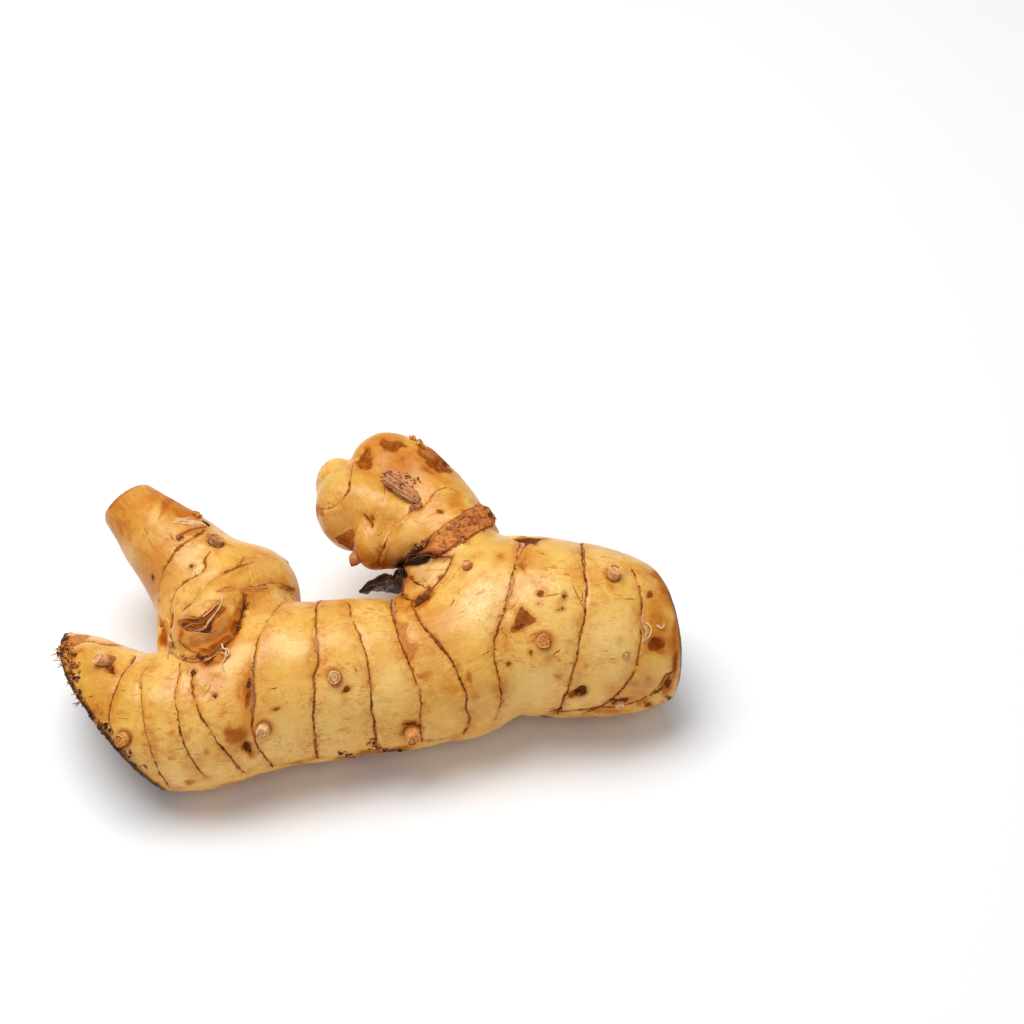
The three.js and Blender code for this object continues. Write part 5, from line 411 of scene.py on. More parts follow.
    # painted shade: the next three rust-brown strips run along the lower edge, just above the floor
    [[1.39, -29.43, 8.56], [0.996, 0.062, 0.062], [-0.087, 0.704, 0.704], 5.35, 1.03, "rust", 0],
    [[-4.13, -30.5, 8.24], [0.99, 0.098, 0.098], [-0.139, 0.7, 0.7], 2.88, 0.82, "rust", 0],
    [[8.42, -29.06, 9.71], [0.996, 0.062, 0.062], [-0.087, 0.704, 0.704], 3.09, 0.82, "rust", 0],
    [[-38.49, 10.98, 32.38], [0.94, 0.242, 0.242], [-0.342, 0.664, 0.664], 2.53, 0.84, "rustsoft", 0],
    [[60.2, -10.89, 29.13], [1.0, 0.0, 0.0], [0.0, 0.707, 0.707], 1.85, 1.64, "orange", 0],
    [[59.74, -14.98, 26.31], [1.0, 0.0, 0.0], [0.0, 0.707, 0.707], 1.64, 1.64, "rust", 0],
    [[59.53, -14.77, 26.7], [1.0, 0.0, 0.0], [0.0, 0.707, 0.707], 2.87, 2.87, "orange", 0],
    [[6.22, 28.95, 38.25], [1.0, 0.0, 0.0], [0.0, 0.707, 0.707], 1.93, 1.29, "orange", 0],
    [[10.52, 27.71, 37.67], [1.0, 0.0, 0.0], [0.0, 0.707, 0.707], 1.71, 1.07, "orange", 0],
    [[-25.31, -36.58, 22.61], [0.94, -0.242, -0.242], [0.342, 0.664, 0.664], 3.0, 2.4, "orangedeep", 0],
    [[-22.89, -30.63, 28.82], [0.996, -0.062, -0.062], [0.087, 0.704, 0.704], 0.8, 2.6, "rust", 0],
    [[-23.48, -30.36, 29.12], [1.0, 0.0, 0.0], [0.0, 0.707, 0.707], 1.8, 2.99, "orange", 0],
    [[-22.61, -37.1, 18.23], [0.966, 0.183, 0.183], [-0.259, 0.683, 0.683], 1.0, 1.81, "rust", 0.1],
    [[-24.27, -37.37, 19.82], [1.0, 0.0, 0.0], [0.0, 0.707, 0.707], 2.4, 1.8, "orange", 0],
    [[-58.24, -26.01, 21.45], [0.906, 0.299, 0.299], [-0.423, 0.641, 0.641], 1.02, 3.25, "rust", 0],
    [[-59.88, -20.39, 23.18], [0.94, 0.242, 0.242], [-0.342, 0.664, 0.664], 1.02, 2.45, "rust", 0],
    [[-54.32, -31.16, 19.87], [0.819, 0.406, 0.406], [-0.574, 0.579, 0.579], 1.21, 2.43, "rust", 0],
    [[-61.64, -15.26, 22.63], [1.0, 0.0, 0.0], [0.0, 0.707, 0.707], 1.65, 2.27, "rust", -0.1],
    [[-50.92, -34.85, 18.02], [0.707, 0.5, 0.5], [-0.707, 0.5, 0.5], 1.01, 2.22, "rust", 0],
    [[-46.43, -38.09, 14.29], [0.766, 0.455, 0.455], [-0.643, 0.542, 0.542], 1.21, 4.44, "rust", 0],
    [[-57.66, -16.29, 23.79], [0.966, 0.183, 0.183], [-0.259, 0.683, 0.683], 2.87, 1.44, "rustsoft", 0],
    [[-35.02, -39.96, 11.57], [1.0, 0.0, 0.0], [0.0, 0.707, 0.707], 1.62, 1.01, "rust", 0],
    # painted shade: a thin rust-brown strip along the lower edge, just above the floor
    [[-24.24, -35.18, 6.65], [0.99, 0.098, 0.098], [-0.139, 0.7, 0.7], 8.19, 0.61, "rustsoft", 0],
    [[-48.98, -29.91, 24.91], [1.0, 0.0, 0.0], [0.0, 0.707, 0.707], 1.21, 2.81, "orangesoft", 0],
    [[-53.32, -23.98, 24.82], [1.0, 0.0, 0.0], [0.0, 0.707, 0.707], 2.03, 2.43, "orangesoft", 0],
    [[-43.44, 18.49, 32.64], [0.866, -0.354, -0.354], [0.5, 0.612, 0.612], 1.7, 2.55, "rust", 0],
    [[-40.11, 16.55, 32.17], [0.906, -0.299, -0.299], [0.423, 0.641, 0.641], 3.19, 1.06, "rust", 0],
    [[-46.94, 19.66, 32.98], [0.766, -0.455, -0.455], [0.643, 0.542, 0.542], 2.13, 3.41, "orange", 0],
    [[-55.51, 21.57, 30.49], [0.906, -0.299, -0.299], [0.423, 0.641, 0.641], 0.86, 2.14, "rust", 0],
    [[-48.46, 12.35, 31.29], [0.866, -0.354, -0.354], [0.5, 0.612, 0.612], 1.69, 3.81, "orangesoft", 0],
    [[-46.85, 4.29, 24.42], [0.966, 0.183, 0.183], [-0.259, 0.683, 0.683], 1.69, 3.38, "pinkorange", 0],
    [[-44.37, 5.53, 29.23], [0.906, 0.299, 0.299], [-0.423, 0.641, 0.641], 1.89, 3.78, "pinkorange", 0],
    [[-37.25, 6.35, 32.0], [0.819, 0.406, 0.406], [-0.574, 0.579, 0.579], 2.93, 1.26, "orangesoft", 0],
    [[-33.83, 3.07, 31.79], [0.819, 0.406, 0.406], [-0.574, 0.579, 0.579], 3.34, 1.04, "orangesoft", 0],
    [[-27.93, -0.77, 31.29], [0.906, 0.299, 0.299], [-0.423, 0.641, 0.641], 2.91, 1.04, "orangesoft", 0],
    [[-31.14, -20.03, 31.95], [1.0, 0.0, 0.0], [0.0, 0.707, 0.707], 6.46, 4.44, "pinkorange", 0],
    [[-34.8, -18.48, 33.23], [1.0, 0.0, 0.0], [0.0, 0.707, 0.707], 3.63, 2.83, "pinkorange", 0],
    [[-27.12, -19.65, 32.13], [0.906, -0.299, -0.299], [0.423, 0.641, 0.641], 1.62, 3.23, "rust", 0],
    [[-29.47, -23.29, 31.67], [0.94, 0.242, 0.242], [-0.342, 0.664, 0.664], 2.81, 1.21, "rustsoft", 0],
    [[-37.6, -15.47, 32.33], [1.0, 0.0, 0.0], [0.0, 0.707, 0.707], 1.22, 1.83, "rustsoft", 0],
    [[-42.0, -11.04, 23.48], [1.0, 0.0, 0.0], [0.0, 0.707, 0.707], 1.03, 3.1, "rust", 0],
    [[-32.12, -17.89, 34.38], [0.99, -0.098, -0.098], [0.139, 0.7, 0.7], 3.23, 1.21, "rust", 0.1],
    [[-25.46, -10.77, 31.42], [0.94, -0.242, -0.242], [0.342, 0.664, 0.664], 1.02, 2.87, "rust", 0],
    [[-27.18, -8.52, 32.6], [0.985, 0.123, 0.123], [-0.174, 0.696, 0.696], 2.05, 1.03, "rustsoft", 0],
    [[6.51, 25.95, 37.57], [0.94, -0.242, -0.242], [0.342, 0.664, 0.664], 2.14, 1.5, "orange", 0],
    [[12.29, 24.65, 37.05], [0.866, -0.354, -0.354], [0.5, 0.612, 0.612], 2.56, 1.28, "rust", 0],
    [[2.34, 6.9, 26.89], [0.94, 0.242, 0.242], [-0.342, 0.664, 0.664], 2.96, 1.27, "rust", 0],
    [[-0.54, 7.09, 28.82], [0.866, 0.354, 0.354], [-0.5, 0.612, 0.612], 2.11, 1.69, "rustsoft", 0],
    [[-3.78, 11.78, 27.32], [1.0, 0.0, 0.0], [0.0, 0.707, 0.707], 2.98, 2.55, "orange", 0],
    [[-1.89, 8.04, 27.84], [0.766, 0.455, 0.455], [-0.643, 0.542, 0.542], 2.54, 1.69, "rustsoft", 0],
    [[-11.55, 19.71, 29.31], [1.0, 0.0, 0.0], [0.0, 0.707, 0.707], 0.64, 2.14, "rust", 0],
    [[-8.36, 14.51, 27.88], [0.766, 0.455, 0.455], [-0.643, 0.542, 0.542], 1.71, 1.71, "rustsoft", 0],
    [[9.36, 13.3, 34.83], [0.94, 0.242, 0.242], [-0.342, 0.664, 0.664], 2.53, 1.48, "rustsoft", 0],
    [[5.55, 11.21, 32.44], [0.707, 0.5, 0.5], [-0.707, 0.5, 0.5], 1.69, 1.05, "orangesoft", 0],
    [[3.19, 16.33, 36.27], [0.766, -0.455, -0.455], [0.643, 0.542, 0.542], 1.27, 2.96, "orangesoft", 0],
    [[0.67, 13.27, 33.66], [1.0, 0.0, 0.0], [0.0, 0.707, 0.707], 1.27, 1.9, "rustsoft", 0],
    [[15.01, 16.48, 36.12], [0.819, -0.406, -0.406], [0.574, 0.579, 0.579], 2.54, 1.06, "orangesoft", 0],
    [[18.87, 13.21, 36.4], [1.0, 0.0, 0.0], [0.0, 0.707, 0.707], 1.68, 1.68, "rustsoft", 0],
    [[12.84, -24.5, 26.65], [1.0, 0.0, 0.0], [0.0, 0.707, 0.707], 1.82, 1.41, "rustsoft", 0],
    [[15.24, -25.95, 24.01], [1.0, 0.0, 0.0], [0.0, 0.707, 0.707], 4.05, 4.45, "orangesoft", 0],
    [[10.6, -20.96, 29.65], [0.94, -0.242, -0.242], [0.342, 0.664, 0.664], 1.01, 2.43, "rustsoft", 0],
    [[19.1, -23.11, 27.51], [0.94, -0.242, -0.242], [0.342, 0.664, 0.664], 1.01, 1.82, "orange", 0],
    [[16.85, -25.73, 23.76], [1.0, 0.0, 0.0], [0.0, 0.707, 0.707], 1.62, 1.22, "orange", 0],
    [[21.52, -24.16, 25.64], [0.985, 0.123, 0.123], [-0.174, 0.696, 0.696], 0.81, 1.82, "rust", 0],
    [[22.71, -25.84, 21.71], [1.0, 0.0, 0.0], [0.0, 0.707, 0.707], 1.02, 1.42, "orange", 0],
    [[9.29, -9.37, 31.11], [0.996, -0.062, -0.062], [0.087, 0.704, 0.704], 4.51, 2.05, "orange", 0],
    [[12.37, -8.45, 31.93], [0.866, 0.354, 0.354], [-0.5, 0.612, 0.612], 2.05, 1.23, "rust", 0],
    [[6.59, -4.8, 28.61], [1.0, 0.0, 0.0], [0.0, 0.707, 0.707], 1.24, 2.49, "rustsoft", 0],
    [[6.4, -14.43, 31.49], [0.985, -0.123, -0.123], [0.174, 0.696, 0.696], 1.02, 1.83, "rustsoft", 0],
    [[32.27, -4.02, 37.39], [0.94, 0.242, 0.242], [-0.342, 0.664, 0.664], 0.82, 1.64, "rust", 0],
    [[34.51, -7.68, 37.09], [0.819, -0.406, -0.406], [0.574, 0.579, 0.579], 2.86, 1.22, "orange", 0],
    [[30.22, -12.61, 34.62], [0.94, 0.242, 0.242], [-0.342, 0.664, 0.664], 1.22, 2.64, "rustsoft", 0],
    [[31.85, -10.13, 36.12], [0.766, 0.455, 0.455], [-0.643, 0.542, 0.542], 1.63, 2.04, "orangesoft", 0],
    [[29.0, -17.72, 29.97], [1.0, 0.0, 0.0], [0.0, 0.707, 0.707], 0.81, 3.25, "orangesoft", 0],
    [[27.78, -24.0, 21.76], [1.0, 0.0, 0.0], [0.0, 0.707, 0.707], 1.43, 2.85, "orange", 0],
    [[23.69, -26.41, 17.69], [0.866, -0.354, -0.354], [0.5, 0.612, 0.612], 2.04, 2.45, "orangesoft", 0],
    [[37.94, -20.6, 27.11], [0.94, 0.242, 0.242], [-0.342, 0.664, 0.664], 2.03, 1.42, "orangesoft", 0],
    [[39.8, -22.02, 23.5], [1.0, 0.0, 0.0], [0.0, 0.707, 0.707], 1.22, 1.02, "orange", 0],
    [[43.11, -22.54, 20.06], [0.94, 0.242, 0.242], [-0.342, 0.664, 0.664], 1.23, 2.86, "orangesoft", 0],
    [[59.53, -14.77, 26.7], [1.0, 0.0, 0.0], [0.0, 0.707, 0.707], 1.84, 1.84, "orange", 0],
    [[56.74, -19.92, 13.86], [0.94, -0.242, -0.242], [0.342, 0.664, 0.664], 4.56, 1.45, "rustsoft", 0],
    [[51.37, -21.6, 18.35], [0.866, -0.354, -0.354], [0.5, 0.612, 0.612], 2.88, 1.64, "orangesoft", 0],
    [[62.68, -2.32, 28.39], [0.94, 0.242, 0.242], [-0.342, 0.664, 0.664], 1.66, 3.75, "rust", 0],
    [[60.96, 3.62, 27.27], [0.819, 0.406, 0.406], [-0.574, 0.579, 0.579], 2.94, 1.68, "rust", 0],
    [[63.83, -12.71, 24.41], [1.0, 0.0, 0.0], [0.0, 0.707, 0.707], 0.82, 6.19, "rust", 0],
    [[62.44, -17.39, 14.09], [0.866, -0.354, -0.354], [0.5, 0.612, 0.612], 1.66, 2.08, "rust", 0],
    # painted shade: the next two thin rust-brown strips run along the lower edge, just above the floor
    [[48.47, -21.14, 11.78], [0.999, -0.025, -0.025], [0.035, 0.707, 0.707], 10.37, 0.62, "rustsoft", 0],
    [[-7.04, -32.04, 10.13], [0.996, 0.062, 0.062], [-0.087, 0.704, 0.704], 10.24, 0.61, "rustsoft", 0],
    [[-14.86, 3.76, 18.79], [1.0, 0.0, 0.0], [0.0, 0.707, 0.707], 0.85, 2.13, "orangesoft", 0],
    [[-4.69, -9.01, 31.02], [1.0, 0.0, 0.0], [0.0, 0.707, 0.707], 0.82, 2.46, "orangesoft", 0],
    [[-19.56, -20.23, 32.77], [0.985, 0.123, 0.123], [-0.174, 0.696, 0.696], 1.21, 4.03, "orangesoft", 0],
    [[-21.6, -5.07, 28.29], [0.94, -0.242, -0.242], [0.342, 0.664, 0.664], 2.9, 2.07, "orangesoft", 0],
    [[-24.74, -36.55, 22.26], [0.866, -0.354, -0.354], [0.5, 0.612, 0.612], 2.6, 2.0, "rust", 0],
    [[-24.37, -36.64, 21.75], [0.866, -0.354, -0.354], [0.5, 0.612, 0.612], 2.0, 1.6, "brownsoft", 0],
    [[-24.92, -36.49, 22.5], [0.94, -0.242, -0.242], [0.342, 0.664, 0.664], 1.8, 1.4, "orangedeep", 0],
    [[-23.01, -36.95, 19.62], [0.906, 0.299, 0.299], [-0.423, 0.641, 0.641], 1.0, 0.72, "rustscar", 0.1],
    [[-22.39, -30.89, 28.51], [0.995, -0.074, -0.074], [0.105, 0.703, 0.703], 0.46, 2.6, "redbrown", 0.05],
    [[-22.32, -29.28, 29.71], [1.0, 0.0, 0.0], [0.0, 0.707, 0.707], 0.52, 1.0, "dark", 0],
    [[-21.74, -34.28, 24.52], [1.0, 0.0, 0.0], [0.0, 0.707, 0.707], 0.44, 1.8, "rust", 0],
    [[60.06, -15.14, 25.73], [1.0, 0.0, 0.0], [0.0, 0.707, 0.707], 1.72, 1.6, "rustscar", 0.3],
    [[59.11, -16.01, 25.62], [0.94, -0.242, -0.242], [0.342, 0.664, 0.664], 1.02, 0.7, "redbrown", 0.05],
    [[60.59, -14.31, 26.19], [1.0, 0.0, 0.0], [0.0, 0.707, 0.707], 0.62, 0.41, "redbrown", 0],
    [[32.86, -15.58, 33.05], [0.985, 0.123, 0.123], [-0.174, 0.696, 0.696], 1.62, 0.91, "redbrown", 0.05],
    [[31.84, -16.25, 32.28], [0.966, 0.183, 0.183], [-0.259, 0.683, 0.683], 1.01, 0.53, "dark", 0.05],
    [[60.31, -7.06, 30.43], [1.0, 0.0, 0.0], [0.0, 0.707, 0.707], 1.03, 0.82, "orange", 0],
    [[61.78, 0.76, 28.24], [0.766, 0.455, 0.455], [-0.643, 0.542, 0.542], 2.09, 1.05, "rust", 0],
    [[-32.92, -18.34, 33.98], [0.99, -0.098, -0.098], [0.139, 0.7, 0.7], 1.61, 0.48, "dark", 0.1],
    [[-35.5, -17.01, 33.71], [0.985, -0.123, -0.123], [0.174, 0.696, 0.696], 1.01, 0.44, "dark", 0.08],
    [[-30.92, -17.79, 34.42], [0.707, 0.5, 0.5], [-0.707, 0.5, 0.5], 1.01, 0.44, "dark", 0.08],
    [[-29.49, -14.83, 35.23], [0.574, 0.579, 0.579], [-0.819, 0.406, 0.406], 1.01, 0.49, "redbrown", 0.08],
    [[-36.95, -15.28, 33.02], [0.985, 0.123, 0.123], [-0.174, 0.696, 0.696], 0.81, 0.49, "redbrown", 0.05],
    [[-29.44, -21.19, 31.73], [0.94, 0.242, 0.242], [-0.342, 0.664, 0.664], 1.41, 1.01, "redbrown", 0],
    [[-27.92, -19.84, 32.03], [0.707, 0.5, 0.5], [-0.707, 0.5, 0.5], 1.41, 0.81, "redbrown", 0],
    [[-31.2, -22.22, 31.37], [0.985, -0.123, -0.123], [0.174, 0.696, 0.696], 1.81, 0.6, "redbrown", 0],
    [[-26.13, -16.61, 32.38], [0.966, -0.183, -0.183], [0.259, 0.683, 0.683], 0.81, 1.62, "redbrown", 0],
    # painted shade: the next four thin strips run along the lower edge, just above the floor
    [[62.17, -15.64, 7.89], [0.809, -0.416, -0.416], [0.588, 0.572, 0.572], 1.68, 0.46, "darksoft", 0],
    [[53.95, -17.59, 6.63], [0.998, -0.049, -0.049], [0.07, 0.705, 0.705], 4.62, 0.42, "darksoft", 0],
    [[45.48, -19.53, 7.95], [0.999, -0.025, -0.025], [0.035, 0.707, 0.707], 5.02, 0.38, "darksoft", 0],
    [[37.37, -17.83, 5.78], [1.0, 0.0, 0.0], [0.0, 0.707, 0.707], 2.94, 0.38, "darksoft", 0],
    [[62.78, -17.21, 15.78], [0.906, -0.299, -0.299], [0.423, 0.641, 0.641], 0.62, 1.04, "dark", 0.1],
    [[60.17, -15.03, 25.76], [1.0, 0.0, 0.0], [0.0, 0.707, 0.707], 1.64, 1.48, "redbrown", 0],
    [[63.9, -15.55, 20.16], [0.996, -0.062, -0.062], [0.087, 0.704, 0.704], 0.5, 2.89, "redbrown", 0],
    # painted shade: the next four thin strips run along the lower edge, just above the floor
    [[-13.19, -32.65, 9.27], [0.995, 0.074, 0.074], [-0.105, 0.703, 0.703], 3.28, 0.53, "darksoft", 0],
    [[-21.4, -32.96, 5.59], [0.99, 0.098, 0.098], [-0.139, 0.7, 0.7], 2.88, 0.54, "darksoft", 0],
    [[-27.27, -37.25, 7.85], [0.99, 0.098, 0.098], [-0.139, 0.7, 0.7], 3.67, 0.45, "darksoft", 0],
    [[13.36, -28.22, 10.63], [0.995, 0.074, 0.074], [-0.105, 0.703, 0.703], 4.11, 0.49, "darksoft", 0],
    [[5.2, -28.4, 23.77], [0.985, -0.123, -0.123], [0.174, 0.696, 0.696], 1.01, 0.61, "orange", 0],
    [[-8.3, -30.75, 25.29], [1.0, 0.0, 0.0], [0.0, 0.707, 0.707], 1.0, 0.4, "orange", 0],
    [[-12.51, -20.18, 32.71], [1.0, 0.0, 0.0], [0.0, 0.707, 0.707], 0.81, 0.4, "orangesoft", 0],
    [[40.0, -22.09, 23.27], [1.0, 0.0, 0.0], [0.0, 0.707, 0.707], 0.69, 0.49, "orange", 0],
    [[49.33, -17.42, 29.64], [1.0, 0.0, 0.0], [0.0, 0.707, 0.707], 0.81, 0.33, "orangesoft", 0],
    [[21.82, 11.44, 35.21], [0.788, -0.435, -0.435], [0.616, 0.557, 0.557], 2.94, 1.05, "redbrown", 0],
    [[24.28, 17.01, 33.22], [0.766, -0.455, -0.455], [0.643, 0.542, 0.542], 1.7, 0.85, "redbrown", 0],
    [[18.5, 8.56, 35.13], [0.809, -0.416, -0.416], [0.588, 0.572, 0.572], 1.88, 0.63, "redbrown", 0],
    [[15.18, 6.29, 34.16], [0.866, -0.354, -0.354], [0.5, 0.612, 0.612], 1.67, 0.5, "redbrown", 0],
    [[19.78, 6.57, 34.77], [0.809, -0.416, -0.416], [0.588, 0.572, 0.572], 1.25, 0.5, "dark", 0],
    [[25.55, 16.21, 31.61], [0.766, -0.455, -0.455], [0.643, 0.542, 0.542], 0.85, 0.64, "dark", 0],
]
# Broad tints: place, radius, kind, strength. The pale ones marked below, on the tops of the limb and neck where the
# overhead light is reflected, are painted highlight.
TINTS = [
    [[-27.6, -30.5, 29.3], 8.8, "pink", 0.12],
    [[-24.1, -33.6, 26.2], 6.0, "pink", 0.05],
    [[-32.5, -37.2, 5.9], 8.2, "pink", 0.25],
    [[-46.1, 3.1, 24.1], 8.4, "pink", 0.5],
    [[-48.4, 7.7, 27.0], 6.3, "pink", 0.35],
    [[-5.2, 13.3, 30.3], 8.5, "pink", 0.5],
    [[6.6, 7.1, 27.6], 7.4, "pink", 0.7],
    [[8.0, -0.5, 31.0], 6.2, "pink", 0.6],
    [[11.2, -3.2, 31.8], 3.1, "pale", 0.85],
    [[-42.0, -5.0, 25.2], 5.2, "pink", 0.45],
    [[-22.6, -9.2, 29.7], 4.9, "pink", 0.45],
    [[-29.7, -19.6, 32.1], 7.1, "pink", 0.5],
    [[-19.2, -30.0, 28.7], 4.4, "pink", 0.12],
    [[13.0, 10.2, 34.9], 6.3, "pink", 0.35],
    [[-56.8, -20.8, 24.2], 8.2, "olive", 1.0],
    [[-52.9, -28.3, 23.6], 7.3, "olive", 0.9],
    [[-47.7, -27.8, 26.2], 6.8, "olive", 0.6],
    [[-41.1, -31.4, 27.3], 5.2, "olive", 0.3],
    [[1.2, 20.1, 37.1], 8.5, "olive", 0.35],
    [[-7.5, 22.3, 36.4], 6.4, "olive", 0.5],
    [[-42.1, 22.2, 30.1], 9.7, "warm", 0.9],
    [[-51.3, 19.9, 32.7], 7.5, "warm", 0.7],
    [[63.0, -5.3, 28.5], 5.4, "warm", 0.9],
    [[64.0, -12.6, 24.3], 4.1, "warm", 1.0],
    [[60.0, 0.3, 30.2], 4.2, "warm", 0.6],
    [[53.2, 7.5, 29.7], 5.1, "warm", 0.4],
    [[17.9, 28.2, 33.1], 5.6, "warm", 0.5],
    [[14.9, 30.3, 34.9], 5.6, "warm", 0.5],
    [[1.8, 32.9, 38.0], 7.3, "warm", 0.8],
    [[6.3, 24.5, 37.2], 8.5, "warm", 0.6],
    [[12.7, 24.7, 37.0], 6.4, "warm", 0.6],
    [[-2.1, 8.6, 26.0], 5.1, "warm", 0.6],
    [[-25.9, -5.2, 31.5], 5.4, "warm", 0.15],
    [[-39.0, 14.3, 32.3], 7.2, "warm", 0.6],
    [[60.6, -11.1, 28.7], 5.3, "warm", 0.8],
    [[56.6, -20.2, 17.3], 5.4, "warm", 0.5],
    [[6.3, 25.7, 37.5], 5.6, "warm", 0.9],
    [[0.2, 27.3, 36.9], 5.1, "warm", 0.6],
    [[-53.3, 17.4, 30.7], 8.5, "warm", 0.8],
    [[-44.8, 5.7, 29.0], 8.4, "warm", 0.7],
    [[-46.1, 3.1, 24.1], 6.3, "warm", 0.5],
    [[-22.0, 1.6, 29.7], 7.1, "pale", 0.25],
    [[50.2, -17.3, 29.5], 10.2, "pale", 0.6],
    # painted highlight: pale on the top of the right limb, where the overhead light is reflected
    [[37.9, -12.8, 35.1], 8.9, "pale", 0.35],
    [[52.5, -2.5, 34.6], 6.2, "pale", 0.1],
    # painted highlight: pale on the top of the neck, where the overhead light is reflected
    [[21.7, -10.7, 34.3], 6.1, "pale", 0.2],
    [[5.6, -27.2, 25.4], 8.1, "pale", 0.4],
    [[-8.3, -30.3, 26.0], 10.0, "pale", 0.3],
    [[-56.6, -23.2, 24.0], 6.9, "warm", 0.1],
    [[-50.3, -35.5, 17.8], 6.0, "olive", 0.5],
    [[13.6, -18.3, 30.6], 8.1, "warm", 0.4],
    [[-7.5, -5.2, 28.5], 8.3, "warm", 0.3],
    [[7.6, -28.2, 23.5], 4.0, "warm", 0.1],
    [[-24.4, 1.3, 30.6], 7.1, "warm", 0.1],
    [[15.6, -14.5, 32.4], 5.1, "warm", 0.4],
    [[9.2, -7.1, 30.5], 3.7, "warm", 0.3],
    [[33.9, -2.4, 37.5], 4.9, "warm", 0.35],
    [[23.7, -25.1, 23.1], 4.5, "warm", 0.35],
    # painted highlight: the next three pale tints, on the tops of the neck and limb, where the overhead light is
    # reflected
    [[17.4, -1.9, 34.0], 6.2, "pale", 0.25],
    [[25.7, -13.3, 33.6], 7.7, "pale", 0.95],
    [[-15.5, -21.4, 32.6], 6.0, "pale", 0.45],
    [[-12.6, -34.0, 18.0], 12.1, "pale", 0.25],
    # painted highlight on the top of the limb
    [[-4.6, -17.3, 32.5], 5.3, "pale", 0.35],
    [[3.6, -28.6, 24.0], 8.1, "pale", 0.4],
    [[36.0, -22.5, 20.1], 12.3, "pale", 0.35],
    # painted highlight on the top of the neck
    [[28.8, -11.3, 34.9], 6.1, "pale", 0.5],
]
# Angular scars: place, corners across and up in millimetres, kind, depth.
PATCHES = [
    [[-31.66, -15.98, 35.21], [[-5.2, -0.86], [-3.18, -0.15], [-1.36, 0.05], [0.25, 1.06], [1.87, 2.48], [3.08, 3.08], [4.09, 2.68], [3.49, 0.86], [2.07, -0.96], [0.66, -2.58], [-1.77, -3.08], [-3.99, -2.58]], "redbrown", 0.18],
    [[8.37, -18.0, 30.97], [[-2.47, 5.22], [-1.15, 4.41], [-0.14, 1.77], [1.08, -1.27], [2.19, -3.9], [1.48, -4.71], [0.16, -2.28], [-1.15, 0.76]], "pinkbrown", -0.12],
    [[32.54, -15.09, 33.39], [[-0.51, 2.7], [1.13, 1.23], [2.96, -0.51], [1.13, -1.2], [-1.4, -2.46], [-1.91, -0.79], [-1.4, 1.03]], "redbrown", 0.2],
    [[-4.64, 12.62, 27.73], [[-2.77, 0.5], [-0.75, 1.67], [1.48, 2.63], [1.65, 0.61], [1.27, -1.52], [0.42, -2.69], [-1.28, -1.2]], "rust", -0.3],
    [[0.14, 13.29, 33.61], [[-1.48, 1.39], [-0.11, 0.34], [0.84, 0.97], [0.86, -1.88], [-0.11, -0.82]], "redbrown", 0.1],
    [[-10.32, 17.91, 31.69], [[-0.99, 1.62], [0.07, 0.45], [0.88, 0.02], [0.5, -1.47], [-0.46, -0.62]], "pinkbrown", 0.1],
    [[33.89, 4.82, 35.63], [[-3.25, 0.55], [-1.17, 1.18], [4.24, 0.66], [2.16, 0.2], [1.33, -0.7], [-0.13, -0.38], [-1.38, -1.32], [-1.79, -0.18]], "dark", 0.15],
]
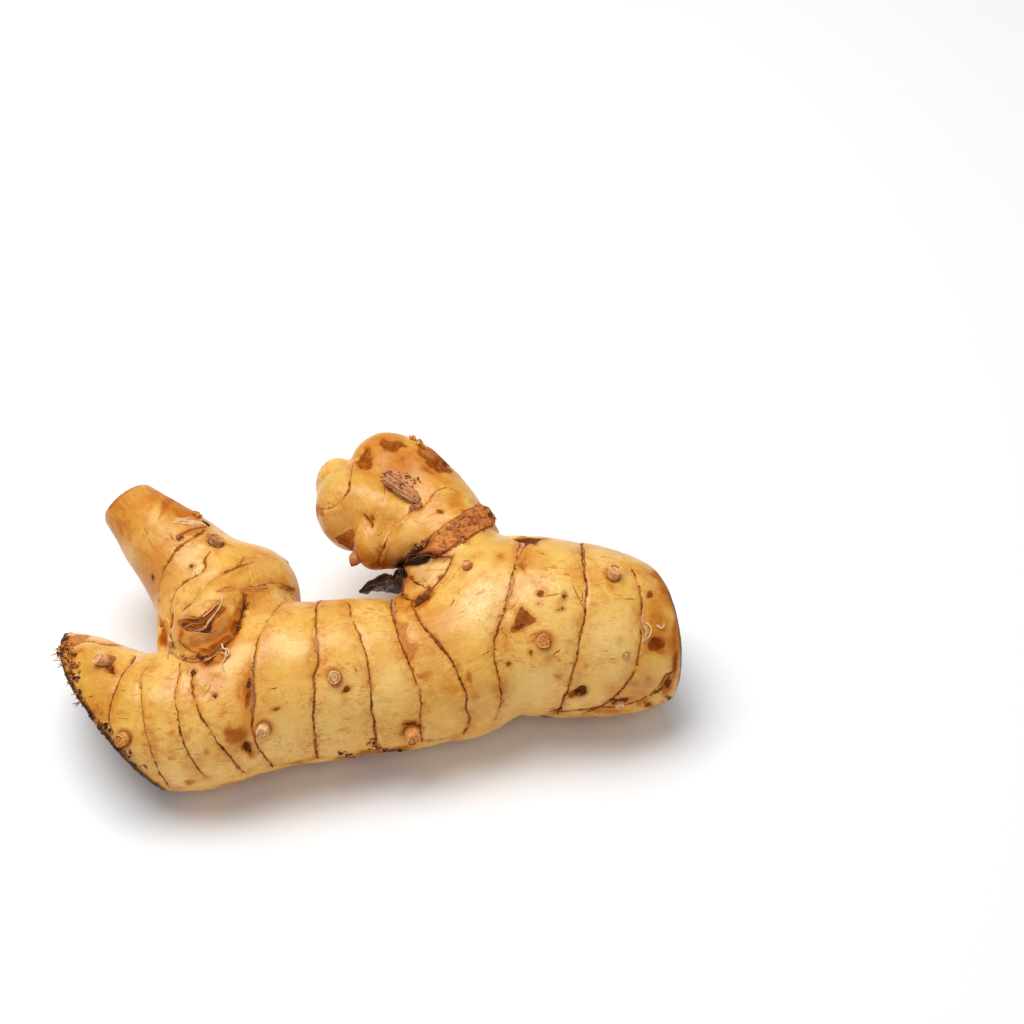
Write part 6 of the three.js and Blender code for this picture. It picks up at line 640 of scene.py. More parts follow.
# Dry fibres: kind, radius at each end, tone from pale 0 to dark 1, points.
STRANDS = [
    ["fray", 0.16, 0.07, 0.25, [[-36.99, -14.98, 33.01], [-35.49, -15.64, 34.32], [-33.71, -16.39, 35.0], [-32.24, -15.9, 35.27]]],
    ["fray", 0.14, 0.06, 0.35, [[-35.71, -17.32, 33.46], [-34.28, -17.3, 34.43], [-32.57, -17.5, 34.78], [-31.17, -16.59, 35.08]]],
    ["fray", 0.15, 0.06, 0.1, [[-32.22, -16.12, 35.15], [-30.87, -14.99, 35.63], [-29.79, -13.12, 35.52], [-28.45, -11.03, 34.24]]],
    ["fray", 0.13, 0.06, 0.55, [[-34.6, -18.3, 33.49], [-32.97, -18.31, 34.3], [-31.5, -18.35, 34.32], [-30.14, -17.11, 34.75]]],
    ["fray", 0.12, 0.05, 0.2, [[-30.94, -17.18, 34.82], [-29.99, -15.68, 35.44], [-29.09, -14.24, 35.37], [-28.73, -12.16, 34.79]]],
    ["fray", 0.12, 0.06, 0.6, [[-37.13, -15.89, 32.8], [-36.24, -17.38, 33.29], [-34.86, -18.4, 33.46]]],
    ["hair", 0.22, 0.1, 0.0, [[-28.25, -20.78, 32.02], [-27.84, -22.25, 32.49], [-26.58, -23.19, 32.97], [-26.8, -24.04, 32.32], [-27.45, -23.67, 32.39], [-28.58, -22.88, 31.96]]],
    ["hair", 0.2, 0.09, 0.05, [[-27.12, -22.99, 32.69], [-27.36, -24.62, 32.03], [-27.86, -25.41, 31.57], [-27.65, -26.58, 31.32], [-27.35, -27.12, 31.04]]],
    ["hair", 0.18, 0.08, 0.1, [[-26.55, -23.43, 32.53], [-26.99, -24.03, 32.06], [-27.58, -24.34, 31.91]]],
    ["hair", 0.3, 0.14, 0.15, [[-39.09, -17.65, 29.9], [-39.64, -18.0, 28.09], [-39.65, -19.5, 27.89], [-39.41, -21.57, 28.58]]],
    ["hair", 0.2, 0.07, 0.25, [[-38.78, -18.18, 30.28], [-39.18, -19.02, 28.64], [-38.15, -20.41, 29.04], [-37.25, -22.28, 29.58]]],
    ["hair", 0.16, 0.06, 0.2, [[-40.97, -11.84, 21.57], [-39.46, -19.15, 28.28], [-37.96, -21.15, 29.39], [-37.68, -20.18, 29.19]]],
    ["hair", 0.2, 0.09, 0.0, [[57.72, -12.75, 29.74], [58.74, -13.52, 28.85], [58.37, -14.75, 27.92], [56.8, -15.99, 27.5]]],
    ["hair", 0.24, 0.1, 0.0, [[59.91, -12.41, 28.49], [60.87, -12.54, 27.91], [61.4, -11.98, 27.77], [61.47, -11.16, 28.0]]],
    ["hair", 0.18, 0.08, 0.05, [[57.12, -13.49, 29.56], [57.68, -14.2, 28.82], [57.45, -15.17, 28.05], [56.69, -16.05, 27.5]]],
    ["hair", 0.2, 0.09, 0.1, [[-29.02, -9.24, 33.14], [-28.92, -12.95, 35.16], [-29.64, -15.13, 35.38], [-30.45, -16.61, 35.18], [-31.21, -17.77, 34.75], [-32.53, -18.49, 34.17], [-34.18, -18.66, 33.43]]],
    ["hair", 0.14, 0.07, 0.1, [[-30.18, -16.14, 35.25], [-31.13, -17.3, 35.06], [-31.5, -18.33, 34.46], [-32.93, -18.8, 33.74]]],
    ["hair", 0.1, 0.06, 0.35, [[-21.8, -27.14, 30.9], [-21.65, -28.6, 30.17], [-21.66, -30.27, 29.03], [-21.5, -31.73, 27.64]]],
    ["hair", 0.1, 0.05, 0.2, [[-35.31, -36.63, 24.53], [-35.03, -37.53, 23.68], [-34.66, -38.09, 22.55]]],
    ["fray", 0.1, 0.05, 0.55, [[5.95, 8.64, 23.0], [6.97, 0.61, 29.24], [7.06, -0.05, 28.4]]],
    ["fray", 0.14, 0.05, 0.75, [[6.72, 9.96, 21.39], [7.02, 0.08, 29.8], [7.2, -0.7, 28.78]]],
    ["fray", 0.09, 0.05, 0.8, [[13.19, 2.47, 34.12], [11.07, 1.01, 34.29], [9.06, 1.26, 33.3]]],
    ["fray", 0.11, 0.05, 0.6, [[14.44, 1.99, 33.91], [11.93, 1.82, 34.5], [9.45, 1.58, 33.69], [7.47, 2.72, 30.45]]],
    ["fray", 0.1, 0.04, 0.5, [[9.13, 7.09, 30.9], [10.54, 6.72, 32.25], [12.12, 6.67, 33.05]]],
    ["fray", 0.12, 0.05, 0.35, [[7.46, 6.91, 28.91], [8.85, 6.84, 30.52], [11.12, 5.41, 32.92]]],
    ["fray", 0.16, 0.07, 0.7, [[6.35, 7.16, 26.92], [7.65, 6.75, 28.36], [9.71, 3.13, 33.3], [11.71, 2.47, 34.02]]],
    ["fray", 0.1, 0.05, 0.4, [[56.38, -12.92, 30.44], [57.04, -13.73, 29.52], [57.14, -14.81, 28.58]]],
]
# Named spots of the surface: place and outward direction.
PLACES = {
    "stub_base": [[10.35, 16.26, 35.45], [-0.079, -0.178, 0.981]],
    "stub_tip": [[4.06, 21.92, 36.73], [0.089, -0.028, 0.996]],
    "stub_mid": [[7.11, 19.1, 36.22], [0.145, -0.124, 0.982]],
    "scale": [[-5.33, 12.99, 27.3], [-0.383, -0.921, -0.071]],
    "smallbud": [[-2.65, 9.47, 26.35], [-0.895, -0.412, -0.17]],
    "smallbud_tip": [[-4.43, 15.47, 21.59], [-0.11, -0.694, -0.711]],
    "top1": [[8.6, 34.03, 37.0], [0.333, 0.42, 0.844]],
    "top2": [[10.14, 32.92, 36.87], [0.403, 0.364, 0.84]],
    "top3": [[11.27, 31.26, 36.96], [0.422, 0.266, 0.867]],
    "bark1": [[-34.31, 14.28, 30.54], [0.33, 0.465, 0.821]],
    "bark0": [[-35.32, 14.98, 30.74], [0.438, 0.347, 0.829]],
    "peel0": [[-40.42, 13.69, 32.64], [0.168, 0.015, 0.986]],
    "peel1": [[-37.94, 13.79, 32.09], [0.281, 0.143, 0.949]],
    "peel2": [[-35.33, 14.23, 31.05], [0.403, 0.301, 0.864]],
    "ridge0": [[-40.04, 9.46, 32.27], [-0.12, -0.106, 0.987]],
    "ridge1": [[-37.21, 10.67, 32.24], [0.156, 0.016, 0.988]],
    "ridge2": [[-34.82, 13.42, 31.11], [0.386, 0.279, 0.879]],
    "flakeo": [[-36.96, 17.49, 30.33], [0.493, 0.443, 0.749]],
    "bit": [[-39.59, 9.05, 32.24], [-0.043, -0.172, 0.984]],
    "tuft0": [[-62.62, -13.23, 21.9], [-0.298, 0.135, 0.945]],
    "tuft1": [[-61.41, -15.33, 22.71], [-0.305, 0.075, 0.949]],
    "tuft2": [[-60.48, -17.35, 23.13], [-0.288, -0.036, 0.957]],
    "tuft3": [[-59.14, -19.38, 23.58], [-0.302, -0.087, 0.949]],
    "tuft4": [[-62.24, -11.63, 21.66], [-0.256, 0.275, 0.927]],
    "rim0": [[-58.61, -22.15, 23.34], [-0.323, -0.255, 0.911]],
    "rim1": [[-57.58, -26.83, 21.94], [-0.693, -0.58, 0.428]],
    "rim2": [[-55.41, -29.85, 20.35], [-0.788, -0.582, -0.203]],
    "rim3": [[-53.81, -31.79, 19.68], [-0.766, -0.627, -0.144]],
    "rim4": [[-51.94, -33.54, 20.05], [-0.529, -0.709, 0.466]],
    "rim5": [[-47.09, -37.34, 18.2], [-0.342, -0.88, 0.33]],
    "rim6": [[-45.32, -38.77, 14.57], [-0.327, -0.945, 0.018]],
    "sc0": [[6.14, 23.31, 36.86], [-0.041, -0.205, 0.978]],
    "sc1": [[7.65, 22.78, 36.79], [0.003, -0.266, 0.964]],
    "sc2": [[10.03, 21.02, 36.42], [-0.007, -0.244, 0.97]],
    "sc3": [[4.43, 23.64, 36.84], [-0.013, -0.152, 0.988]],
    "sc4": [[3.83, 22.5, 36.76], [0.052, -0.033, 0.998]],
    "sc8": [[8.94, 22.02, 36.63], [0.01, -0.265, 0.964]],
    "sc5": [[9.95, 15.26, 35.26], [-0.11, -0.113, 0.987]],
    "sc6": [[9.12, 14.58, 35.04], [-0.109, -0.213, 0.971]],
    "sc7": [[10.78, 15.69, 35.42], [-0.131, -0.13, 0.983]],
    "bandA": [[24.28, 17.01, 33.22], [0.766, 0.173, 0.619]],
    "bandB": [[21.4, 11.28, 35.36], [0.394, -0.112, 0.912]],
    "bandC": [[17.67, 8.08, 35.03], [-0.045, -0.225, 0.973]],
    "bandD": [[11.58, 6.42, 32.53], [-0.515, 0.142, 0.845]],
    "bandE": [[10.12, 5.67, 31.8], [-0.616, 0.423, 0.664]],
    "bandF": [[23.48, 12.31, 34.33], [0.548, 0.035, 0.835]],
    "bandG": [[19.78, 6.57, 34.77], [0.095, -0.124, 0.988]],
    "bandH": [[16.27, 3.83, 34.0], [-0.181, -0.185, 0.966]],
    "bandI": [[25.54, 16.67, 31.45], [0.853, 0.199, 0.483]],
    "bandJ": [[19.12, 9.75, 35.71], [0.108, -0.169, 0.98]],
    "scab0": [[-3.78, -31.39, 10.3], [0.221, -0.909, -0.354]],
    "scab1": [[-2.83, -29.14, 6.58], [0.167, -0.8, -0.576]],
    "scab2": [[2.34, -30.24, 10.82], [0.101, -0.947, -0.306]],
    "scab3": [[4.12, -29.65, 9.8], [0.08, -0.927, -0.365]],
    "scab4": [[6.51, -28.7, 8.31], [0.097, -0.886, -0.454]],
    "scab5": [[1.47, -31.05, 13.73], [0.177, -0.975, -0.132]],
    "scab6": [[-4.89, -32.18, 11.91], [0.222, -0.94, -0.259]],
}
# Points off the surface.
FREE = {
    "stump": [[10.34, 16.99, 35.17], [8.83, 17.35, 36.32], [7.11, 18.32, 37.15], [5.37, 19.79, 37.64], [3.94, 21.44, 37.67]],
    "flake": [[-2.13, 2.95, 22.15], [-1.05, 2.98, 22.74], [0.26, 2.94, 23.55], [1.56, 2.83, 24.28], [2.85, 2.61, 24.91], [4.15, 2.26, 25.41], [5.23, 1.88, 25.88], [6.1, 1.7, 26.55], [6.65, 2.03, 27.73], [6.89, 2.65, 29.2]],
}
FACING = np.array([0.0, 0.70711, -0.70711])  # the way the marks lie through the skin


# ------------------------------------------------------------------ noise
def _table(seed):
    g = np.random.default_rng(seed)
    v = g.normal(size=(4096, 3))
    return v / np.linalg.norm(v, axis=1)[:, None]


_GRAD = _table(7)


def noise(P, size, seed=0):
    """Smooth noise from -1 to 1 with lumps about size millimetres across."""
    q = np.asarray(P, float) / size + seed * 17.31
    i = np.floor(q).astype(np.int64)
    f = q - i
    u = f * f * f * (f * (f * 6 - 15) + 10)
    out = np.zeros(len(q))
    for dx in (0, 1):
        for dy in (0, 1):
            for dz in (0, 1):
                h = ((i[:, 0] + dx) * 73856093) ^ ((i[:, 1] + dy) * 19349663) ^ ((i[:, 2] + dz) * 83492791)
                g = _GRAD[h & 4095]
                d = f - np.array([dx, dy, dz])
                w = (u[:, 0] if dx else 1 - u[:, 0]) * (u[:, 1] if dy else 1 - u[:, 1]) * (u[:, 2] if dz else 1 - u[:, 2])
                out += w * (g * d).sum(1)
    return out * 1.6


def fbm(P, size, octaves=3, seed=0):
    out, a, total = 0, 1.0, 0.0
    for k in range(octaves):
        out = out + a * noise(P, size / 2**k, seed + k)
        total += a
        a *= 0.5
    return out / total


def smoothstep(a, b, x):
    t = np.clip((x - a) / (b - a), 0, 1)
    return t * t * (3 - 2 * t)


# ------------------------------------------------------------------ distance fields
def spline(pts, n):
    """points (N, k) to n samples along a smooth curve through them"""
    pts = np.asarray(pts, float)
    N = len(pts)
    d = np.linalg.norm(np.diff(pts[:, :3], axis=0), axis=1)
    t = np.concatenate([[0], np.cumsum(np.maximum(d, 1e-6))])
    m = np.zeros_like(pts)
    for i in range(N):
        if i == 0:
            m[i] = (pts[1] - pts[0]) / (t[1] - t[0])
        elif i == N - 1:
            m[i] = (pts[-1] - pts[-2]) / (t[-1] - t[-2])
        else:
            a = (pts[i] - pts[i - 1]) / (t[i] - t[i - 1])
            b = (pts[i + 1] - pts[i]) / (t[i + 1] - t[i])
            w = (t[i + 1] - t[i]) / (t[i + 1] - t[i - 1])
            m[i] = a * w + b * (1 - w)
    s = np.linspace(0, t[-1], n)
    k = np.clip(np.searchsorted(t, s, side="right") - 1, 0, N - 2)
    h = t[k + 1] - t[k]
    x = ((s - t[k]) / h)[:, None]
    h = h[:, None]
    return (2 * x**3 - 3 * x**2 + 1) * pts[k] + (x**3 - 2 * x**2 + x) * h * m[k] + (-2 * x**3 + 3 * x**2) * pts[k + 1] + (x**3 - x**2) * h * m[k + 1]


class Limb:
    """A limb of elliptical section along a curve of stations."""

    def __init__(s, stations, n, cap):
        q = spline(stations, n)
        s.c, s.r, s.k, s.cap = q[:, :3], q[:, 3], q[:, 4], cap
        T = np.gradient(s.c, axis=0)
        s.T = T / np.linalg.norm(T, axis=1)[:, None]
        up = np.array([0.0, 0, 1])
        V = up - (s.T @ up)[:, None] * s.T
        s.V = V / np.linalg.norm(V, axis=1)[:, None]
        s.W = np.cross(s.T, s.V)
        s.s = np.concatenate([[0], np.cumsum(np.linalg.norm(np.diff(s.c, axis=0), axis=1))])
        m = s.r.max() * max(1, s.k.max())
        s.lo, s.hi = s.c.min(0) - m, s.c.max(0) + m

    def local(s, P):
        """distance, arc length, and the two coordinates across the limb"""
        out, S, A, B = (np.empty(len(P)) for _ in range(4))
        cc = (s.c**2).sum(1)[None]
        for i in range(0, len(P), 40000):
            p = P[i : i + 40000]
            d2 = (p**2).sum(1)[:, None] + cc - 2 * p @ s.c.T
            j = np.argmin(np.sqrt(np.maximum(d2, 0)) - s.r[None], axis=1)
            t = ((p - s.c[j]) * s.T[j]).sum(1)
            step = s.s[1] * 0.6
            at = np.clip(s.s[j] + np.clip(t, -step, step), 0, s.s[-1])
            r, k = np.interp(at, s.s, s.r), np.interp(at, s.s, s.k)
            f = at / s.s[-1] * (len(s.s) - 1)
            j0 = np.clip(f.astype(int), 0, len(s.s) - 2)
            w = (f - j0)[:, None]
            V, W, T, c = (x[j0] * (1 - w) + x[j0 + 1] * w for x in (s.V, s.W, s.T, s.c))
            dp = p - c
            a, b, t = (dp * W).sum(1), (dp * V).sum(1), (dp * T).sum(1)
            end = (at <= 1e-6) | (at >= s.s[-1] - 1e-6)
            t = np.where(end, t / s.cap, t)
            q = np.sqrt((a / r) ** 2 + (b / (r * k)) ** 2 + (t / r) ** 2) + 1e-9
            out[i : i + 40000] = (q - 1) * np.sqrt(a * a + b * b + t * t) / q
            S[i : i + 40000], A[i : i + 40000], B[i : i + 40000] = at, a, b
        return out, S, A, B

    def __call__(s, P):
        return s.local(P)[0]


class Ball:
    """An ellipsoid."""

    def __init__(s, c, r, ax):
        s.c, s.r, s.ax = np.array(c, float), np.array(r, float), np.array(ax, float)
        s.lo, s.hi = s.c - s.r.max(), s.c + s.r.max()

    def __call__(s, P):
        q = (P - s.c) @ s.ax.T
        n = np.sqrt(((q / s.r) ** 2).sum(1)) + 1e-9
        return (n - 1) * np.sqrt((q**2).sum(1)) / n


def smin(a, b, k):
    h = np.maximum(k - np.abs(a - b), 0) / k
    return np.minimum(a, b) - h * h * k / 4


def smax(a, b, k):
    return -smin(-a, -b, k)


T = {k: Limb(np.array(v["st"]) + np.array([*ORIGIN, 0, 0]), v["n"], v["cap"]) for k, v in TUBES.items()}
B = {k: Ball(np.array(v[0]) + ORIGIN, v[1], v[2]) for k, v in BALLS.items()}
C = {k: (np.array(v[0]) + ORIGIN, np.array(v[1])) for k, v in CUTS.items()}


def half(P, name):
    c = C[name]
    return (P - c[0]) @ c[1]


def field(P):
    """The rhizome's form: below 0 inside."""
    d = T["main"](P)
    d = smin(d, B["swell"](P), 3.0)
    d = smax(d, half(P, "end_cut"), 2.9)
    d = smax(d, smax(half(P, "left_cut"), half(P, "left_cut_b"), 2.0), 1.2)
    f = smax(T["fing"](P), half(P, "tip_cut"), 2.5)
    f = smin(f, B["base_lobe"](P), 4.0)
    f = smin(f, B["base_lobe_b"](P), 3.0)
    f = smin(f, B["under_lobe"](P), 3.0)
    f = smin(f, B["side_lobe"](P), 1.0)
    d = smin(d, B["saddle"](P), 3.0)
    d = smin(d, f, 2.0)
    d = smin(d, T["neck"](P), 3.0)
    k = smin(smin(T["core"](P), B["crown"](P), 4.0), B["crown_b"](P), 4.0)
    k = smin(k, smin(B["cheek"](P), B["cheek_b"](P), 6.0), 4.5)
    k = smin(k, B["roll"](P), 2.0)
    k = smin(k, B["chin"](P), 2.6)
    k = smin(k, B["left_scale"](P), 1.0)
    k = smin(k, T["band"](P), 0.8)
    d = smin(d, k, 1.2)
    d = smin(d, B["bud_top"](P), 2.5)
    d = smin(d, B["facet"](P), 3.0)
    d = smin(d, smin(B["bud"](P), B["bud_b"](P), 2.5), 0.9)
    return smax(d, ORIGIN[2] - P[:, 2], 0.5)


def gradient(P, e=0.05):
    g = np.empty_like(P)
    for k in range(3):
        d = np.zeros(3)
        d[k] = e
        g[:, k] = (field(P + d) - field(P - d)) / (2 * e)
    return g


def unit(v):
    return v / np.maximum(np.linalg.norm(v, axis=-1, keepdims=True), 1e-12)


def project(P, steps=2):
    for _ in range(steps):
        g = gradient(P)
        P = P - g * (field(P) / np.maximum((g * g).sum(1), 0.05))[:, None]
    return P


def surface_nets(lo, hi, h, coarse=4):
    """A closed mesh of quads on field = 0."""
    lo, hi = np.asarray(lo, float), np.asarray(hi, float)
    n = np.ceil((hi - lo) / h / coarse).astype(int) * coarse + 1
    xs = [lo[k] + h * np.arange(n[k]) for k in range(3)]
    G = np.stack(np.meshgrid(*[x[::coarse] for x in xs], indexing="ij"), -1)
    cf = field(G.reshape(-1, 3)).reshape(G.shape[:3])

    def up(a, axis):
        a = np.moveaxis(a, axis, 0)
        m = a.shape[0]
        idx = np.arange((m - 1) * coarse + 1) / coarse
        i = np.minimum(idx.astype(int), m - 2)
        w = (idx - i).reshape((-1,) + (1,) * (a.ndim - 1))
        return np.moveaxis(a[i] * (1 - w) + a[i + 1] * w, 0, axis)

    f = up(up(up(cf, 0), 1), 2).astype(np.float32)
    near = np.abs(f) < coarse * h * 1.3
    f[near] = field(lo + np.argwhere(near) * h)
    s = f < 0
    c = np.zeros([k - 1 for k in f.shape], int)
    for dx in (0, 1):
        for dy in (0, 1):
            for dz in (0, 1):
                c += s[dx : dx + c.shape[0], dy : dy + c.shape[1], dz : dz + c.shape[2]]
    act = (c > 0) & (c < 8)
    idx = -np.ones(c.shape, np.int64)
    cells = np.argwhere(act)
    idx[act] = np.arange(len(cells))
    acc, cnt = np.zeros((len(cells), 3)), np.zeros(len(cells))
    corners = [(0, 0, 0), (1, 0, 0), (0, 1, 0), (1, 1, 0), (0, 0, 1), (1, 0, 1), (0, 1, 1), (1, 1, 1)]
    for a, b in [(0, 1), (2, 3), (4, 5), (6, 7), (0, 2), (1, 3), (4, 6), (5, 7), (0, 4), (1, 5), (2, 6), (3, 7)]:
        ca, cb = np.array(corners[a]), np.array(corners[b])
        fa, fb = f[tuple((cells + ca).T)].astype(float), f[tuple((cells + cb).T)].astype(float)
        x = (fa < 0) != (fb < 0)
        t = np.where(x, fa / np.where(x, fa - fb, 1), 0)
        acc[x] += ca + (cb - ca) * t[x][:, None]
        cnt[x] += 1
    V = lo + (cells + acc / cnt[:, None]) * h
    quads = []
    for ax in range(3):
        o = [k for k in range(3) if k != ax]
        s0, s1 = [slice(None)] * 3, [slice(None)] * 3
        s0[ax], s1[ax] = slice(0, -1), slice(1, None)
        a, b = s[tuple(s0)], s[tuple(s1)]
        e = np.argwhere(a != b)
        e = e[(e[:, o[0]] > 0) & (e[:, o[1]] > 0) & (e[:, o[0]] < f.shape[o[0]] - 1) & (e[:, o[1]] < f.shape[o[1]] - 1)]
        ins = a[tuple(e.T)]
        d0, d1 = np.zeros(3, int), np.zeros(3, int)
        d0[o[0]], d1[o[1]] = 1, 1
        q = np.stack([idx[tuple((e - d0 - d1).T)], idx[tuple((e - d1).T)], idx[tuple(e.T)], idx[tuple((e - d0).T)]], 1)
        keep = ins if ax != 1 else ~ins
        q[~keep] = q[~keep][:, ::-1]
        quads.append(q)
    return V, np.concatenate(quads)


def relax(V, Q, w=0.5):
    """Evens the mesh out along the surface."""
    acc, cnt = np.zeros_like(V), np.zeros(len(V))
    for a, b in ((0, 1), (1, 2), (2, 3), (3, 0)):
        np.add.at(acc, Q[:, a], V[Q[:, b]])
        np.add.at(acc, Q[:, b], V[Q[:, a]])
        np.add.at(cnt, Q[:, a], 1)
        np.add.at(cnt, Q[:, b], 1)
    return V * (1 - w) + w * acc / cnt[:, None]


# ------------------------------------------------------------------ the skin's mesh
_all = list(T.values()) + list(B.values())
LO = np.min([a.lo for a in _all], axis=0) - 2
HI = np.max([a.hi for a in _all], axis=0) + 2
LO[2] = ORIGIN[2] - 1.3
V0, Q0 = surface_nets(LO, HI, CELL)
V0 = project(relax(V0, Q0), 2)
N0 = unit(gradient(V0))

# ------------------------------------------------------------------ lines on it
SAMPLE = 0.35


class Line:
    pass


def make_line(name, closed, w, groove, fringe, rows, seed):
    """A line laid on the surface, sampled closely, with its direction and its raised side."""
    rows = np.array(rows, float)
    rows[:, :3] += ORIGIN
    if closed:
        rows = np.vstack([rows, rows[:1]])
    length = np.linalg.norm(np.diff(rows[:, :3], axis=0), axis=1).sum()
    q = spline(rows, max(6, int(length / SAMPLE)))
    P = project(q[:, :3], 3)
    t = np.arange(len(P)) * SAMPLE
    N = unit(gradient(P))
    D = unit(np.gradient(P, axis=0))
    side = unit(np.cross(N, D))
    k = np.stack([t, t * 0 + seed * 9.7, t * 0], 1)
    wob = 0.16 * noise(k, 1.7, seed) + 0.16 * noise(k, 5.0, seed + 1)
    if not closed:
        wob *= np.clip(np.minimum(t, t[-1] - t) / 2.0, 0, 1)
    P = project(P + side * wob[:, None], 1)
    L = Line()
    L.name, L.closed, L.w, L.groove, L.fringe = name, closed, w, groove, fringe
    L.P, L.N, L.D = P, N, unit(np.gradient(P, axis=0))
    L.side = unit(np.cross(N, L.D))
    L.step = q[:, 3]
    L.dark = np.clip(q[:, 4], 0, 1)
    L.t = t
    L.var = np.clip(0.78 + 0.55 * noise(k, 2.2, seed + 2) + 0.35 * noise(k, 6.0, seed + 3), 0.25, 1.25)
    L.wid = w * np.clip(1.0 + 0.75 * noise(k, 1.5, seed + 4) + 0.4 * noise(k, 7.0, seed + 5), 0.45, 2.0)
    return L


lines = [make_line(*row, seed=n + 1) for n, row in enumerate(LINES)]
for n, pts in enumerate(SCRATCHES):
    if len(pts) > 1:
        rows = [[*p, 0.0, 0.5] for p in pts]
        lines.append(make_line("s%d" % n, 0, 0.10, 0.05, 0.0, rows, seed=n + 200))

LINE_D = np.full(len(V0), 9.0)  # signed distance to the nearest line, in half widths
LINE_MM = np.full(len(V0), 9.0)  # the same in millimetres
LINE_P = np.zeros(len(V0))  # how dark it is there
LINE_F = np.zeros(len(V0))
RISE = np.zeros(len(V0))
SEG = np.zeros(len(V0))  # nearness to a leaf scar, for the stains beside it
for L in lines:
    reach = 1.2 if L.name[0] == "s" else 7.0
    lo_, hi_ = L.P.min(0) - reach, L.P.max(0) + reach
    ids = np.nonzero(((V0 > lo_) & (V0 < hi_)).all(1))[0]
    for c in range(0, len(ids), 6000):
        i = ids[c : c + 6000]
        p = V0[i]
        d2 = (p**2).sum(1)[:, None] + (L.P**2).sum(1)[None] - 2 * p @ L.P.T
        j = np.argmin(d2, axis=1)
        dv = p - L.P[j]
        near = (dv**2).sum(1) < reach * reach
        i, j, dv = i[near], j[near], dv[near]
        if not len(i):
            continue
        along = (dv * L.D[j]).sum(1)
        across = (dv * L.side[j]).sum(1)
        past = np.zeros(len(i))
        if not L.closed:
            past = np.where(((j == 0) & (along < 0)) | ((j == len(L.P) - 1) & (along > 0)), np.abs(along), 0)
        full = np.sqrt(np.maximum((dv**2).sum(1) - (along * (past == 0)) ** 2, 1e-12))
        d = np.where(across < 0, -full, full)
        # the side that faces the same way as the line's own skin, not the far side of a limb
        same = smoothstep(0.0, 0.5, (N0[i] * L.N[j]).sum(1))
        fade = same * np.exp(-((past / 0.9) ** 2))
        st = L.step[j]
        ds = np.where(st >= 0, d, -d)
        rise = np.abs(st) * smoothstep(-0.22, 0.30, ds) * np.exp(-np.maximum(ds, 0) / 2.4)
        rise -= L.groove * np.exp(-((d / 0.36) ** 2)) * (0.45 + 0.55 * L.dark[j])
        if L.name[0] == "r":
            rise -= 0.42 * np.exp(-np.abs(d) / 2.2)
        RISE[i] += rise * fade * np.clip(1 - np.abs(d) / reach, 0, 1) ** 0.5
        if L.name[0] != "s":
            SEG[i] = np.maximum(SEG[i], fade * (0.35 + 0.65 * L.dark[j]) * np.exp(-((d / 2.6) ** 2)))
        nearest = np.abs(d) < np.abs(LINE_MM[i])
        k = i[nearest]
        LINE_MM[k] = d[nearest]
        LINE_D[k] = d[nearest] / L.wid[j[nearest]]
        LINE_P[k] = (L.dark[j] * L.var[j] * same * np.exp(-((past / 0.5) ** 2)) * np.exp(-((d / 1.5) ** 2)))[nearest]
        LINE_F[k] = (L.fringe * L.dark[j] * same * np.exp(-((past / 0.5) ** 2)) * np.exp(-((d / 1.5) ** 2)))[nearest]

# ------------------------------------------------------------------ spots, pits and tints, some of them painted shade and painted highlight
W = {k: np.zeros(len(V0)) for k in ("orange", "brownsoft", "olive", "pink", "pale", "warm", "red", "rust")}
SD = {k: np.full(len(V0), 4.0) for k in ("brown", "redbrown", "pinkbrown", "dark", "rust", "black")}
# the kind of thin strip that runs along the lower edge is painted shade, laid into the soft brown stains
SOFT = {"orange": ("orange", 0.75), "orangedeep": ("orange", 1.0), "orangesoft": ("orange", 0.4), "oranges": ("orange", 0.5), "brownsoft": ("brownsoft", 0.7), "darksoft": ("brownsoft", 1.0), "olive": ("olive", 0.5), "pale": ("pale", 0.8), "pinkorange": ("pink", 0.7), "redsoft": ("red", 1.0), "rust": ("rust", 0.95), "rustsoft": ("rust", 0.5)}
CRISP = {"brown": "brown", "redbrown": "redbrown", "triangle": "redbrown", "pinkbrown": "pinkbrown", "pinkscar": "pinkbrown", "dark": "dark", "black": "black", "rustscar": "rust"}
ROUGH_A = noise(V0, 2.2, 31)
ROUGH_B = noise(V0, 0.9, 32)
for c, u, v, ru, rv, kind, depth in SPOTS:
    c = np.array(c) + ORIGIN
    q = V0 - c
    far = np.abs(q @ FACING) > 1.6 * max(ru, rv) + 1.2
    a, b = (q @ np.array(u)) / ru, (q @ np.array(v)) / rv
    small = min(ru, rv)
    m = np.sqrt(a * a + b * b)
    m = m + (0.24 * ROUGH_A + 0.13 * ROUGH_B) * min(1.0, 0.35 + small / 2.0) + 0.12 * np.sin(3 * np.arctan2(b, a) + 9.0 * (c[0] + c[1]))
    if kind in SOFT:
        name, strength = SOFT[kind]
        w = strength * smoothstep(1.35, 0.35, m) * ~far
        W[name] = np.maximum(W[name], w)
        reachw = smoothstep(1.1, 0.5, m)
    else:
        sd = (m - 1.0) * small
        sd[far] = 4.0
        SD[CRISP[kind]] = np.minimum(SD[CRISP[kind]], sd)
        reachw = smoothstep(1.1, 0.55 if kind == "dark" else 0.8, m)
    if depth:
        RISE -= depth * reachw * ~far
ACROSS, UPWARD = np.array([1.0, 0.0, 0.0]), np.array([0.0, 0.70711, 0.70711])


